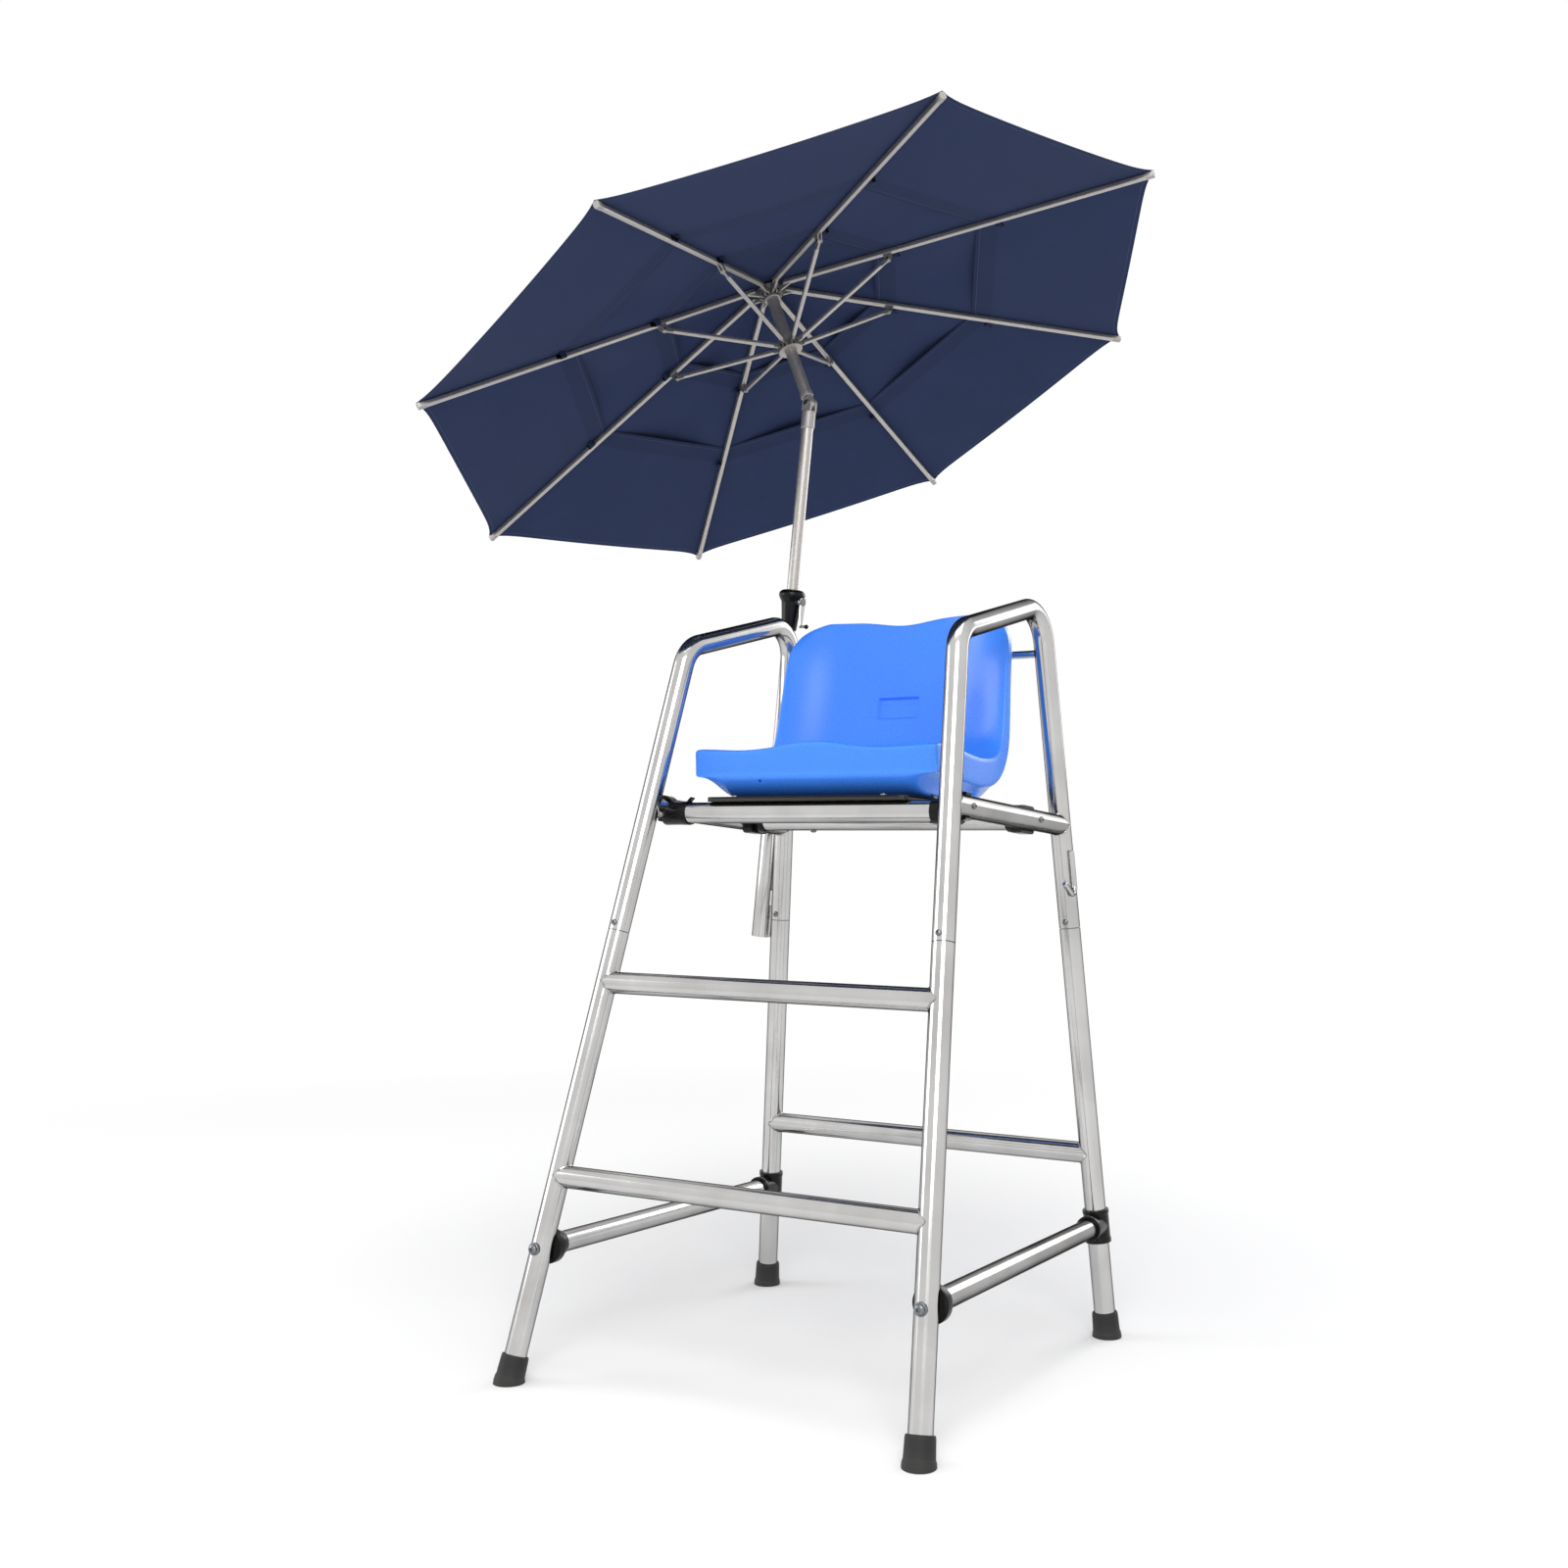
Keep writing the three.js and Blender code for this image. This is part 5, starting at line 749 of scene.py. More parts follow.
class LIFEGUARD_OT_side_frames(bpy.types.Operator):
    """Bends the two upper side frames with their handrails"""
    bl_idname = "lifeguard.side_frames"
    bl_label = "Upper side frames"

    def execute(self, context):
        steel = finish("stainless")
        steps = context.scene.lifeguard_frame.bend_steps
        for side in SIDES:
            bends = leg_pair(side, [LEG_ENDS[row][1].z for row in ("front", "rear")])
            ends = leg_pair(side, (SEAM_HEIGHT, SEAM_HEIGHT))
            starts = [towards(end, bend, SEAM_HALF_GAP) for end, bend in zip(ends, bends)]
            route = [starts[0], bends[0], bends[1], starts[1]]
            bent = tubes([route], TUBE_RADIUS, steel, TUBE_SIDES, BEND_RADIUS, steps)
            piece(f"side_frame_{side}", [bent], "chair", [f"side_frame_upper_{side}"])
        return {"FINISHED"}


LEG_INTO_FOOT = 10
SEAM_NECK_REACH = 20


class LIFEGUARD_OT_ladders(bpy.types.Operator):
    """Welds the lower legs with their steps and bars"""
    bl_idname = "lifeguard.ladders"
    bl_label = "Lower frames"

    def execute(self, context):
        steel = finish("stainless")
        bead = context.scene.lifeguard_frame.weld_bead / MM
        for row, heights in (("front", STEP_HEIGHTS), ("rear", (REAR_BAR_HEIGHT,))):
            legs, necks, welds = [], [], []
            for side in SIDES:
                seam = leg_at(side, row, SEAM_HEIGHT)
                foot = leg_at(side, row, 0)
                legs.append([towards(foot, seam, LEG_INTO_FOOT), towards(seam, foot, SEAM_HALF_GAP)])
                necks.append([towards(seam, foot, SEAM_NECK_REACH), towards(seam, foot, -SEAM_NECK_REACH)])
            bars = [[leg_at("left", row, z), leg_at("right", row, z)] for z in heights]
            for left, right in bars:
                welds.append(weld(left, right, TUBE_RADIUS, leg_up("left", row), TUBE_RADIUS))
                welds.append(weld(right, left, TUBE_RADIUS, leg_up("right", row), TUBE_RADIUS))
            parts = [tubes(legs, TUBE_RADIUS, steel, TUBE_SIDES),
                     tubes(bars, TUBE_RADIUS, steel, TUBE_SIDES),
                     tubes(necks, SEAM_NECK_RADIUS, finish("zinc"), TUBE_SIDES),
                     tubes(welds, bead, steel, 8, closed=True)]
            piece(f"{row}_legs", parts, "chair", [f"{row}_ladder"])
        return {"FINISHED"}


FOOT_PROFILE = (
    (0, -26), (26, -26), (26.4, 2), (25.6, 9), (24.4, 11), (23.4, 40), (22.6, 45), (TUBE_BORE, 45),
    (TUBE_BORE, 9.8),
    (0, 9.8),
)
FOOT_EASE = 1.6


class LIFEGUARD_OT_rubber_feet(bpy.types.Operator):
    """Moulds the four rubber feet, cut flat on the floor"""
    bl_idname = "lifeguard.rubber_feet"
    bl_label = "Rubber feet"

    def execute(self, context):
        for row in ("front", "rear"):
            for side in SIDES:
                foot, up = leg_at(side, row, 0), leg_up(side, row)
                mesh = turned(foot, foot + up, FOOT_PROFILE, FOOT_EASE, TURNED_SIDES)
                for vertex in mesh.vertices:
                    if vertex.co.z < 0:
                        vertex.co += up * (-vertex.co.z / up.z)
                piece(f"foot_{row}_{side}", [painted(mesh, finish("rubber"))], "chair",
                      [f"rubber_foot_{row}_{side}"])
        return {"FINISHED"}


# How far each bar's ends stop short of the legs' or rails' axes, and the bolts of the plate
STRETCHER_FRONT_REACH, STRETCHER_REAR_REACH = 26, 22
CROSS_RAIL_REACHES = {"front": 26.3, "rear": 27.3}
PLATE_BOLT = {"diameter": 12, "height": 4, "socket": 2.6}
THIN_BEAD_SHARE = 0.8


class LIFEGUARD_OT_rails(bpy.types.Operator):
    """Sets the seat rails, the thin back bar and the side stretchers"""
    bl_idname = "lifeguard.rails"
    bl_label = "Rails and stretchers"

    def execute(self, context):
        steel = finish("stainless")
        bead = context.scene.lifeguard_frame.weld_bead / MM
        for side in SIDES:
            front, rear = leg_pair(side, SIDE_RAIL_HEIGHTS)
            welds = [weld(front, rear, TUBE_RADIUS, leg_up(side, "front"), TUBE_RADIUS),
                     weld(rear, front, TUBE_RADIUS, leg_up(side, "rear"), TUBE_RADIUS)]
            piece(f"side_rail_{side}", [tubes([[front, rear]], TUBE_RADIUS, steel, TUBE_SIDES),
                  tubes(welds, bead, steel, 8, closed=True)], "chair", [f"seat_rail_{side}"])
            start, end = leg_pair(side, STRETCHER_HEIGHTS)
            run = [towards(start, end, STRETCHER_FRONT_REACH), towards(end, start, STRETCHER_REAR_REACH)]
            piece(f"stretcher_{side}", [tubes([run], STRETCHER_RADIUS, steel, 40)], "chair",
                  [f"side_stretcher_{side}"])
        plate = seat_matrix()
        down = plate.to_3x3() @ -UP
        for row, reach in CROSS_RAIL_REACHES.items():
            left, right = cross_rail_end("left", row), cross_rail_end("right", row)
            bar = tubes([[towards(left, right, reach), towards(right, left, reach)]], TUBE_RADIUS, steel,
                        TUBE_SIDES)
            seats = [(Vector((x, left.y, left.z)) + down * TUBE_RADIUS, down)
                     for x in (-PLATE_BOLT_HALF_SPREAD, PLATE_BOLT_HALF_SPREAD)]
            if row == "front":
                seats = [(plate @ Vector((place.x, 0, SEAT_FLOOR)), -down) for place, _ in seats]
            piece(f"{row}_rail", [bar, fasteners(seats, screw_head(**PLATE_BOLT), finish("zinc"))], "chair",
                  [f"seat_rail_{row}"])
        left, right = leg_at("left", "rear", BACK_BAR_HEIGHT), leg_at("right", "rear", BACK_BAR_HEIGHT)
        welds = [weld(left, right, BACK_BAR_RADIUS, leg_up("left", "rear"), TUBE_RADIUS),
                 weld(right, left, BACK_BAR_RADIUS, leg_up("right", "rear"), TUBE_RADIUS)]
        piece("thin_back_bar", [tubes([[left, right]], BACK_BAR_RADIUS, steel, 32),
              tubes(welds, bead * THIN_BEAD_SHARE, steel, 8, closed=True)], "chair", ["back_bar"])
        return {"FINISHED"}


FITTING_EASE = 1.2
CONNECTOR_PROFILE = (
    (0, 3), (21.8, 3), (21.4, 20), (21.4, 38), (21.8, 54), (TUBE_BORE, 54), (TUBE_BORE, 26), (0, 26),
)
CONNECTOR_CUP_DROP, CONNECTOR_CUP_REACH = 4, 75
SADDLE_PROFILE = (
    (0, 13), (30.5, 13), (30.5, 27), (29.5, 28), (24, 28.6), (23.6, 35), (22.4, 42), (20.6, 48),
    (STRETCHER_BORE, 48),
    (STRETCHER_BORE, 28), (0, 28),
)
CLAMP_RING_PROFILE = (
    (19.2, 0), (23.9, 0), (23.9, 7), (22.9, 9), (22.9, 51), (23.9, 53), (23.9, 60), (19.2, 60),
)
CLAMP_RING_HALF_LENGTH = 30
CLAMP_SLEEVE_PROFILE = (
    (0, 0), (STRETCHER_BORE + 4, 0), (STRETCHER_BORE + 4, 36), (STRETCHER_BORE + 5, 37.5),
    (STRETCHER_BORE + 5, 46),
    (STRETCHER_BORE, 46), (STRETCHER_BORE, 22), (0, 22),
)
PAD_SIZE, PAD_CORNER, PAD_LEVELS, PAD_BEVEL = (60, 50), 12, (7, 27), 1.6
PAD_SOCKET_PROFILE = ((0, 20), (23, 20), (23, 38), (22, 44), (TUBE_BORE, 44), (TUBE_BORE, 27), (0, 27))
PAD_SOCKET_EASE = 1.4


def side_rail_way(side):
    """A line along a side rail, towards the rear."""
    return rail_at(side, REAR_RAIL_Y) - rail_at(side, 0)


class LIFEGUARD_OT_fittings(bpy.types.Operator):
    """Moulds the black connectors, saddles and clamps of the rails and stretchers"""
    bl_idname = "lifeguard.fittings"
    bl_label = "Moulded fittings"

    def connector(self, side, other):
        """Sleeve for the front rail with a cup at each end, one of them round the side rail."""
        end, middle = cross_rail_end(side, "front"), cross_rail_end(other, "front")
        centre = rail_at(side, FRONT_RAIL_Y)
        inboard, along = (middle - end).normalized(), side_rail_way(side)
        far_cup = centre - UP * CONNECTOR_CUP_DROP + inboard * CONNECTOR_CUP_REACH
        cups = [(centre, 0, TUBE_BORE, 24, 2.0, 10), (far_cup, math.pi, 27, 30, 0.96, 6)]
        meshes = [turned(end, middle, CONNECTOR_PROFILE, FITTING_EASE, TURNED_SIDES)]
        for place, turn, inner, outer, spread, half in cups:
            arc = [turn - spread + spread * i / 16 for i in range(33)]
            outline = [(outer * math.cos(a), outer * math.sin(a)) for a in arc]
            outline += [(inner * math.cos(a), inner * math.sin(a)) for a in reversed(arc)]
            meshes.append(prism(outline, -half, half, frame_of(place, inboard, along), 0.9))
        return meshes

    def stretcher_saddle(self, side):
        front, rear = leg_pair(side, STRETCHER_HEIGHTS)
        return [turned(front, rear, SADDLE_PROFILE, FITTING_EASE, TURNED_SIDES)]

    def stretcher_clamp(self, side):
        front, rear = leg_pair(side, STRETCHER_HEIGHTS)
        up = leg_up(side, "rear")
        ring = turned(rear - up * CLAMP_RING_HALF_LENGTH, rear, CLAMP_RING_PROFILE, FITTING_EASE,
                      TURNED_SIDES, closed=True)
        sleeve = turned(rear, front, CLAMP_SLEEVE_PROFILE, FITTING_EASE, TUBE_SIDES)
        return [ring, sleeve]

    def rail_saddle(self, side, other):
        end, far = cross_rail_end(side, "rear"), cross_rail_end(other, "rear")
        pad = prism(rectangle(*PAD_SIZE, PAD_CORNER), *PAD_LEVELS,
                    frame_of(end, side_rail_way(side), far - end), PAD_BEVEL)
        socket = turned(end, far, PAD_SOCKET_PROFILE, PAD_SOCKET_EASE, TUBE_SIDES)
        return [pad, socket]

    def execute(self, context):
        black = finish("plastic")
        for side, other in (("left", "right"), ("right", "left")):
            for name, meshes in (
                ("seat_rail_connector", self.connector(side, other)),
                ("stretcher_saddle", self.stretcher_saddle(side)),
                ("stretcher_clamp", self.stretcher_clamp(side)),
                ("seat_rail_saddle", self.rail_saddle(side, other)),
            ):
                piece(f"moulded_{name}_{side}", [painted(mesh, black) for mesh in meshes], "chair",
                      [f"{name}_{side}"])
        return {"FINISHED"}


FRAME_SCREW = {"diameter": 11, "height": 4, "socket": 2.6}
SADDLE_BOLT = {"diameter": 17, "height": 6, "socket": 3.4}
SEAM_SCREW_RISE = 12
WASHER_PROFILE, WASHER_FOOT, WASHER_EASE = ((0, 0), (11, 0), (11, 5), (10, 6.4), (0, 6.4)), 6, 0.6
SADDLE_BOLT_STAND = 3.8


class LIFEGUARD_OT_fasteners(bpy.types.Operator):
    """Sets the screws of the seams, rails and stretcher saddles"""
    bl_idname = "lifeguard.fasteners"
    bl_label = "Screws"

    def execute(self, context):
        small, large = [], []
        for side, sign in SIDES.items():
            for row in ("front", "rear"):
                up = leg_up(side, row)
                outward = Vector((0, -1, 0)) - up * Vector((0, -1, 0)).dot(up)
                small.append((leg_at(side, row,
                                     SEAM_HEIGHT + SEAM_SCREW_RISE) + outward.normalized() * TUBE_RADIUS,
                              outward))
            for y in (FRONT_RAIL_Y, REAR_RAIL_Y):
                outward = Vector((sign, 0, 0))
                small.append((rail_at(side, y) + outward * TUBE_RADIUS, outward))
            front, rear = leg_pair(side, STRETCHER_HEIGHTS)
            outward = (front - rear).normalized()
            large.append((front + outward * (TUBE_RADIUS + SADDLE_BOLT_STAND), outward))
        zinc = finish("zinc")
        washers = []
        for place, outward in large:
            foot = place - outward.normalized() * WASHER_FOOT
            washers.append(painted(turned(foot, place, WASHER_PROFILE, WASHER_EASE, 40), zinc))
        heads = [fasteners(small, screw_head(**FRAME_SCREW), zinc),
                 fasteners(large, screw_head(**SADDLE_BOLT), zinc)]
        piece("frame_screws", [*heads, *washers], "chair", ())
        return {"FINISHED"}


HOOK_HEADING = math.radians(-28)
HOOK_LEVELS, HOOK_WELD_LEVELS = (885, 797), (872, 826)
HOOK_TONGUE = Vector((0, -50, 30))
HOOK_BEND = 14
HOOK_BEAD_RADIUS, HOOK_BEAD_HALF_LENGTH, HOOK_BEAD_SHARE = 3.2, 9, 0.84


class LIFEGUARD_OT_ring_hook(bpy.types.Operator):
    """Bends the life-ring hook and its welds"""
    bl_idname = "lifeguard.ring_hook"
    bl_label = "Life-ring hook"

    def execute(self, context):
        steel = finish("stainless")
        aside = Vector((math.cos(HOOK_HEADING), math.sin(HOOK_HEADING),
                        0)) * (TUBE_RADIUS + HOOK_RADIUS + FIT_GAP)
        top, corner = (leg_at("right", "rear", z) + aside for z in HOOK_LEVELS)
        tip = corner + HOOK_TONGUE
        rod = tubes([[top, corner, tip]], HOOK_RADIUS, steel, 24, HOOK_BEND, 16)
        ends = []
        for end in (tip, top):
            way = (end - corner).normalized()
            dome = turned(end - way * 0.1, end + way, [(HOOK_RADIUS, 0), (HOOK_RADIUS * 0.8, 2), (0, 3)], 0,
                          24)
            ends.append(painted(dome, steel))
        up = leg_up("right", "rear") * HOOK_BEAD_HALF_LENGTH
        beads = []
        for height in HOOK_WELD_LEVELS:
            centre = leg_at("right", "rear", height) + aside * HOOK_BEAD_SHARE
            beads.append([centre - up, centre, centre + up])
        piece("ring_hook", [rod, *ends, tubes(beads, HOOK_BEAD_RADIUS, steel, 12)], "chair",
              ["life_ring_hook"])
        return {"FINISHED"}


# Seat rows from the lip over the pan and up the back, as shares of the seat's reach and rise: place of the
# sitting face on the middle line, thickness, rim, curl of the sides towards the guard, and wave of the lip
SEAT_ROWS = (
    (0, 0.254, 0.136, 0.134, -0.034, 1), (0.043, 0.262, 0.166, 0.142, -0.03, 1),
    (0.172, 0.229, 0.24, 0.146, 0.015, 0.6), (0.345, 0.183, 0.2, 0.146, 0.042, 0.2),
    (0.546, 0.157, 0.18, 0.144, 0.052, 0), (0.718, 0.165, 0.2, 0.138, 0.062, 0),
    (0.833, 0.22, 0.13, 0.1, 0.084, 0), (0.902, 0.334, 0.105, 0.084, 0.1, 0),
    (0.943, 0.516, 0.084, 0.07, 0.108, 0), (0.971, 0.715, 0.074, 0.062, 0.106, 0),
    (0.984, 0.82, 0.07, 0.058, 0.092, 0), (0.992, 0.9, 0.066, 0.056, 0.072, 0),
    (0.997, 0.96, 0.058, 0.05, 0.05, 0), (1, 1, 0.044, 0.04, 0.03, 0),
)
SEAT_ACROSS = (0, 0.125, 0.25, 0.375, 0.5, 0.6, 0.7, 0.78, 0.85, 0.91, 0.96, 1)
SEAT_LAYERS = (0, 0.22, 0.5, 0.78, 1)
SEAT_WIDTH, SEAT_FRONT, SEAT_REACH, SEAT_RISE, SEAT_FLOOR = 492, 4, 343, 367, 8.3
SEAT_WAVE, SEAT_CHAMFER, SEAT_CORNER = 7, 62, 74
RECESS_SIZE, RECESS_DEPTH, RECESS_TAPER, RECESS_HEIGHT = (88, 43), 5, 1.6, 196
RECESS_CORNER, RECESS_RAY_START = 3, 120
DRAIN_PLACE, DRAIN_SIZE, DRAIN_CORNER, DRAIN_REACH = (-108, SEAT_FRONT, 38), 5, 2.4, 30
BACK_TAPER_SHARE, CREST_START_SHARE, CREST_DIP = 0.045, 0.88, 10
DISH_START_SHARE, CREST_HALF_SHARE = 0.45, 0.6


def eased(share):
    t = min(max(share, 0), 1)
    return t * t * (3 - 2 * t)


def seat_matrix():
    """The seat's own frame: its origin is over the front rail, on the underside of the base plate."""
    front, rear = cross_rail_end("left", "front"), cross_rail_end("left", "rear")
    slope = math.atan2(rear.z - front.z, rear.y - front.y)
    place = Vector((0, front.y, front.z + TUBE_RADIUS + FIT_GAP))
    return Matrix.Translation(place) @ Matrix.Rotation(slope, 4, "X")


def seat_lattice():
    """Points of the seat by row, place across and layer, from the outer face to the sitting face."""
    across = [-s for s in SEAT_ACROSS[:0:-1]] + list(SEAT_ACROSS)
    centres = [Vector((0, SEAT_FRONT + run * SEAT_REACH, SEAT_FLOOR + (SEAT_RISE - SEAT_FLOOR) * rise))
               for run, rise, *_ in SEAT_ROWS]
    lattice = []
    for i, (run, rise, depth, rim, curl, wave) in enumerate(SEAT_ROWS):
        heading = (centres[min(i + 1, len(centres) - 1)] - centres[max(i - 1, 0)]).normalized()
        facing = Vector((1, 0, 0)).cross(heading).normalized()
        into = max(SEAT_CORNER - (1 - rise) * SEAT_RISE, 0)
        tapered = SEAT_WIDTH / 2 * (1 - BACK_TAPER_SHARE * eased(rise))
        half = tapered - SEAT_CORNER + math.sqrt(SEAT_CORNER ** 2 - into ** 2)
        chamfer = SEAT_CHAMFER / half
        topness = eased((rise - CREST_START_SHARE) / 0.12)
        row = []
        for share in across:
            side = eased((abs(share) - DISH_START_SHARE) / 0.55)
            face = curl * SEAT_RISE * side + SEAT_WAVE * wave * math.cos(2 * math.pi * share)
            rim_level = curl * SEAT_RISE + SEAT_WAVE * wave - rim * SEAT_RISE
            slope = eased((abs(share) - 1 + chamfer) / chamfer)
            back = -depth * SEAT_RISE * (1 - slope) + rim_level * slope
            dip = CREST_DIP * topness * (1 - eased(abs(share) / CREST_HALF_SHARE))
            spot = centres[i] + Vector((share * half, 0, -dip))
            cells = []
            for layer in SEAT_LAYERS:
                point = spot + facing * (back + (face - back) * layer)
                point.z = max(point.z, SEAT_FLOOR)
                cells.append(point)
            row.append(cells)
        lattice.append(row)
    return lattice


def lattice_skin(lattice):
    """The outer faces of a lattice as a closed mesh of quads."""
    rows, columns, layers = len(lattice), len(lattice[0]), len(lattice[0][0])
    bm = bmesh.new()
    corners = {}

    def at(i, j, k):
        if (i, j, k) not in corners:
            corners[i, j, k] = bm.verts.new(lattice[i][j][k])
        return corners[i, j, k]

    def sheet(cells):
        for quad in cells:
            bm.faces.new([at(*place) for place in quad])

    for i in range(rows - 1):
        for k in (0, layers - 1):
            sheet([((i, j, k), (i + 1, j, k), (i + 1, j + 1, k), (i, j + 1, k)) for j in range(columns - 1)])
        for j in (0, columns - 1):
            sheet([((i, j, k), (i + 1, j, k), (i + 1, j, k + 1), (i, j, k + 1)) for k in range(layers - 1)])
    for i in (0, rows - 1):
        for j in range(columns - 1):
            sheet([((i, j, k), (i, j + 1, k), (i, j + 1, k + 1), (i, j, k + 1)) for k in range(layers - 1)])
    return bm


class LIFEGUARD_OT_bucket_seat(bpy.types.Operator):
    """Blows the bucket seat: wavy lip, dished pan, curled back, shallow recess and drain hole"""
    bl_idname = "lifeguard.bucket_seat"
    bl_label = "Bucket seat"

    def recess(self, shell):
        """The tapered cutter of the recess, laid on the sitting face of the back."""
        into_row = TO_ROW @ seat_matrix()
        tree = BVHTree.FromObject(shell, bpy.context.evaluated_depsgraph_get())
        width, height = RECESS_SIZE
        spots = []
        for x, z in ((-width / 2, -height / 2), (width / 2, -height / 2), (0, height / 2)):
            start = into_row @ Vector((x, SEAT_FRONT + RECESS_RAY_START, RECESS_HEIGHT + z))
            found = tree.ray_cast(start, (into_row.to_3x3() @ Vector((0, 1, 0))).normalized())[0]
            spots.append(TO_ROW.inverted() @ found)
        across = spots[1] - spots[0]
        up = spots[2] - (spots[0] + spots[1]) / 2
        matrix = frame_of((spots[0] + spots[1]) / 2 + up / 2, across, across.cross(up))
        rows = []
        for level in (-RECESS_DEPTH, RECESS_DEPTH * 3):
            spread = level * RECESS_TAPER
            rows.append([(x, y, level) for x,
                         y in rectangle(width + spread, height + spread, RECESS_CORNER)])
        count = len(rows[0])
        faces = rings(rows) + [tuple(range(count))[::-1], tuple(range(count, 2 * count))]
        return mesh_from([point for row in rows for point in row], faces, matrix)

    def execute(self, context):
        bm = lattice_skin(seat_lattice())
        bmesh.ops.recalc_face_normals(bm, faces=bm.faces)
        bm.transform(TO_ROW @ seat_matrix())
        cage = bpy.data.meshes.new("seat")
        bm.to_mesh(cage)
        bm.free()
        shell = bpy.data.objects.new("moulded_seat", cage)
        context.scene.collection.objects.link(shell)
        smooth = shell.modifiers.new("Blown", "SUBSURF")
        smooth.levels = smooth.render_levels = 3
        context.view_layer.update()
        drain = seat_matrix() @ Matrix.Translation(DRAIN_PLACE) @ Matrix.Rotation(math.pi / 2, 4, "X")
        hole = rectangle(DRAIN_SIZE, DRAIN_SIZE, DRAIN_CORNER, 4)
        cutters = []
        for mesh in (self.recess(shell), prism(hole, -DRAIN_REACH, DRAIN_REACH, drain, 0)):
            cutter = bpy.data.objects.new("cutter", mesh)
            context.scene.collection.objects.link(cutter)
            cut = shell.modifiers.new("Cut", "BOOLEAN")
            cut.operation, cut.solver, cut.object = "DIFFERENCE", "EXACT", cutter
            cutters.append(cutter)
        context.view_layer.update()
        made = bpy.data.meshes.new_from_object(shell.evaluated_get(context.evaluated_depsgraph_get()))
        for extra in [shell, *cutters]:
            bpy.data.objects.remove(extra)
        piece("bucket_seat", [painted(made, finish("seat"))], "chair", ["seat_shell"], 40)
        return {"FINISHED"}


PLATE_WIDTH, PLATE_DEPTH, PLATE_MIDDLE_Y = 400, 308, 136
PLATE_UNDERSIDE, PLATE_CORNER, PLATE_BEVEL = 5, 12, 0.8
PLATE_TOP = 8
FOLD_WIDTH, FOLD_HEIGHT, FOLD_CORNER = 24, 7.6, 11
FOLD_MIDDLE = PLATE_DEPTH / 2 - FOLD_WIDTH / 2
SIDE_FOLD_WIDTH = 12
SIDE_FOLD_MIDDLE = PLATE_WIDTH / 2 - SIDE_FOLD_WIDTH / 2
SEAT_SCREW_SPOTS = ((-120, 74), (-120, 234), (120, 74), (120, 234))
SEAT_SCREW_LEVEL = 4.6


class LIFEGUARD_OT_base_plate(bpy.types.Operator):
    """Folds the seat's base plate with its screw heads"""
    bl_idname = "lifeguard.base_plate"
    bl_label = "Seat base plate"

    def execute(self, context):
        place = seat_matrix()
        middle = place @ Matrix.Translation((0, PLATE_MIDDLE_Y, 0))
        outline = rectangle(PLATE_WIDTH, PLATE_DEPTH, PLATE_CORNER, 6)
        deck = prism(outline, PLATE_UNDERSIDE, PLATE_TOP, middle, PLATE_BEVEL)
        long_fold = rectangle(PLATE_WIDTH, FOLD_WIDTH, FOLD_CORNER)
        short_fold = rectangle(SIDE_FOLD_WIDTH, PLATE_DEPTH - FOLD_WIDTH)
        folds = []
        for outline, x, y in (
            (long_fold, 0, PLATE_MIDDLE_Y - FOLD_MIDDLE), (long_fold, 0, PLATE_MIDDLE_Y + FOLD_MIDDLE),
            (short_fold, -SIDE_FOLD_MIDDLE, PLATE_MIDDLE_Y), (short_fold, SIDE_FOLD_MIDDLE, PLATE_MIDDLE_Y),
        ):
            folds.append(prism(outline, 0, FOLD_HEIGHT, place @ Matrix.Translation((x, y, 0)), PLATE_BEVEL))
        down = place.to_3x3() @ -UP
        screws = [(place @ Vector((x, y, SEAT_SCREW_LEVEL)), down) for x, y in SEAT_SCREW_SPOTS]
        heads = fasteners(screws, screw_head(**PLATE_BOLT), finish("zinc"))
        piece("seat_plate", [painted(mesh, finish("coat")) for mesh in (deck, *folds)] + [heads], "chair",
              ["seat_base_plate"])
        return {"FINISHED"}


SOCKET_BORE = 17.5
SOCKET_PROFILE = (
    (SOCKET_BORE, 0), (TUBE_RADIUS, 0), (TUBE_RADIUS, SOCKET_LENGTH), (SOCKET_BORE, SOCKET_LENGTH),
)
LINER_PROFILE = (
    (0, 0.4), (17.2, 0.4), (17.2, 232.3), (19, 232.3), (19.2, 235.3), (13, 235.3), (12.9, 6), (0, 6),
)
TAB_PLACE_SHARES, TAB_SIZE, TAB_INTO_TUBES = (0.34, 0.86), (12, 30), 10
KNOB_PLACE_SHARE, KNOB_HEADING = 0.6, math.radians(122)
KNOB_BOSS_PROFILE = ((0, 12), (7.6, 12), (7.6, 27.7), (0, 27.7))
KNOB_SCREW_PROFILE = ((0, 12.4), (3.4, 12.4), (4, 13.4), (4, 30), (0, 30))
KNOB_LOBES, KNOB_RADIUS, KNOB_DENT, KNOB_LEVELS, KNOB_STEPS = 6, 17, 1.2, (28, 42), 72


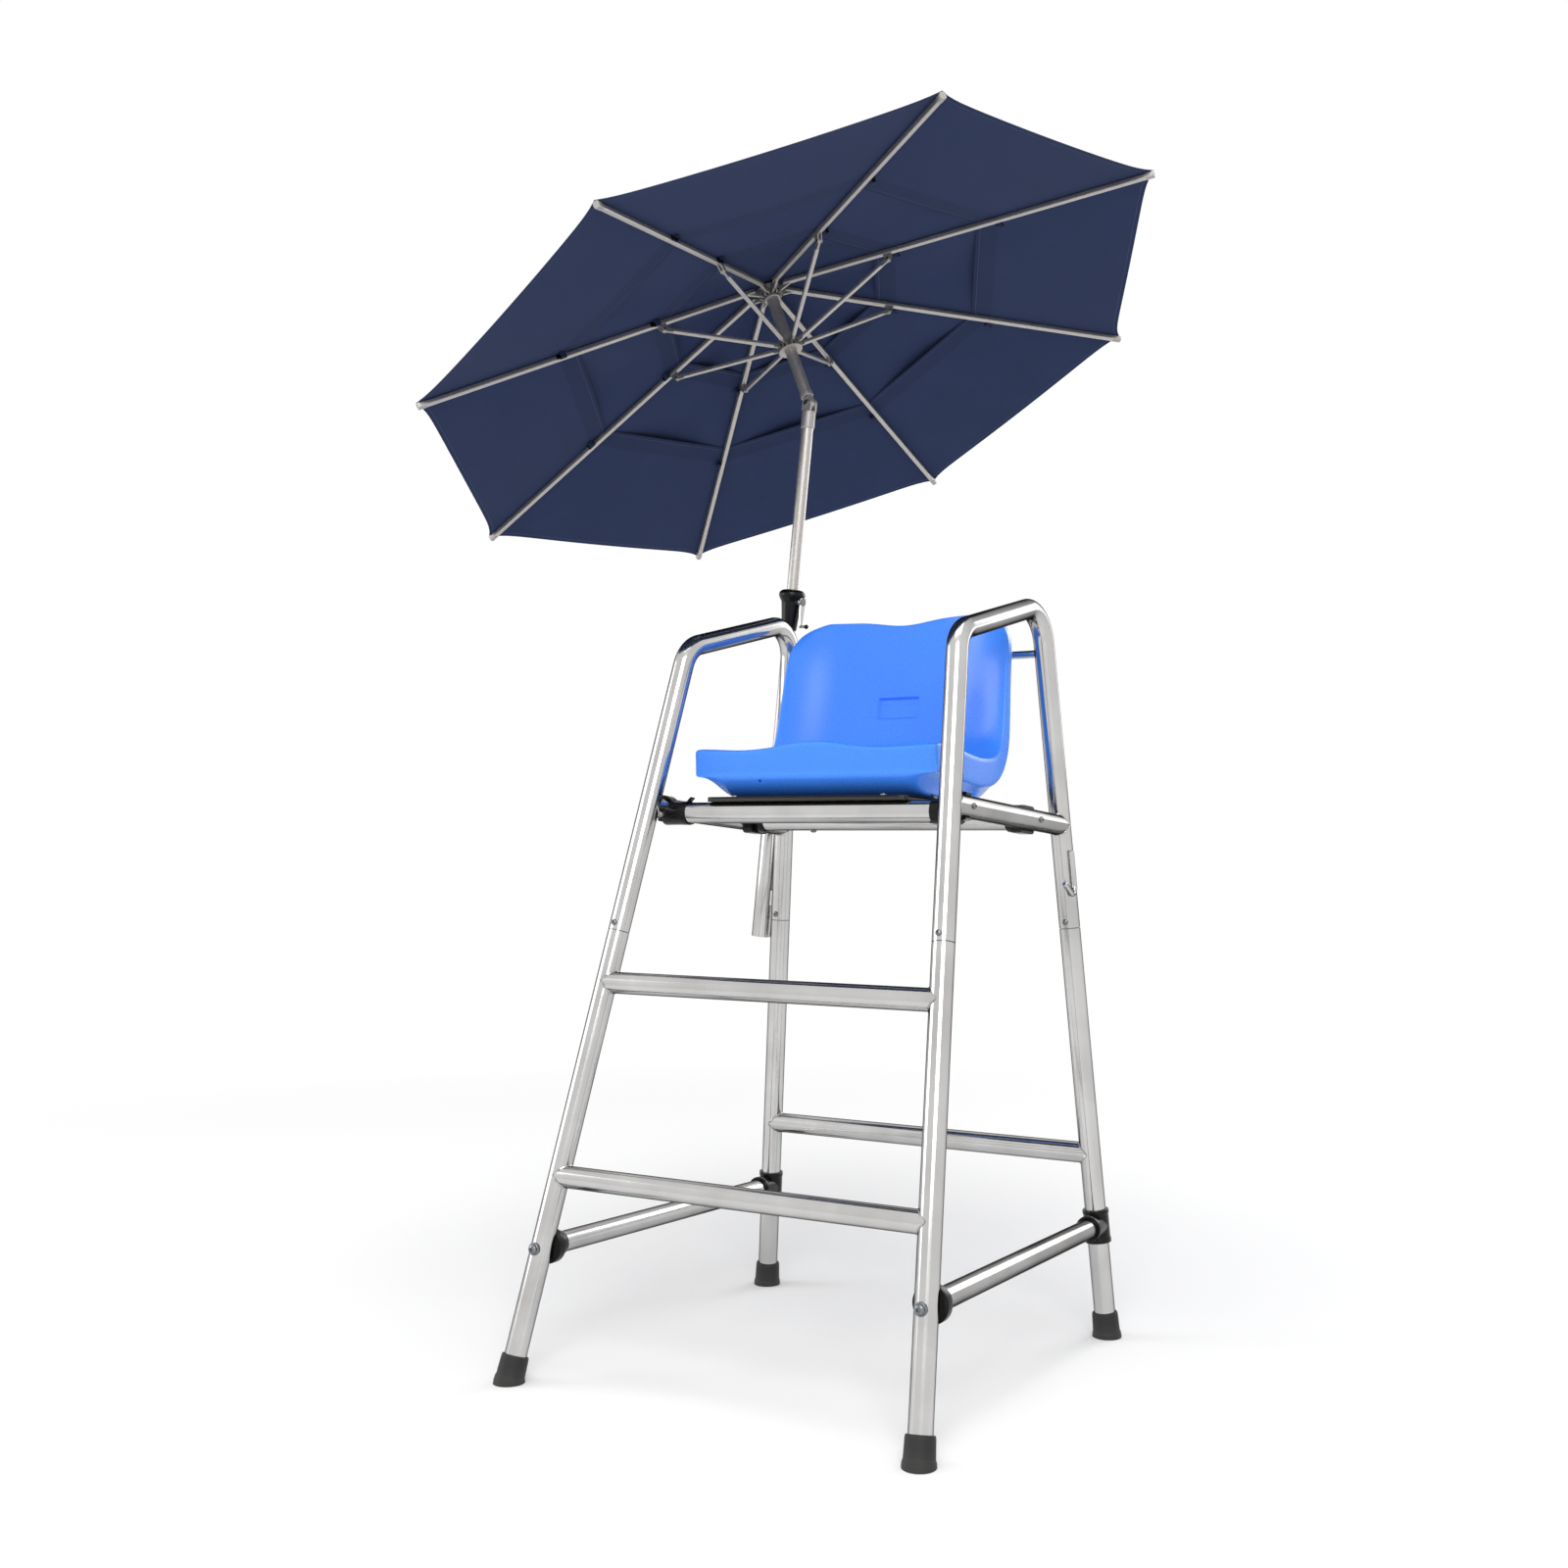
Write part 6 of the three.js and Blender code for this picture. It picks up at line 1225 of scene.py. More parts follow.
class LIFEGUARD_OT_umbrella_socket(bpy.types.Operator):
    """Makes the umbrella socket with its tabs and liner, and the clamp knob"""
    bl_idname = "lifeguard.umbrella_socket"
    bl_label = "Umbrella socket"

    def execute(self, context):
        steel, black = finish("stainless"), finish("plastic")
        top = towards(MAST_FOOT, TILT_PIVOT, SOCKET_LENGTH)
        wall = turned(MAST_FOOT, top, SOCKET_PROFILE, 0.4, TURNED_SIDES, closed=True)
        centre = towards(MAST_FOOT, TILT_PIVOT, SOCKET_LENGTH * KNOB_PLACE_SHARE)
        out = Vector((math.cos(KNOB_HEADING), math.sin(KNOB_HEADING), 0))
        out = (out - MAST_UP * out.dot(MAST_UP)).normalized()
        boss = turned(centre, centre + out, KNOB_BOSS_PROFILE, 0.8, 32)
        tabs = []
        for share in TAB_PLACE_SHARES:
            spot = towards(MAST_FOOT, TILT_PIVOT, SOCKET_LENGTH * share)
            leg = leg_at("left", "rear", spot.z)
            across = leg - spot
            middle = frame_of(spot + across * 0.5, across, MAST_UP)
            tabs.append(block((across.length - TAB_INTO_TUBES, *TAB_SIZE), middle, 1.2))
        piece("socket_tube", [painted(mesh, steel) for mesh in (wall, boss, *tabs)], "chair",
              ["umbrella_socket"])
        liner = painted(turned(MAST_FOOT, TILT_PIVOT, LINER_PROFILE, 0.7, TUBE_SIDES), black)
        piece("socket_sleeve", [liner], "chair", ["socket_liner"])
        outline = []
        for k in range(KNOB_STEPS):
            angle = 2 * math.pi * k / KNOB_STEPS
            reach = KNOB_RADIUS - KNOB_DENT * (1 - math.cos(KNOB_LOBES * angle))
            outline.append((reach * math.cos(angle), reach * math.sin(angle)))
        grip = prism(outline, *KNOB_LEVELS, frame_of(centre, MAST_UP, out), 1.6)
        screw = turned(centre, centre + out, KNOB_SCREW_PROFILE, 0, 24)
        piece("clamp_grip", [painted(grip, black), painted(screw, finish("zinc"))], "clamp_knob",
              ["socket_knob"])
        return {"FINISHED"}


MAST_FOOT_LIFT, MAST_TOP = 6.4, -20
SLEEVE_FOOT = -50
SLEEVE_PROFILE = ((11, 0), (13.4, 0), (14, 1.2), (14, 34), (12, 36), (0, 36))
FORK_LEVELS, FORK_RADIUS, FORK_REACH = ((5.3, 10.3), (-10.3, -5.3)), 11, -16
TONGUE_HALF, TONGUE_RADIUS, TONGUE_REACH = 5, 10, 20
RIVET_FOOT = -13.3
RIVET_PROFILE = (
    (0, 0), (4, 0), (6.5, 1.2), (6.5, 3), (4, 3), (4, 23.6), (6.5, 23.6), (6.5, 25.4), (4, 26.6), (0, 26.6),
)
CRANK_HEADING, CRANK_LEVEL = math.radians(88), -401
CASE_FOOT = -459
CASE_PROFILE = (
    (12.4, 0), (14.2, 0), (15.4, 6), (20.6, 58), (25.4, 66), (27, 71), (26, 77), (21, 81.4), (12.4, 83),
)
CASE_BOSS_PROFILE = ((0, 12), (10.4, 12), (10, 24), (9, 25), (0, 25))
ARM_OUTLINE, ARM_STAND, ARM_THICKNESS = ((8, -7.5), (8, 7.5), (-49, 3.5), (-52.5, 0), (-49, -3.5)), 28.3, 3
ARM_LENGTH = 49
CAP_PROFILE = ((0, 17), (3, 17), (3, 25.3), (9.5, 25.3), (9.5, 30.4), (8.5, 31.3), (0, 31.6))
GRIP_STAND, GRIP_PROFILE = 31.4, ((0, -3), (3.2, -3), (3.2, 0), (2.6, 1), (2.6, 12), (0, 12))
BALL_RADIUS, BALL_CENTRE = 4.6, 14
UPPER_POLE_FOOT, UPPER_POLE_OVER_HUB = 18, 8.7
COLLAR_FOOT = 12
COLLAR_PROFILE = ((0, 3), (12.6, 3), (13, 4), (13, 13), (12, 14.4), (0, 14.4))


def on_pole(pole, height, across=0):
    """A place on the axis of a pole, or across it along the tilt hinge."""
    return pole @ Vector((across, 0, height))


class LIFEGUARD_OT_mast(bpy.types.Operator):
    """Makes the lower pole with its fork, the crank housing and the crank"""
    bl_idname = "lifeguard.mast"
    bl_label = "Lower pole and crank"

    def cheek(self, low, high, radius, reach, matrix):
        """A hinge plate square to the pin: round about it, with a stem down or up to a height."""
        turn = [i * math.pi / 16 for i in range(17)]
        sign = 1 if reach < 0 else -1
        outline = [(radius * math.cos(a), sign * radius * math.sin(a)) for a in turn] + [(-radius, reach),
                                                                                         (radius, reach)]
        across = Matrix(((0, 0, 1, 0), (1, 0, 0, 0), (0, 1, 0, 0), (0, 0, 0, 1)))
        return prism(outline[::sign], low, high, matrix @ across, 0.7)

    def execute(self, context):
        self.lower_pole()
        self.crank()
        self.upper_pole()
        return {"FINISHED"}

    def lower_pole(self):
        cast = finish("cast")
        foot = towards(MAST_FOOT, TILT_PIVOT, MAST_FOOT_LIFT)
        pole = tubes([[foot, on_pole(MAST, MAST_TOP)]], POLE_RADIUS, finish("aluminium"), 40)
        sleeve = turned(on_pole(MAST, SLEEVE_FOOT), on_pole(MAST, 0), SLEEVE_PROFILE, 0.8, 40)
        cheeks = [self.cheek(low, high, FORK_RADIUS, FORK_REACH, MAST) for low, high in FORK_LEVELS]
        rivet = turned(on_pole(MAST, 0, RIVET_FOOT), on_pole(MAST, 0), RIVET_PROFILE, 0.3, 28)
        fork = [painted(mesh, cast) for mesh in (sleeve, *cheeks)]
        piece("mast_pole", [pole, *fork, painted(rivet, finish("zinc"))], "mast", ["pole_lower"])

    def crank(self):
        zinc, black = finish("zinc"), finish("plastic")
        out = MAST.to_3x3() @ Vector((math.cos(CRANK_HEADING), math.sin(CRANK_HEADING), 0))
        hub = on_pole(MAST, CRANK_LEVEL)
        body = turned(on_pole(MAST, CASE_FOOT), on_pole(MAST, 0), CASE_PROFILE, 2.4, TURNED_SIDES,
                      closed=True)
        boss = turned(hub, hub + out, CASE_BOSS_PROFILE, 0.6, 40)
        piece("crank_case", [painted(body, black), painted(boss, black)], "mast", ["crank_housing"])
        arm_frame = frame_of(hub + out * ARM_STAND, MAST_UP, out)
        arm = prism(softened(ARM_OUTLINE, 2.4, 4, True), 0, ARM_THICKNESS, arm_frame, 0.5)
        cap = turned(hub, hub + out, CAP_PROFILE, 0.5, 36)
        grip_foot = hub + out * GRIP_STAND - MAST_UP * ARM_LENGTH
        grip = turned(grip_foot, grip_foot + out, GRIP_PROFILE, 0.5, 24)
        turns = [i * math.pi / 10 for i in range(11)]
        ball = [(BALL_RADIUS * math.sin(a), BALL_CENTRE - BALL_RADIUS * math.cos(a)) for a in turns]
        knob = painted(turned(grip_foot, grip_foot + out, ball, 0, 24), black)
        piece("crank_handle", [painted(arm, finish("stainless")), painted(cap, zinc), painted(grip, zinc),
                               knob],
              "crank", ["crank_arm"])

    def upper_pole(self):
        cast = finish("cast")
        ends = [on_pole(HEAD, UPPER_POLE_FOOT), on_pole(HEAD, HUB_CENTRE + UPPER_POLE_OVER_HUB)]
        pole = tubes([ends], POLE_RADIUS, finish("aluminium"), 40)
        tongue = self.cheek(-TONGUE_HALF, TONGUE_HALF, TONGUE_RADIUS, TONGUE_REACH, HEAD)
        collar = turned(on_pole(HEAD, COLLAR_FOOT), on_pole(HEAD, TONGUE_REACH), COLLAR_PROFILE, 0.6, 40)
        piece("upper_mast", [pole, painted(tongue, cast), painted(collar, cast)], "upper_pole",
              ["pole_upper"])


RUNNER_COLLAR = 11
LUG_OUTLINE = ((13, -7), (21, -9), (25, -6), (25, 12), (13, 12))
LUG_HALF, LUG_OFFSET, LINK_BEVEL = 0.9, 4.2, 0.4
HUB_PIN_HALF = 5.6
HUB_PIN_PROFILE = (
    (0, 0), (2.4, 0.2), (2.4, 0.8), (1.5, 1), (1.5, 10.2), (2.4, 10.4), (2.4, 11), (0, 11.2),
)
STRUT_PIN_HALF = 6
STRUT_PIN_PROFILE = (
    (0, 0), (2.6, 0.3), (2.6, 1), (1.5, 1.2), (1.5, 10.8), (2.6, 11), (2.6, 11.7), (0, 12),
)
EYE_RADIUS = 4.4
RIB_SECTION, RIB_LIFT = (10, 11, 2.4), 2.5
RIB_TUBE_START, RIB_TUBE_END, RIB_LINK_THICKNESS = 36, 6, 4.6
RIB_TAIL = ((52, -2.6), (52, 5), (36, 1))
TIP_OUTLINE, TIP_LENGTH, TIP_BEVEL = (11, 12, 3), 16, 2.0
CHEEK_HALF_LENGTH, CHEEK_RADIUS, CHEEK_OFFSET = 9, 5, 3.7
CLIP_SIZE, CLIP_PLACE = (14, 3, 9), (6.2, 2)
CLIP_HOOK = ((-4, 7, 1), (-4, 12, 1), (-4, 12, -6), (5, 12, -6))
CLIP_HOOK_RADIUS, CLIP_HOOK_BEND = 1.6, 2.6
STRUT_SECTION, STRUT_TUBE_START, STRUT_TUBE_END = (8.4, 8.4, 2.2), 18, 14
STRUT_LINK_THICKNESS, STRUT_OUTER_TAIL, STRUT_INNER_TAIL = 4.4, 32, 28
FINIAL_OVER_CLOTH, FINIAL_FOOT = 9.4, 3.4
FINIAL_PROFILE = (
    (0, -14), (6, -14), (6, 0), (23, 0), (23, 2.5), (21, 6), (11, 12), (8, 17), (6, 19.4), (0, 20),
)


class LIFEGUARD_OT_umbrella_frame(bpy.types.Operator):
    """Makes the hub, runner, ribs, struts and finial"""
    bl_idname = "lifeguard.umbrella_frame"
    bl_label = "Umbrella frame"

    def slotted_ring(self, centre, collar, flip):
        """A ring with one lug each side of every link, and the pins in them."""
        low, high = on_pole(HEAD, centre), on_pole(HEAD, centre + flip)
        profile = [(12.4, -13 - collar), (16.4, -13 - collar), (17, -12 - collar), (17, -9), (14.4, -8),
                   (14.4, 8), (20, 10.5),
                   (25, 10.5), (25, 13), (12.4, 13)]
        core = turned(low, high, profile, 0.5, TUBE_SIDES, closed=True)
        lugs, pins = [], []
        for k in range(RIB_COUNT):
            plane = HEAD @ Matrix.Translation((0, 0, centre)) @ Matrix.Rotation(rib_heading(k), 4, "Z")
            for side in (-1, 1):
                shape = softened(LUG_OUTLINE, 2.5, 4, True)
                outline = [(p.x, p.y * flip) for p in shape][::1 if flip > 0 else -1]
                lugs.append(prism(outline, -LUG_HALF, LUG_HALF, plane @ standing(side * LUG_OFFSET, 1),
                                  LINK_BEVEL))
            ends = [plane @ Vector((PIVOT_RADIUS, y, 0)) for y in (-HUB_PIN_HALF, HUB_PIN_HALF)]
            pins.append(turned(*ends, HUB_PIN_PROFILE, 0, 16))
        return [painted(m, finish("cast")) for m in (core, *lugs)] + [painted(m,
                                                                              finish("zinc")) for m in pins]

    def link_end(self, eye, tail, thickness):
        """A flat link end: an eye with a tail that runs into the bar."""
        turns = [math.pi / 2 + i * math.pi / 10 for i in range(11)]
        outline = [(eye[0] + EYE_RADIUS * math.cos(a), eye[1] + EYE_RADIUS * math.sin(a)) for a in turns]
        return prism([*outline, *tail], -thickness / 2, thickness / 2, standing(), LINK_BEVEL)

    def rib_parts(self):
        """The parts of one rib in its own frame, still in the row frame's place."""
        aluminium, cast, black = finish("aluminium"), finish("cast"), finish("plastic")
        bar = box_section(RIB_TUBE_START, RIB_LENGTH - RIB_TUBE_END, *RIB_SECTION, aluminium)
        bar.transform(TO_ROW @ Matrix.Translation((0, 0, RIB_LIFT)))
        eye = self.link_end((RIB_PIVOT_RUN, -RIB_PIVOT_DROP), RIB_TAIL, RIB_LINK_THICKNESS)
        turn = Matrix.Rotation(math.pi / 2, 4, "Y") @ Matrix.Rotation(math.pi / 2, 4, "Z")
        end = Matrix.Translation((RIB_LENGTH - TIP_LENGTH, 0, RIB_LIFT)) @ turn
        tip = prism(rectangle(*TIP_OUTLINE), 0, TIP_LENGTH, end, TIP_BEVEL)
        parts = [bar, painted(eye, cast), painted(tip, cast)]
        turns = [math.pi + i * math.pi / 10 for i in range(11)]
        cheek = [(STRUT_REACH + CHEEK_HALF_LENGTH, -2), (STRUT_REACH - CHEEK_HALF_LENGTH, -2)]
        cheek += [(STRUT_REACH + CHEEK_RADIUS * math.cos(a),
                   -STRUT_DROP + CHEEK_RADIUS * math.sin(a)) for a in turns]
        for side in (-1, 1):
            parts.append(painted(prism(cheek, -1, 1, standing(side * CHEEK_OFFSET), 0.3), cast))
        pin = [Vector((STRUT_REACH, y, -STRUT_DROP)) for y in (-STRUT_PIN_HALF, STRUT_PIN_HALF)]
        parts.append(painted(turned(*pin, STRUT_PIN_PROFILE, 0, 16), finish("zinc")))
        for share in TIER_EDGES[:-1]:
            run = share * RIB_LENGTH
            base = block(CLIP_SIZE, Matrix.Translation((run, *CLIP_PLACE)), 0.8)
            route = [(run + x, y, z) for x, y, z in CLIP_HOOK]
            parts += [painted(base, black), tubes([route], CLIP_HOOK_RADIUS, black, 12, CLIP_HOOK_BEND, 6)]
        return parts

    def strut_parts(self, length):
        aluminium, cast = finish("aluminium"), finish("cast")
        bar = box_section(STRUT_TUBE_START, length - STRUT_TUBE_END, *STRUT_SECTION, aluminium)
        bar.transform(TO_ROW)
        outer, inner = (self.link_end((0, 0), [(tail, -3.9), (tail, 3.9), (8.8, 4.2)], STRUT_LINK_THICKNESS)
                        for tail in (STRUT_OUTER_TAIL, STRUT_INNER_TAIL))
        far_end = Matrix.Translation((length, 0, 0)) @ Matrix.Rotation(math.pi, 4, "Z")
        inner.transform(TO_ROW @ far_end @ TO_ROW.inverted())
        return [bar, painted(outer, cast), painted(inner, cast)]

    def execute(self, context):
        piece("hub", self.slotted_ring(HUB_CENTRE, 0, 1), "upper_pole", ["umbrella_hub"])
        piece("runner_ring", self.slotted_ring(RUNNER_CENTRE, RUNNER_COLLAR, -1), "runner",
              ["umbrella_runner"])
        direction = RUNNER_PIVOT - STRUT_PIVOT
        strut_local = frame_of(STRUT_PIVOT, direction, Vector((0, 1, 0)).cross(direction) * -1)
        ribs, struts = self.rib_parts(), self.strut_parts(direction.length)
        for k in range(RIB_COUNT):
            for name, parts, place in (
                (f"rib_{k + 1}", ribs, rib_frame(k)),
                (f"strut_{k + 1}", struts, rib_plane(k) @ strut_local),
            ):
                moved = [mesh.copy() for mesh in parts]
                for mesh in moved:
                    mesh.transform(TO_ROW @ place @ TO_ROW.inverted())
                piece(f"umbrella_{name}", moved, name, [name])
        foot = CROWN_HEIGHT - CLOTH_HOLE / math.tan(RIB_ANGLE) + FINIAL_OVER_CLOTH + FINIAL_FOOT
        knob = turned(on_pole(HEAD, foot), on_pole(HEAD, foot + 1), FINIAL_PROFILE, 1.4, TUBE_SIDES)
        piece("finial_cap", [painted(knob, finish("plastic"))], "upper_pole", ["finial"])
        return {"FINISHED"}


GORE_STEPS = 16
RUN_SHARES = (0, 0.004, 0.02, 0.06, *(i / 20 for i in range(2, 19)), 0.94, 0.965, 0.985, 0.996, 1)
RIB_TOP, CLOTH_STAND, CLOTH_CLEARANCE = 8, 7, 0.5
FOLD_WIDTH_OF_HEM, FOLD_SWELL = 13, 0.5
LAP_LIFT, LAP_RISE_SHARE = 0.6, 0.8
LOOP_OUTLINE = ((7, 8.6), (7, -5), (14.5, -7), (15.5, 8.6))
LOOP_BACK, LOOP_HALF_WIDTH, LOOP_THICKNESS = 4, 6, 0.001


class LIFEGUARD_OT_canopy(bpy.types.Operator):
    """Cuts and stretches the three tiers of canopy cloth, one panel on each rib, with sewn loops"""
    bl_idname = "lifeguard.canopy"
    bl_label = "Canopy"

    def tier(self, tier, settings):
        """Rows of points over one rib: the top face, the under face, the places in the cut, the hem distance."""
        tan, cos = math.tan(math.pi / RIB_COUNT), math.cos(math.pi / RIB_COUNT)
        thickness, sag = settings.thickness / MM, settings.sag / MM
        outer = TIER_EDGES[tier] * RIB_LENGTH
        inner = CLOTH_HOLE / math.sin(RIB_ANGLE) if tier == 0 else TIER_EDGES[tier - 1] * RIB_LENGTH - TIER_LAP
        lowest = tier == len(TIER_EDGES) - 1
        base = RIB_TOP + CLOTH_STAND * tan * math.cos(RIB_ANGLE) + CLOTH_CLEARANCE
        gores = [i / GORE_STEPS for i in range(-GORE_STEPS, GORE_STEPS + 1)]
        rows = []
        for place in RUN_SHARES:
            row = []
            for gore in gores:
                side = abs(gore)
                inset = HEM_INSET * (1 - math.exp(-outer * tan * side / (HEM_EAR / 2))) if lowest else 0
                run = inner + (outer - inset - inner) * place
                lap = 0 if lowest else eased(place / LAP_RISE_SHARE)
                lift = LAP_LIFT * lap + TIER_VENT * lap * eased(side)
                edge = min(place * (outer - inner), (1 - place) * (outer - inset - inner))
                hang = sag * (run / RIB_LENGTH) ** 2 * (1 - (1 - side) ** 2)
                fold = FOLD_SWELL if edge < FOLD_WIDTH_OF_HEM else 0
                middle = base + lift - hang
                points = []
                for rise in (middle + thickness + fold, middle - fold):
                    spot = RIB_OUT * run + RIB_UP * rise
                    across = spot.x * tan * cos ** 2
                    points.append(Vector((spot.x - across * tan * side, across * gore, spot.z)))
                row.append((points[0], points[1], (run * tan * gore * MM, run * MM), edge * MM))
            rows.append(row)
        return rows

    def cloth(self, rows):
        """A closed thin mesh with its places in the cut and its distance from the hem; also its flat area."""
        count, width = len(rows), len(rows[0])
        bm = bmesh.new()
        uv = bm.loops.layers.uv.new("UVMap")
        hem = bm.verts.layers.float.new("hem")
        layers = []
        for side in (0, 1):
            grid = []
            for row in rows:
                line = []
                for cell in row:
                    vertex = bm.verts.new(cell[side])
                    vertex[hem] = cell[3]
                    line.append(vertex)
                grid.append(line)
            layers.append(grid)

        def quad(corners, places):
            face = bm.faces.new(corners)
            for loop, place in zip(face.loops, places):
                loop[uv].uv = place

        place = lambda i, j: rows[i][j][2]
        for i in range(count - 1):
            for j in range(width - 1):
                cells = [(i, j), (i, j + 1), (i + 1, j + 1), (i + 1, j)]
                quad([layers[0][a][b] for a, b in cells], [place(a, b) for a, b in cells])
                quad([layers[1][a][b] for a, b in cells[::-1]], [place(a, b) for a, b in cells[::-1]])
        rim = [(0, j) for j in range(width)] + [(i, width - 1) for i in range(1, count)]
        rim += [(count - 1, j) for j in range(width - 2, -1, -1)] + [(i, 0) for i in range(count - 2, 0, -1)]
        for (a, b), (c, d) in zip(rim, rim[1:] + rim[:1]):
            quad([layers[0][a][b], layers[1][a][b], layers[1][c][d], layers[0][c][d]],
                 [place(a, b), place(a, b), place(c, d), place(c, d)])
        bmesh.ops.recalc_face_normals(bm, faces=bm.faces)
        total = sum(face.calc_area() for face in bm.faces) / 2 * MM * MM
        return bm, total

    def execute(self, context):
        settings = context.scene.lifeguard_canopy
        names = ("top", "middle", "lower")
        for tier, tier_name in enumerate(names):
            rows = self.tier(tier, settings)
            for k in range(RIB_COUNT):
                bm, area = self.cloth(rows)
                bm.transform(TO_ROW @ rib_plane(k))
                mesh = bpy.data.meshes.new("cloth")
                bm.to_mesh(mesh)
                bm.free()
                body = f"rib_{k + 1}"
                cloth = piece(f"canopy_{tier_name}_{k + 1}", [painted(mesh, finish("cloth"))], body,
                              [f"canopy_panel_{k + 1}"], 50)
                loops = [self.loop(tier, k, body)] if tier < 2 else []
                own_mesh(cloth)
        return {"FINISHED"}

    def loop(self, tier, k, body):
        """A short folded strap that ties a tier's hem to the hook on its rib."""
        run = TIER_EDGES[tier] * RIB_LENGTH - LOOP_BACK
        ring = softened(LOOP_OUTLINE, 3, 5, True)
        count = len(ring)
        points = [Vector((x, p.x, p.y)) for x in (run - LOOP_HALF_WIDTH,
                                                  run + LOOP_HALF_WIDTH) for p in ring]
        faces = [(i, (i + 1) % count, count + (i + 1) % count, count + i) for i in range(count)]
        mesh = mesh_from(points, faces, rib_frame(k))
        strap = piece(f"canopy_loop_{tier + 1}_{k + 1}", [painted(mesh, finish("cloth"))], body, ())
        wall = strap.modifiers.new("Webbing", "SOLIDIFY")
        wall.thickness, wall.offset = LOOP_THICKNESS, 0
        return strap


WHITE = (1, 1, 1, 1)
LIGHT_LEVEL = 0.62
# Distances and sizes in metres, power in watts
LAMPS = (
    ("key", (2.6, -4.2, 3.6), 2.6, 130), ("fill", (-4.2, -2.6, 2.2), 2.6, 70),
    ("top", (0.4, -0.6, 5.4), 3.2, 90),
    ("back", (1.5, 4.5, 2.6), 2.4, 60),
)
LAMP_TARGET = Vector((0.1, -0.2, 1.0))
CAMERA_PLACE = (1.8697, -3.0923, 0.9199)
CAMERA_PITCH, CAMERA_HEADING, SENSOR_WIDTH = 0.0271, 0.5507, 36
FLOOR_RINGS, FLOOR_SIDES, FLOOR_PIN, FLOOR_DROP = 8, 96, 0.001, 0.0006
FADE_START, FADE_END = 1.2, 3.6


def backdrop_seen(tree):
    """1 for rays from the camera, off polished pieces and through clear ones: these see the white backdrop."""
    path = add(tree, "ShaderNodeLightPath")
    seen = path.outputs["Is Camera Ray"]
    for ray in ("Is Glossy Ray", "Is Transmission Ray"):
        seen = add(tree, "ShaderNodeMath", {0: seen, 1: path.outputs[ray]},
                   operation="MAXIMUM").outputs["Value"]
    return seen


class LIFEGUARD_OT_stage(bpy.types.Operator):
    """Lays the pale floor and sets the soft light and the camera"""
    bl_idname = "lifeguard.stage"
    bl_label = "Studio"

    def floor(self, radius):
        turns = [2 * math.pi * k / FLOOR_SIDES for k in range(FLOOR_SIDES)]
        reaches = [FLOOR_PIN, *(radius * k / FLOOR_RINGS for k in range(1, FLOOR_RINGS + 1))]
        rows = [[Vector((reach * math.cos(a), reach * math.sin(a), 0)) for a in turns] for reach in reaches]
        mesh = bpy.data.meshes.new("floor")
        mesh.from_pydata([p for row in rows for p in row], [], rings(rows) + [tuple(range(FLOOR_SIDES))])
        floor = bpy.data.objects.new("studio_floor", mesh)
        floor.location.z = -FLOOR_DROP
        bpy.context.scene.collection.objects.link(floor)
        material, tree, shader = new_finish("Pale studio floor", Roughness=0.9)
        shader.inputs["Base Color"].default_value = linear("#F4F4F4")
        shader.inputs["Specular IOR Level"].default_value = 0.1
        place = add(tree, "ShaderNodeTexCoord").outputs["Object"]
        far = add(tree, "ShaderNodeVectorMath", {0: place}, operation="LENGTH").outputs["Value"]
        fade = add(tree, "ShaderNodeMapRange",
                   {"Value": far, "From Min": FADE_START, "From Max": FADE_END}).outputs["Result"]
        glow = add(tree, "ShaderNodeEmission", {"Color": WHITE, "Strength": 1.0}).outputs["Emission"]
        share = add(tree, "ShaderNodeMath", {0: backdrop_seen(tree), 1: fade},
                    operation="MULTIPLY").outputs["Value"]
        mix = add(tree, "ShaderNodeMixShader",
                  {0: share, 1: shader.outputs["BSDF"], 2: glow}).outputs["Shader"]
        output = next(node for node in tree.nodes if node.type == "OUTPUT_MATERIAL")
        tree.links.new(mix, output.inputs["Surface"])
        painted(mesh, material)

    def world(self, scene):
        """The white backdrop where it is seen, and an even grey as light."""
        world = bpy.data.worlds.new("Studio")
        world.use_nodes = True
        tree = world.node_tree
        tree.nodes.clear()
        lit = add(tree, "ShaderNodeBackground",
                  {"Color": WHITE, "Strength": LIGHT_LEVEL}).outputs["Background"]
        white = add(tree, "ShaderNodeBackground", {"Color": WHITE, "Strength": 1.0}).outputs["Background"]
        mix = add(tree, "ShaderNodeMixShader", {0: backdrop_seen(tree), 1: lit, 2: white}).outputs["Shader"]
        add(tree, "ShaderNodeOutputWorld", {"Surface": mix})
        scene.world = world

    def execute(self, context):
        scene = context.scene
        settings = scene.lifeguard_stage
        scene.view_settings.view_transform = "Standard"
        self.floor(settings.floor_radius)
        self.world(scene)
        for name, place, size, power in LAMPS:
            lamp = bpy.data.lights.new(name, "AREA")
            lamp.shape, lamp.size, lamp.energy = "SQUARE", size, power
            holder = bpy.data.objects.new(f"lamp_{name}", lamp)
            holder.location = place
            holder.rotation_euler = (LAMP_TARGET - Vector(place)).to_track_quat("-Z", "Y").to_euler()
            scene.collection.objects.link(holder)
        camera = bpy.data.cameras.new("photo_camera")
        camera.lens, camera.sensor_width = settings.lens, SENSOR_WIDTH
        holder = bpy.data.objects.new("photo_camera", camera)
        holder.location = CAMERA_PLACE
        holder.rotation_euler = (math.pi / 2 + CAMERA_PITCH, 0, CAMERA_HEADING)
        scene.collection.objects.link(holder)
        scene.camera = holder
        return {"FINISHED"}


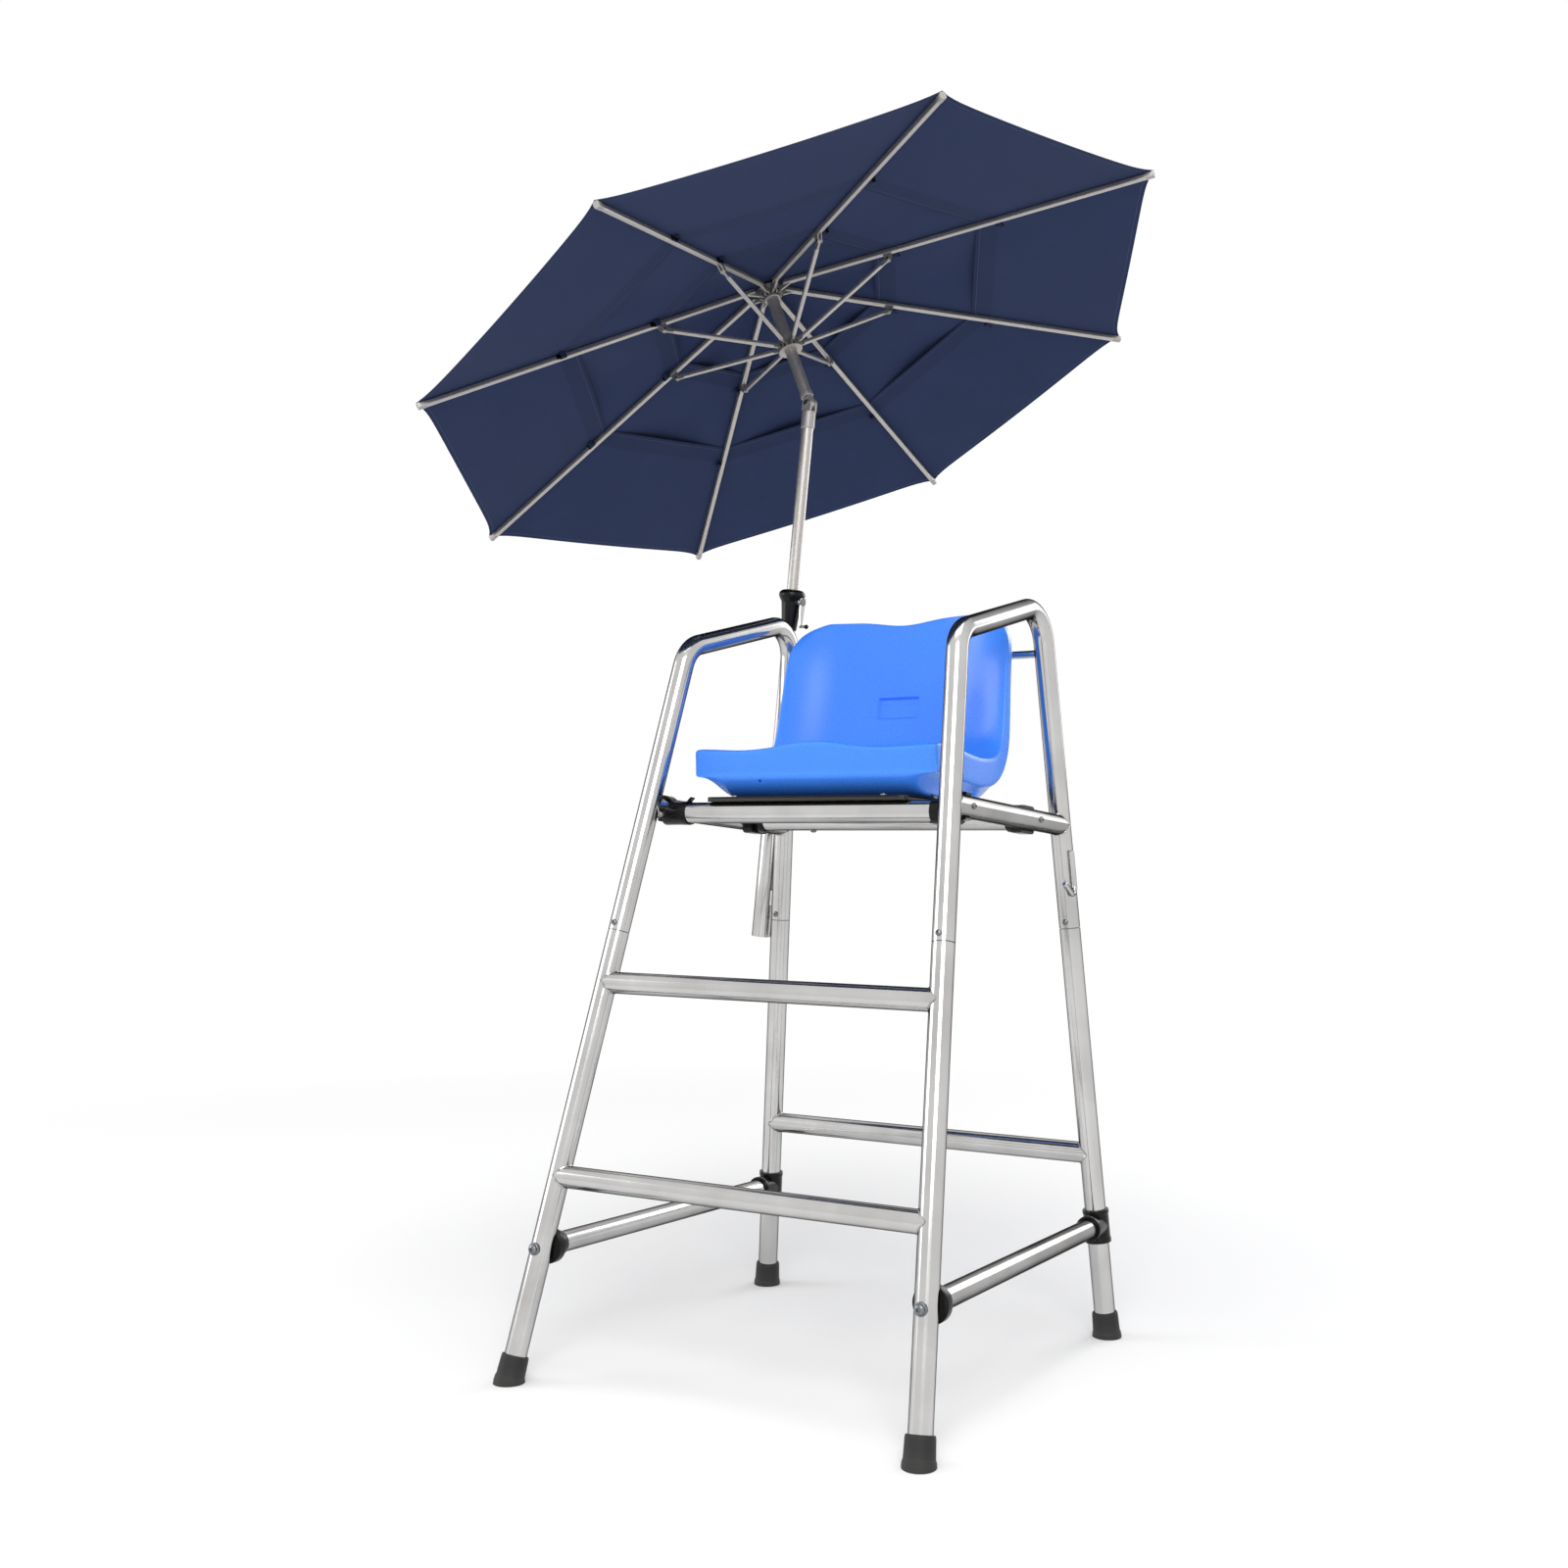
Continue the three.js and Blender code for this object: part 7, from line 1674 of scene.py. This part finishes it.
class LIFEGUARD_PT_panel(bpy.types.Panel):
    """Lists the chair's pieces in the order they are made"""
    bl_idname = "LIFEGUARD_PT_panel"
    bl_label = "Lifeguard Chair"
    bl_space_type = "VIEW_3D"
    bl_region_type = "UI"
    bl_category = "Lifeguard Chair"

    def draw(self, context):
        for settings, names in (
            (context.scene.lifeguard_finishes, ("seat_colour", "cloth_colour")),
            (context.scene.lifeguard_frame, ("bend_steps", "weld_bead")),
            (context.scene.lifeguard_canopy, ("sag", "thickness")),
            (context.scene.lifeguard_stage, ("lens", "floor_radius")),
        ):
            for name in names:
                self.layout.prop(settings, name)
        for operator in PIECE_OPERATORS:
            self.layout.operator(operator.bl_idname)


PIECE_OPERATORS = (
    LIFEGUARD_OT_side_frames, LIFEGUARD_OT_ladders, LIFEGUARD_OT_rubber_feet, LIFEGUARD_OT_rails,
    LIFEGUARD_OT_fittings, LIFEGUARD_OT_fasteners, LIFEGUARD_OT_ring_hook, LIFEGUARD_OT_bucket_seat,
    LIFEGUARD_OT_base_plate, LIFEGUARD_OT_umbrella_socket, LIFEGUARD_OT_mast, LIFEGUARD_OT_umbrella_frame,
    LIFEGUARD_OT_canopy, LIFEGUARD_OT_stage,
)
SETTINGS = (
    ("lifeguard_finishes", ChairFinishes), ("lifeguard_frame", FrameSettings),
    ("lifeguard_canopy", CanopySettings),
    ("lifeguard_stage", StageSettings),
)


def register():
    for name, kind in SETTINGS:
        bpy.utils.register_class(kind)
        setattr(bpy.types.Scene, name, PointerProperty(type=kind))
    for kind in (*PIECE_OPERATORS, LIFEGUARD_PT_panel):
        bpy.utils.register_class(kind)


def unregister():
    for kind in (LIFEGUARD_PT_panel, *reversed(PIECE_OPERATORS)):
        bpy.utils.unregister_class(kind)
    for name, kind in reversed(SETTINGS):
        delattr(bpy.types.Scene, name)
        bpy.utils.unregister_class(kind)


def main():
    register()
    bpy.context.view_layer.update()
    bpy.ops.lifeguard.side_frames()
    bpy.ops.lifeguard.ladders()
    bpy.ops.lifeguard.rubber_feet()
    bpy.ops.lifeguard.rails()
    bpy.ops.lifeguard.fittings()
    bpy.ops.lifeguard.fasteners()
    bpy.ops.lifeguard.ring_hook()
    bpy.ops.lifeguard.bucket_seat()
    bpy.ops.lifeguard.base_plate()
    bpy.ops.lifeguard.umbrella_socket()
    bpy.ops.lifeguard.mast()
    bpy.ops.lifeguard.umbrella_frame()
    bpy.ops.lifeguard.canopy()
    bpy.ops.lifeguard.stage()


if __name__ == "__main__":
    main()
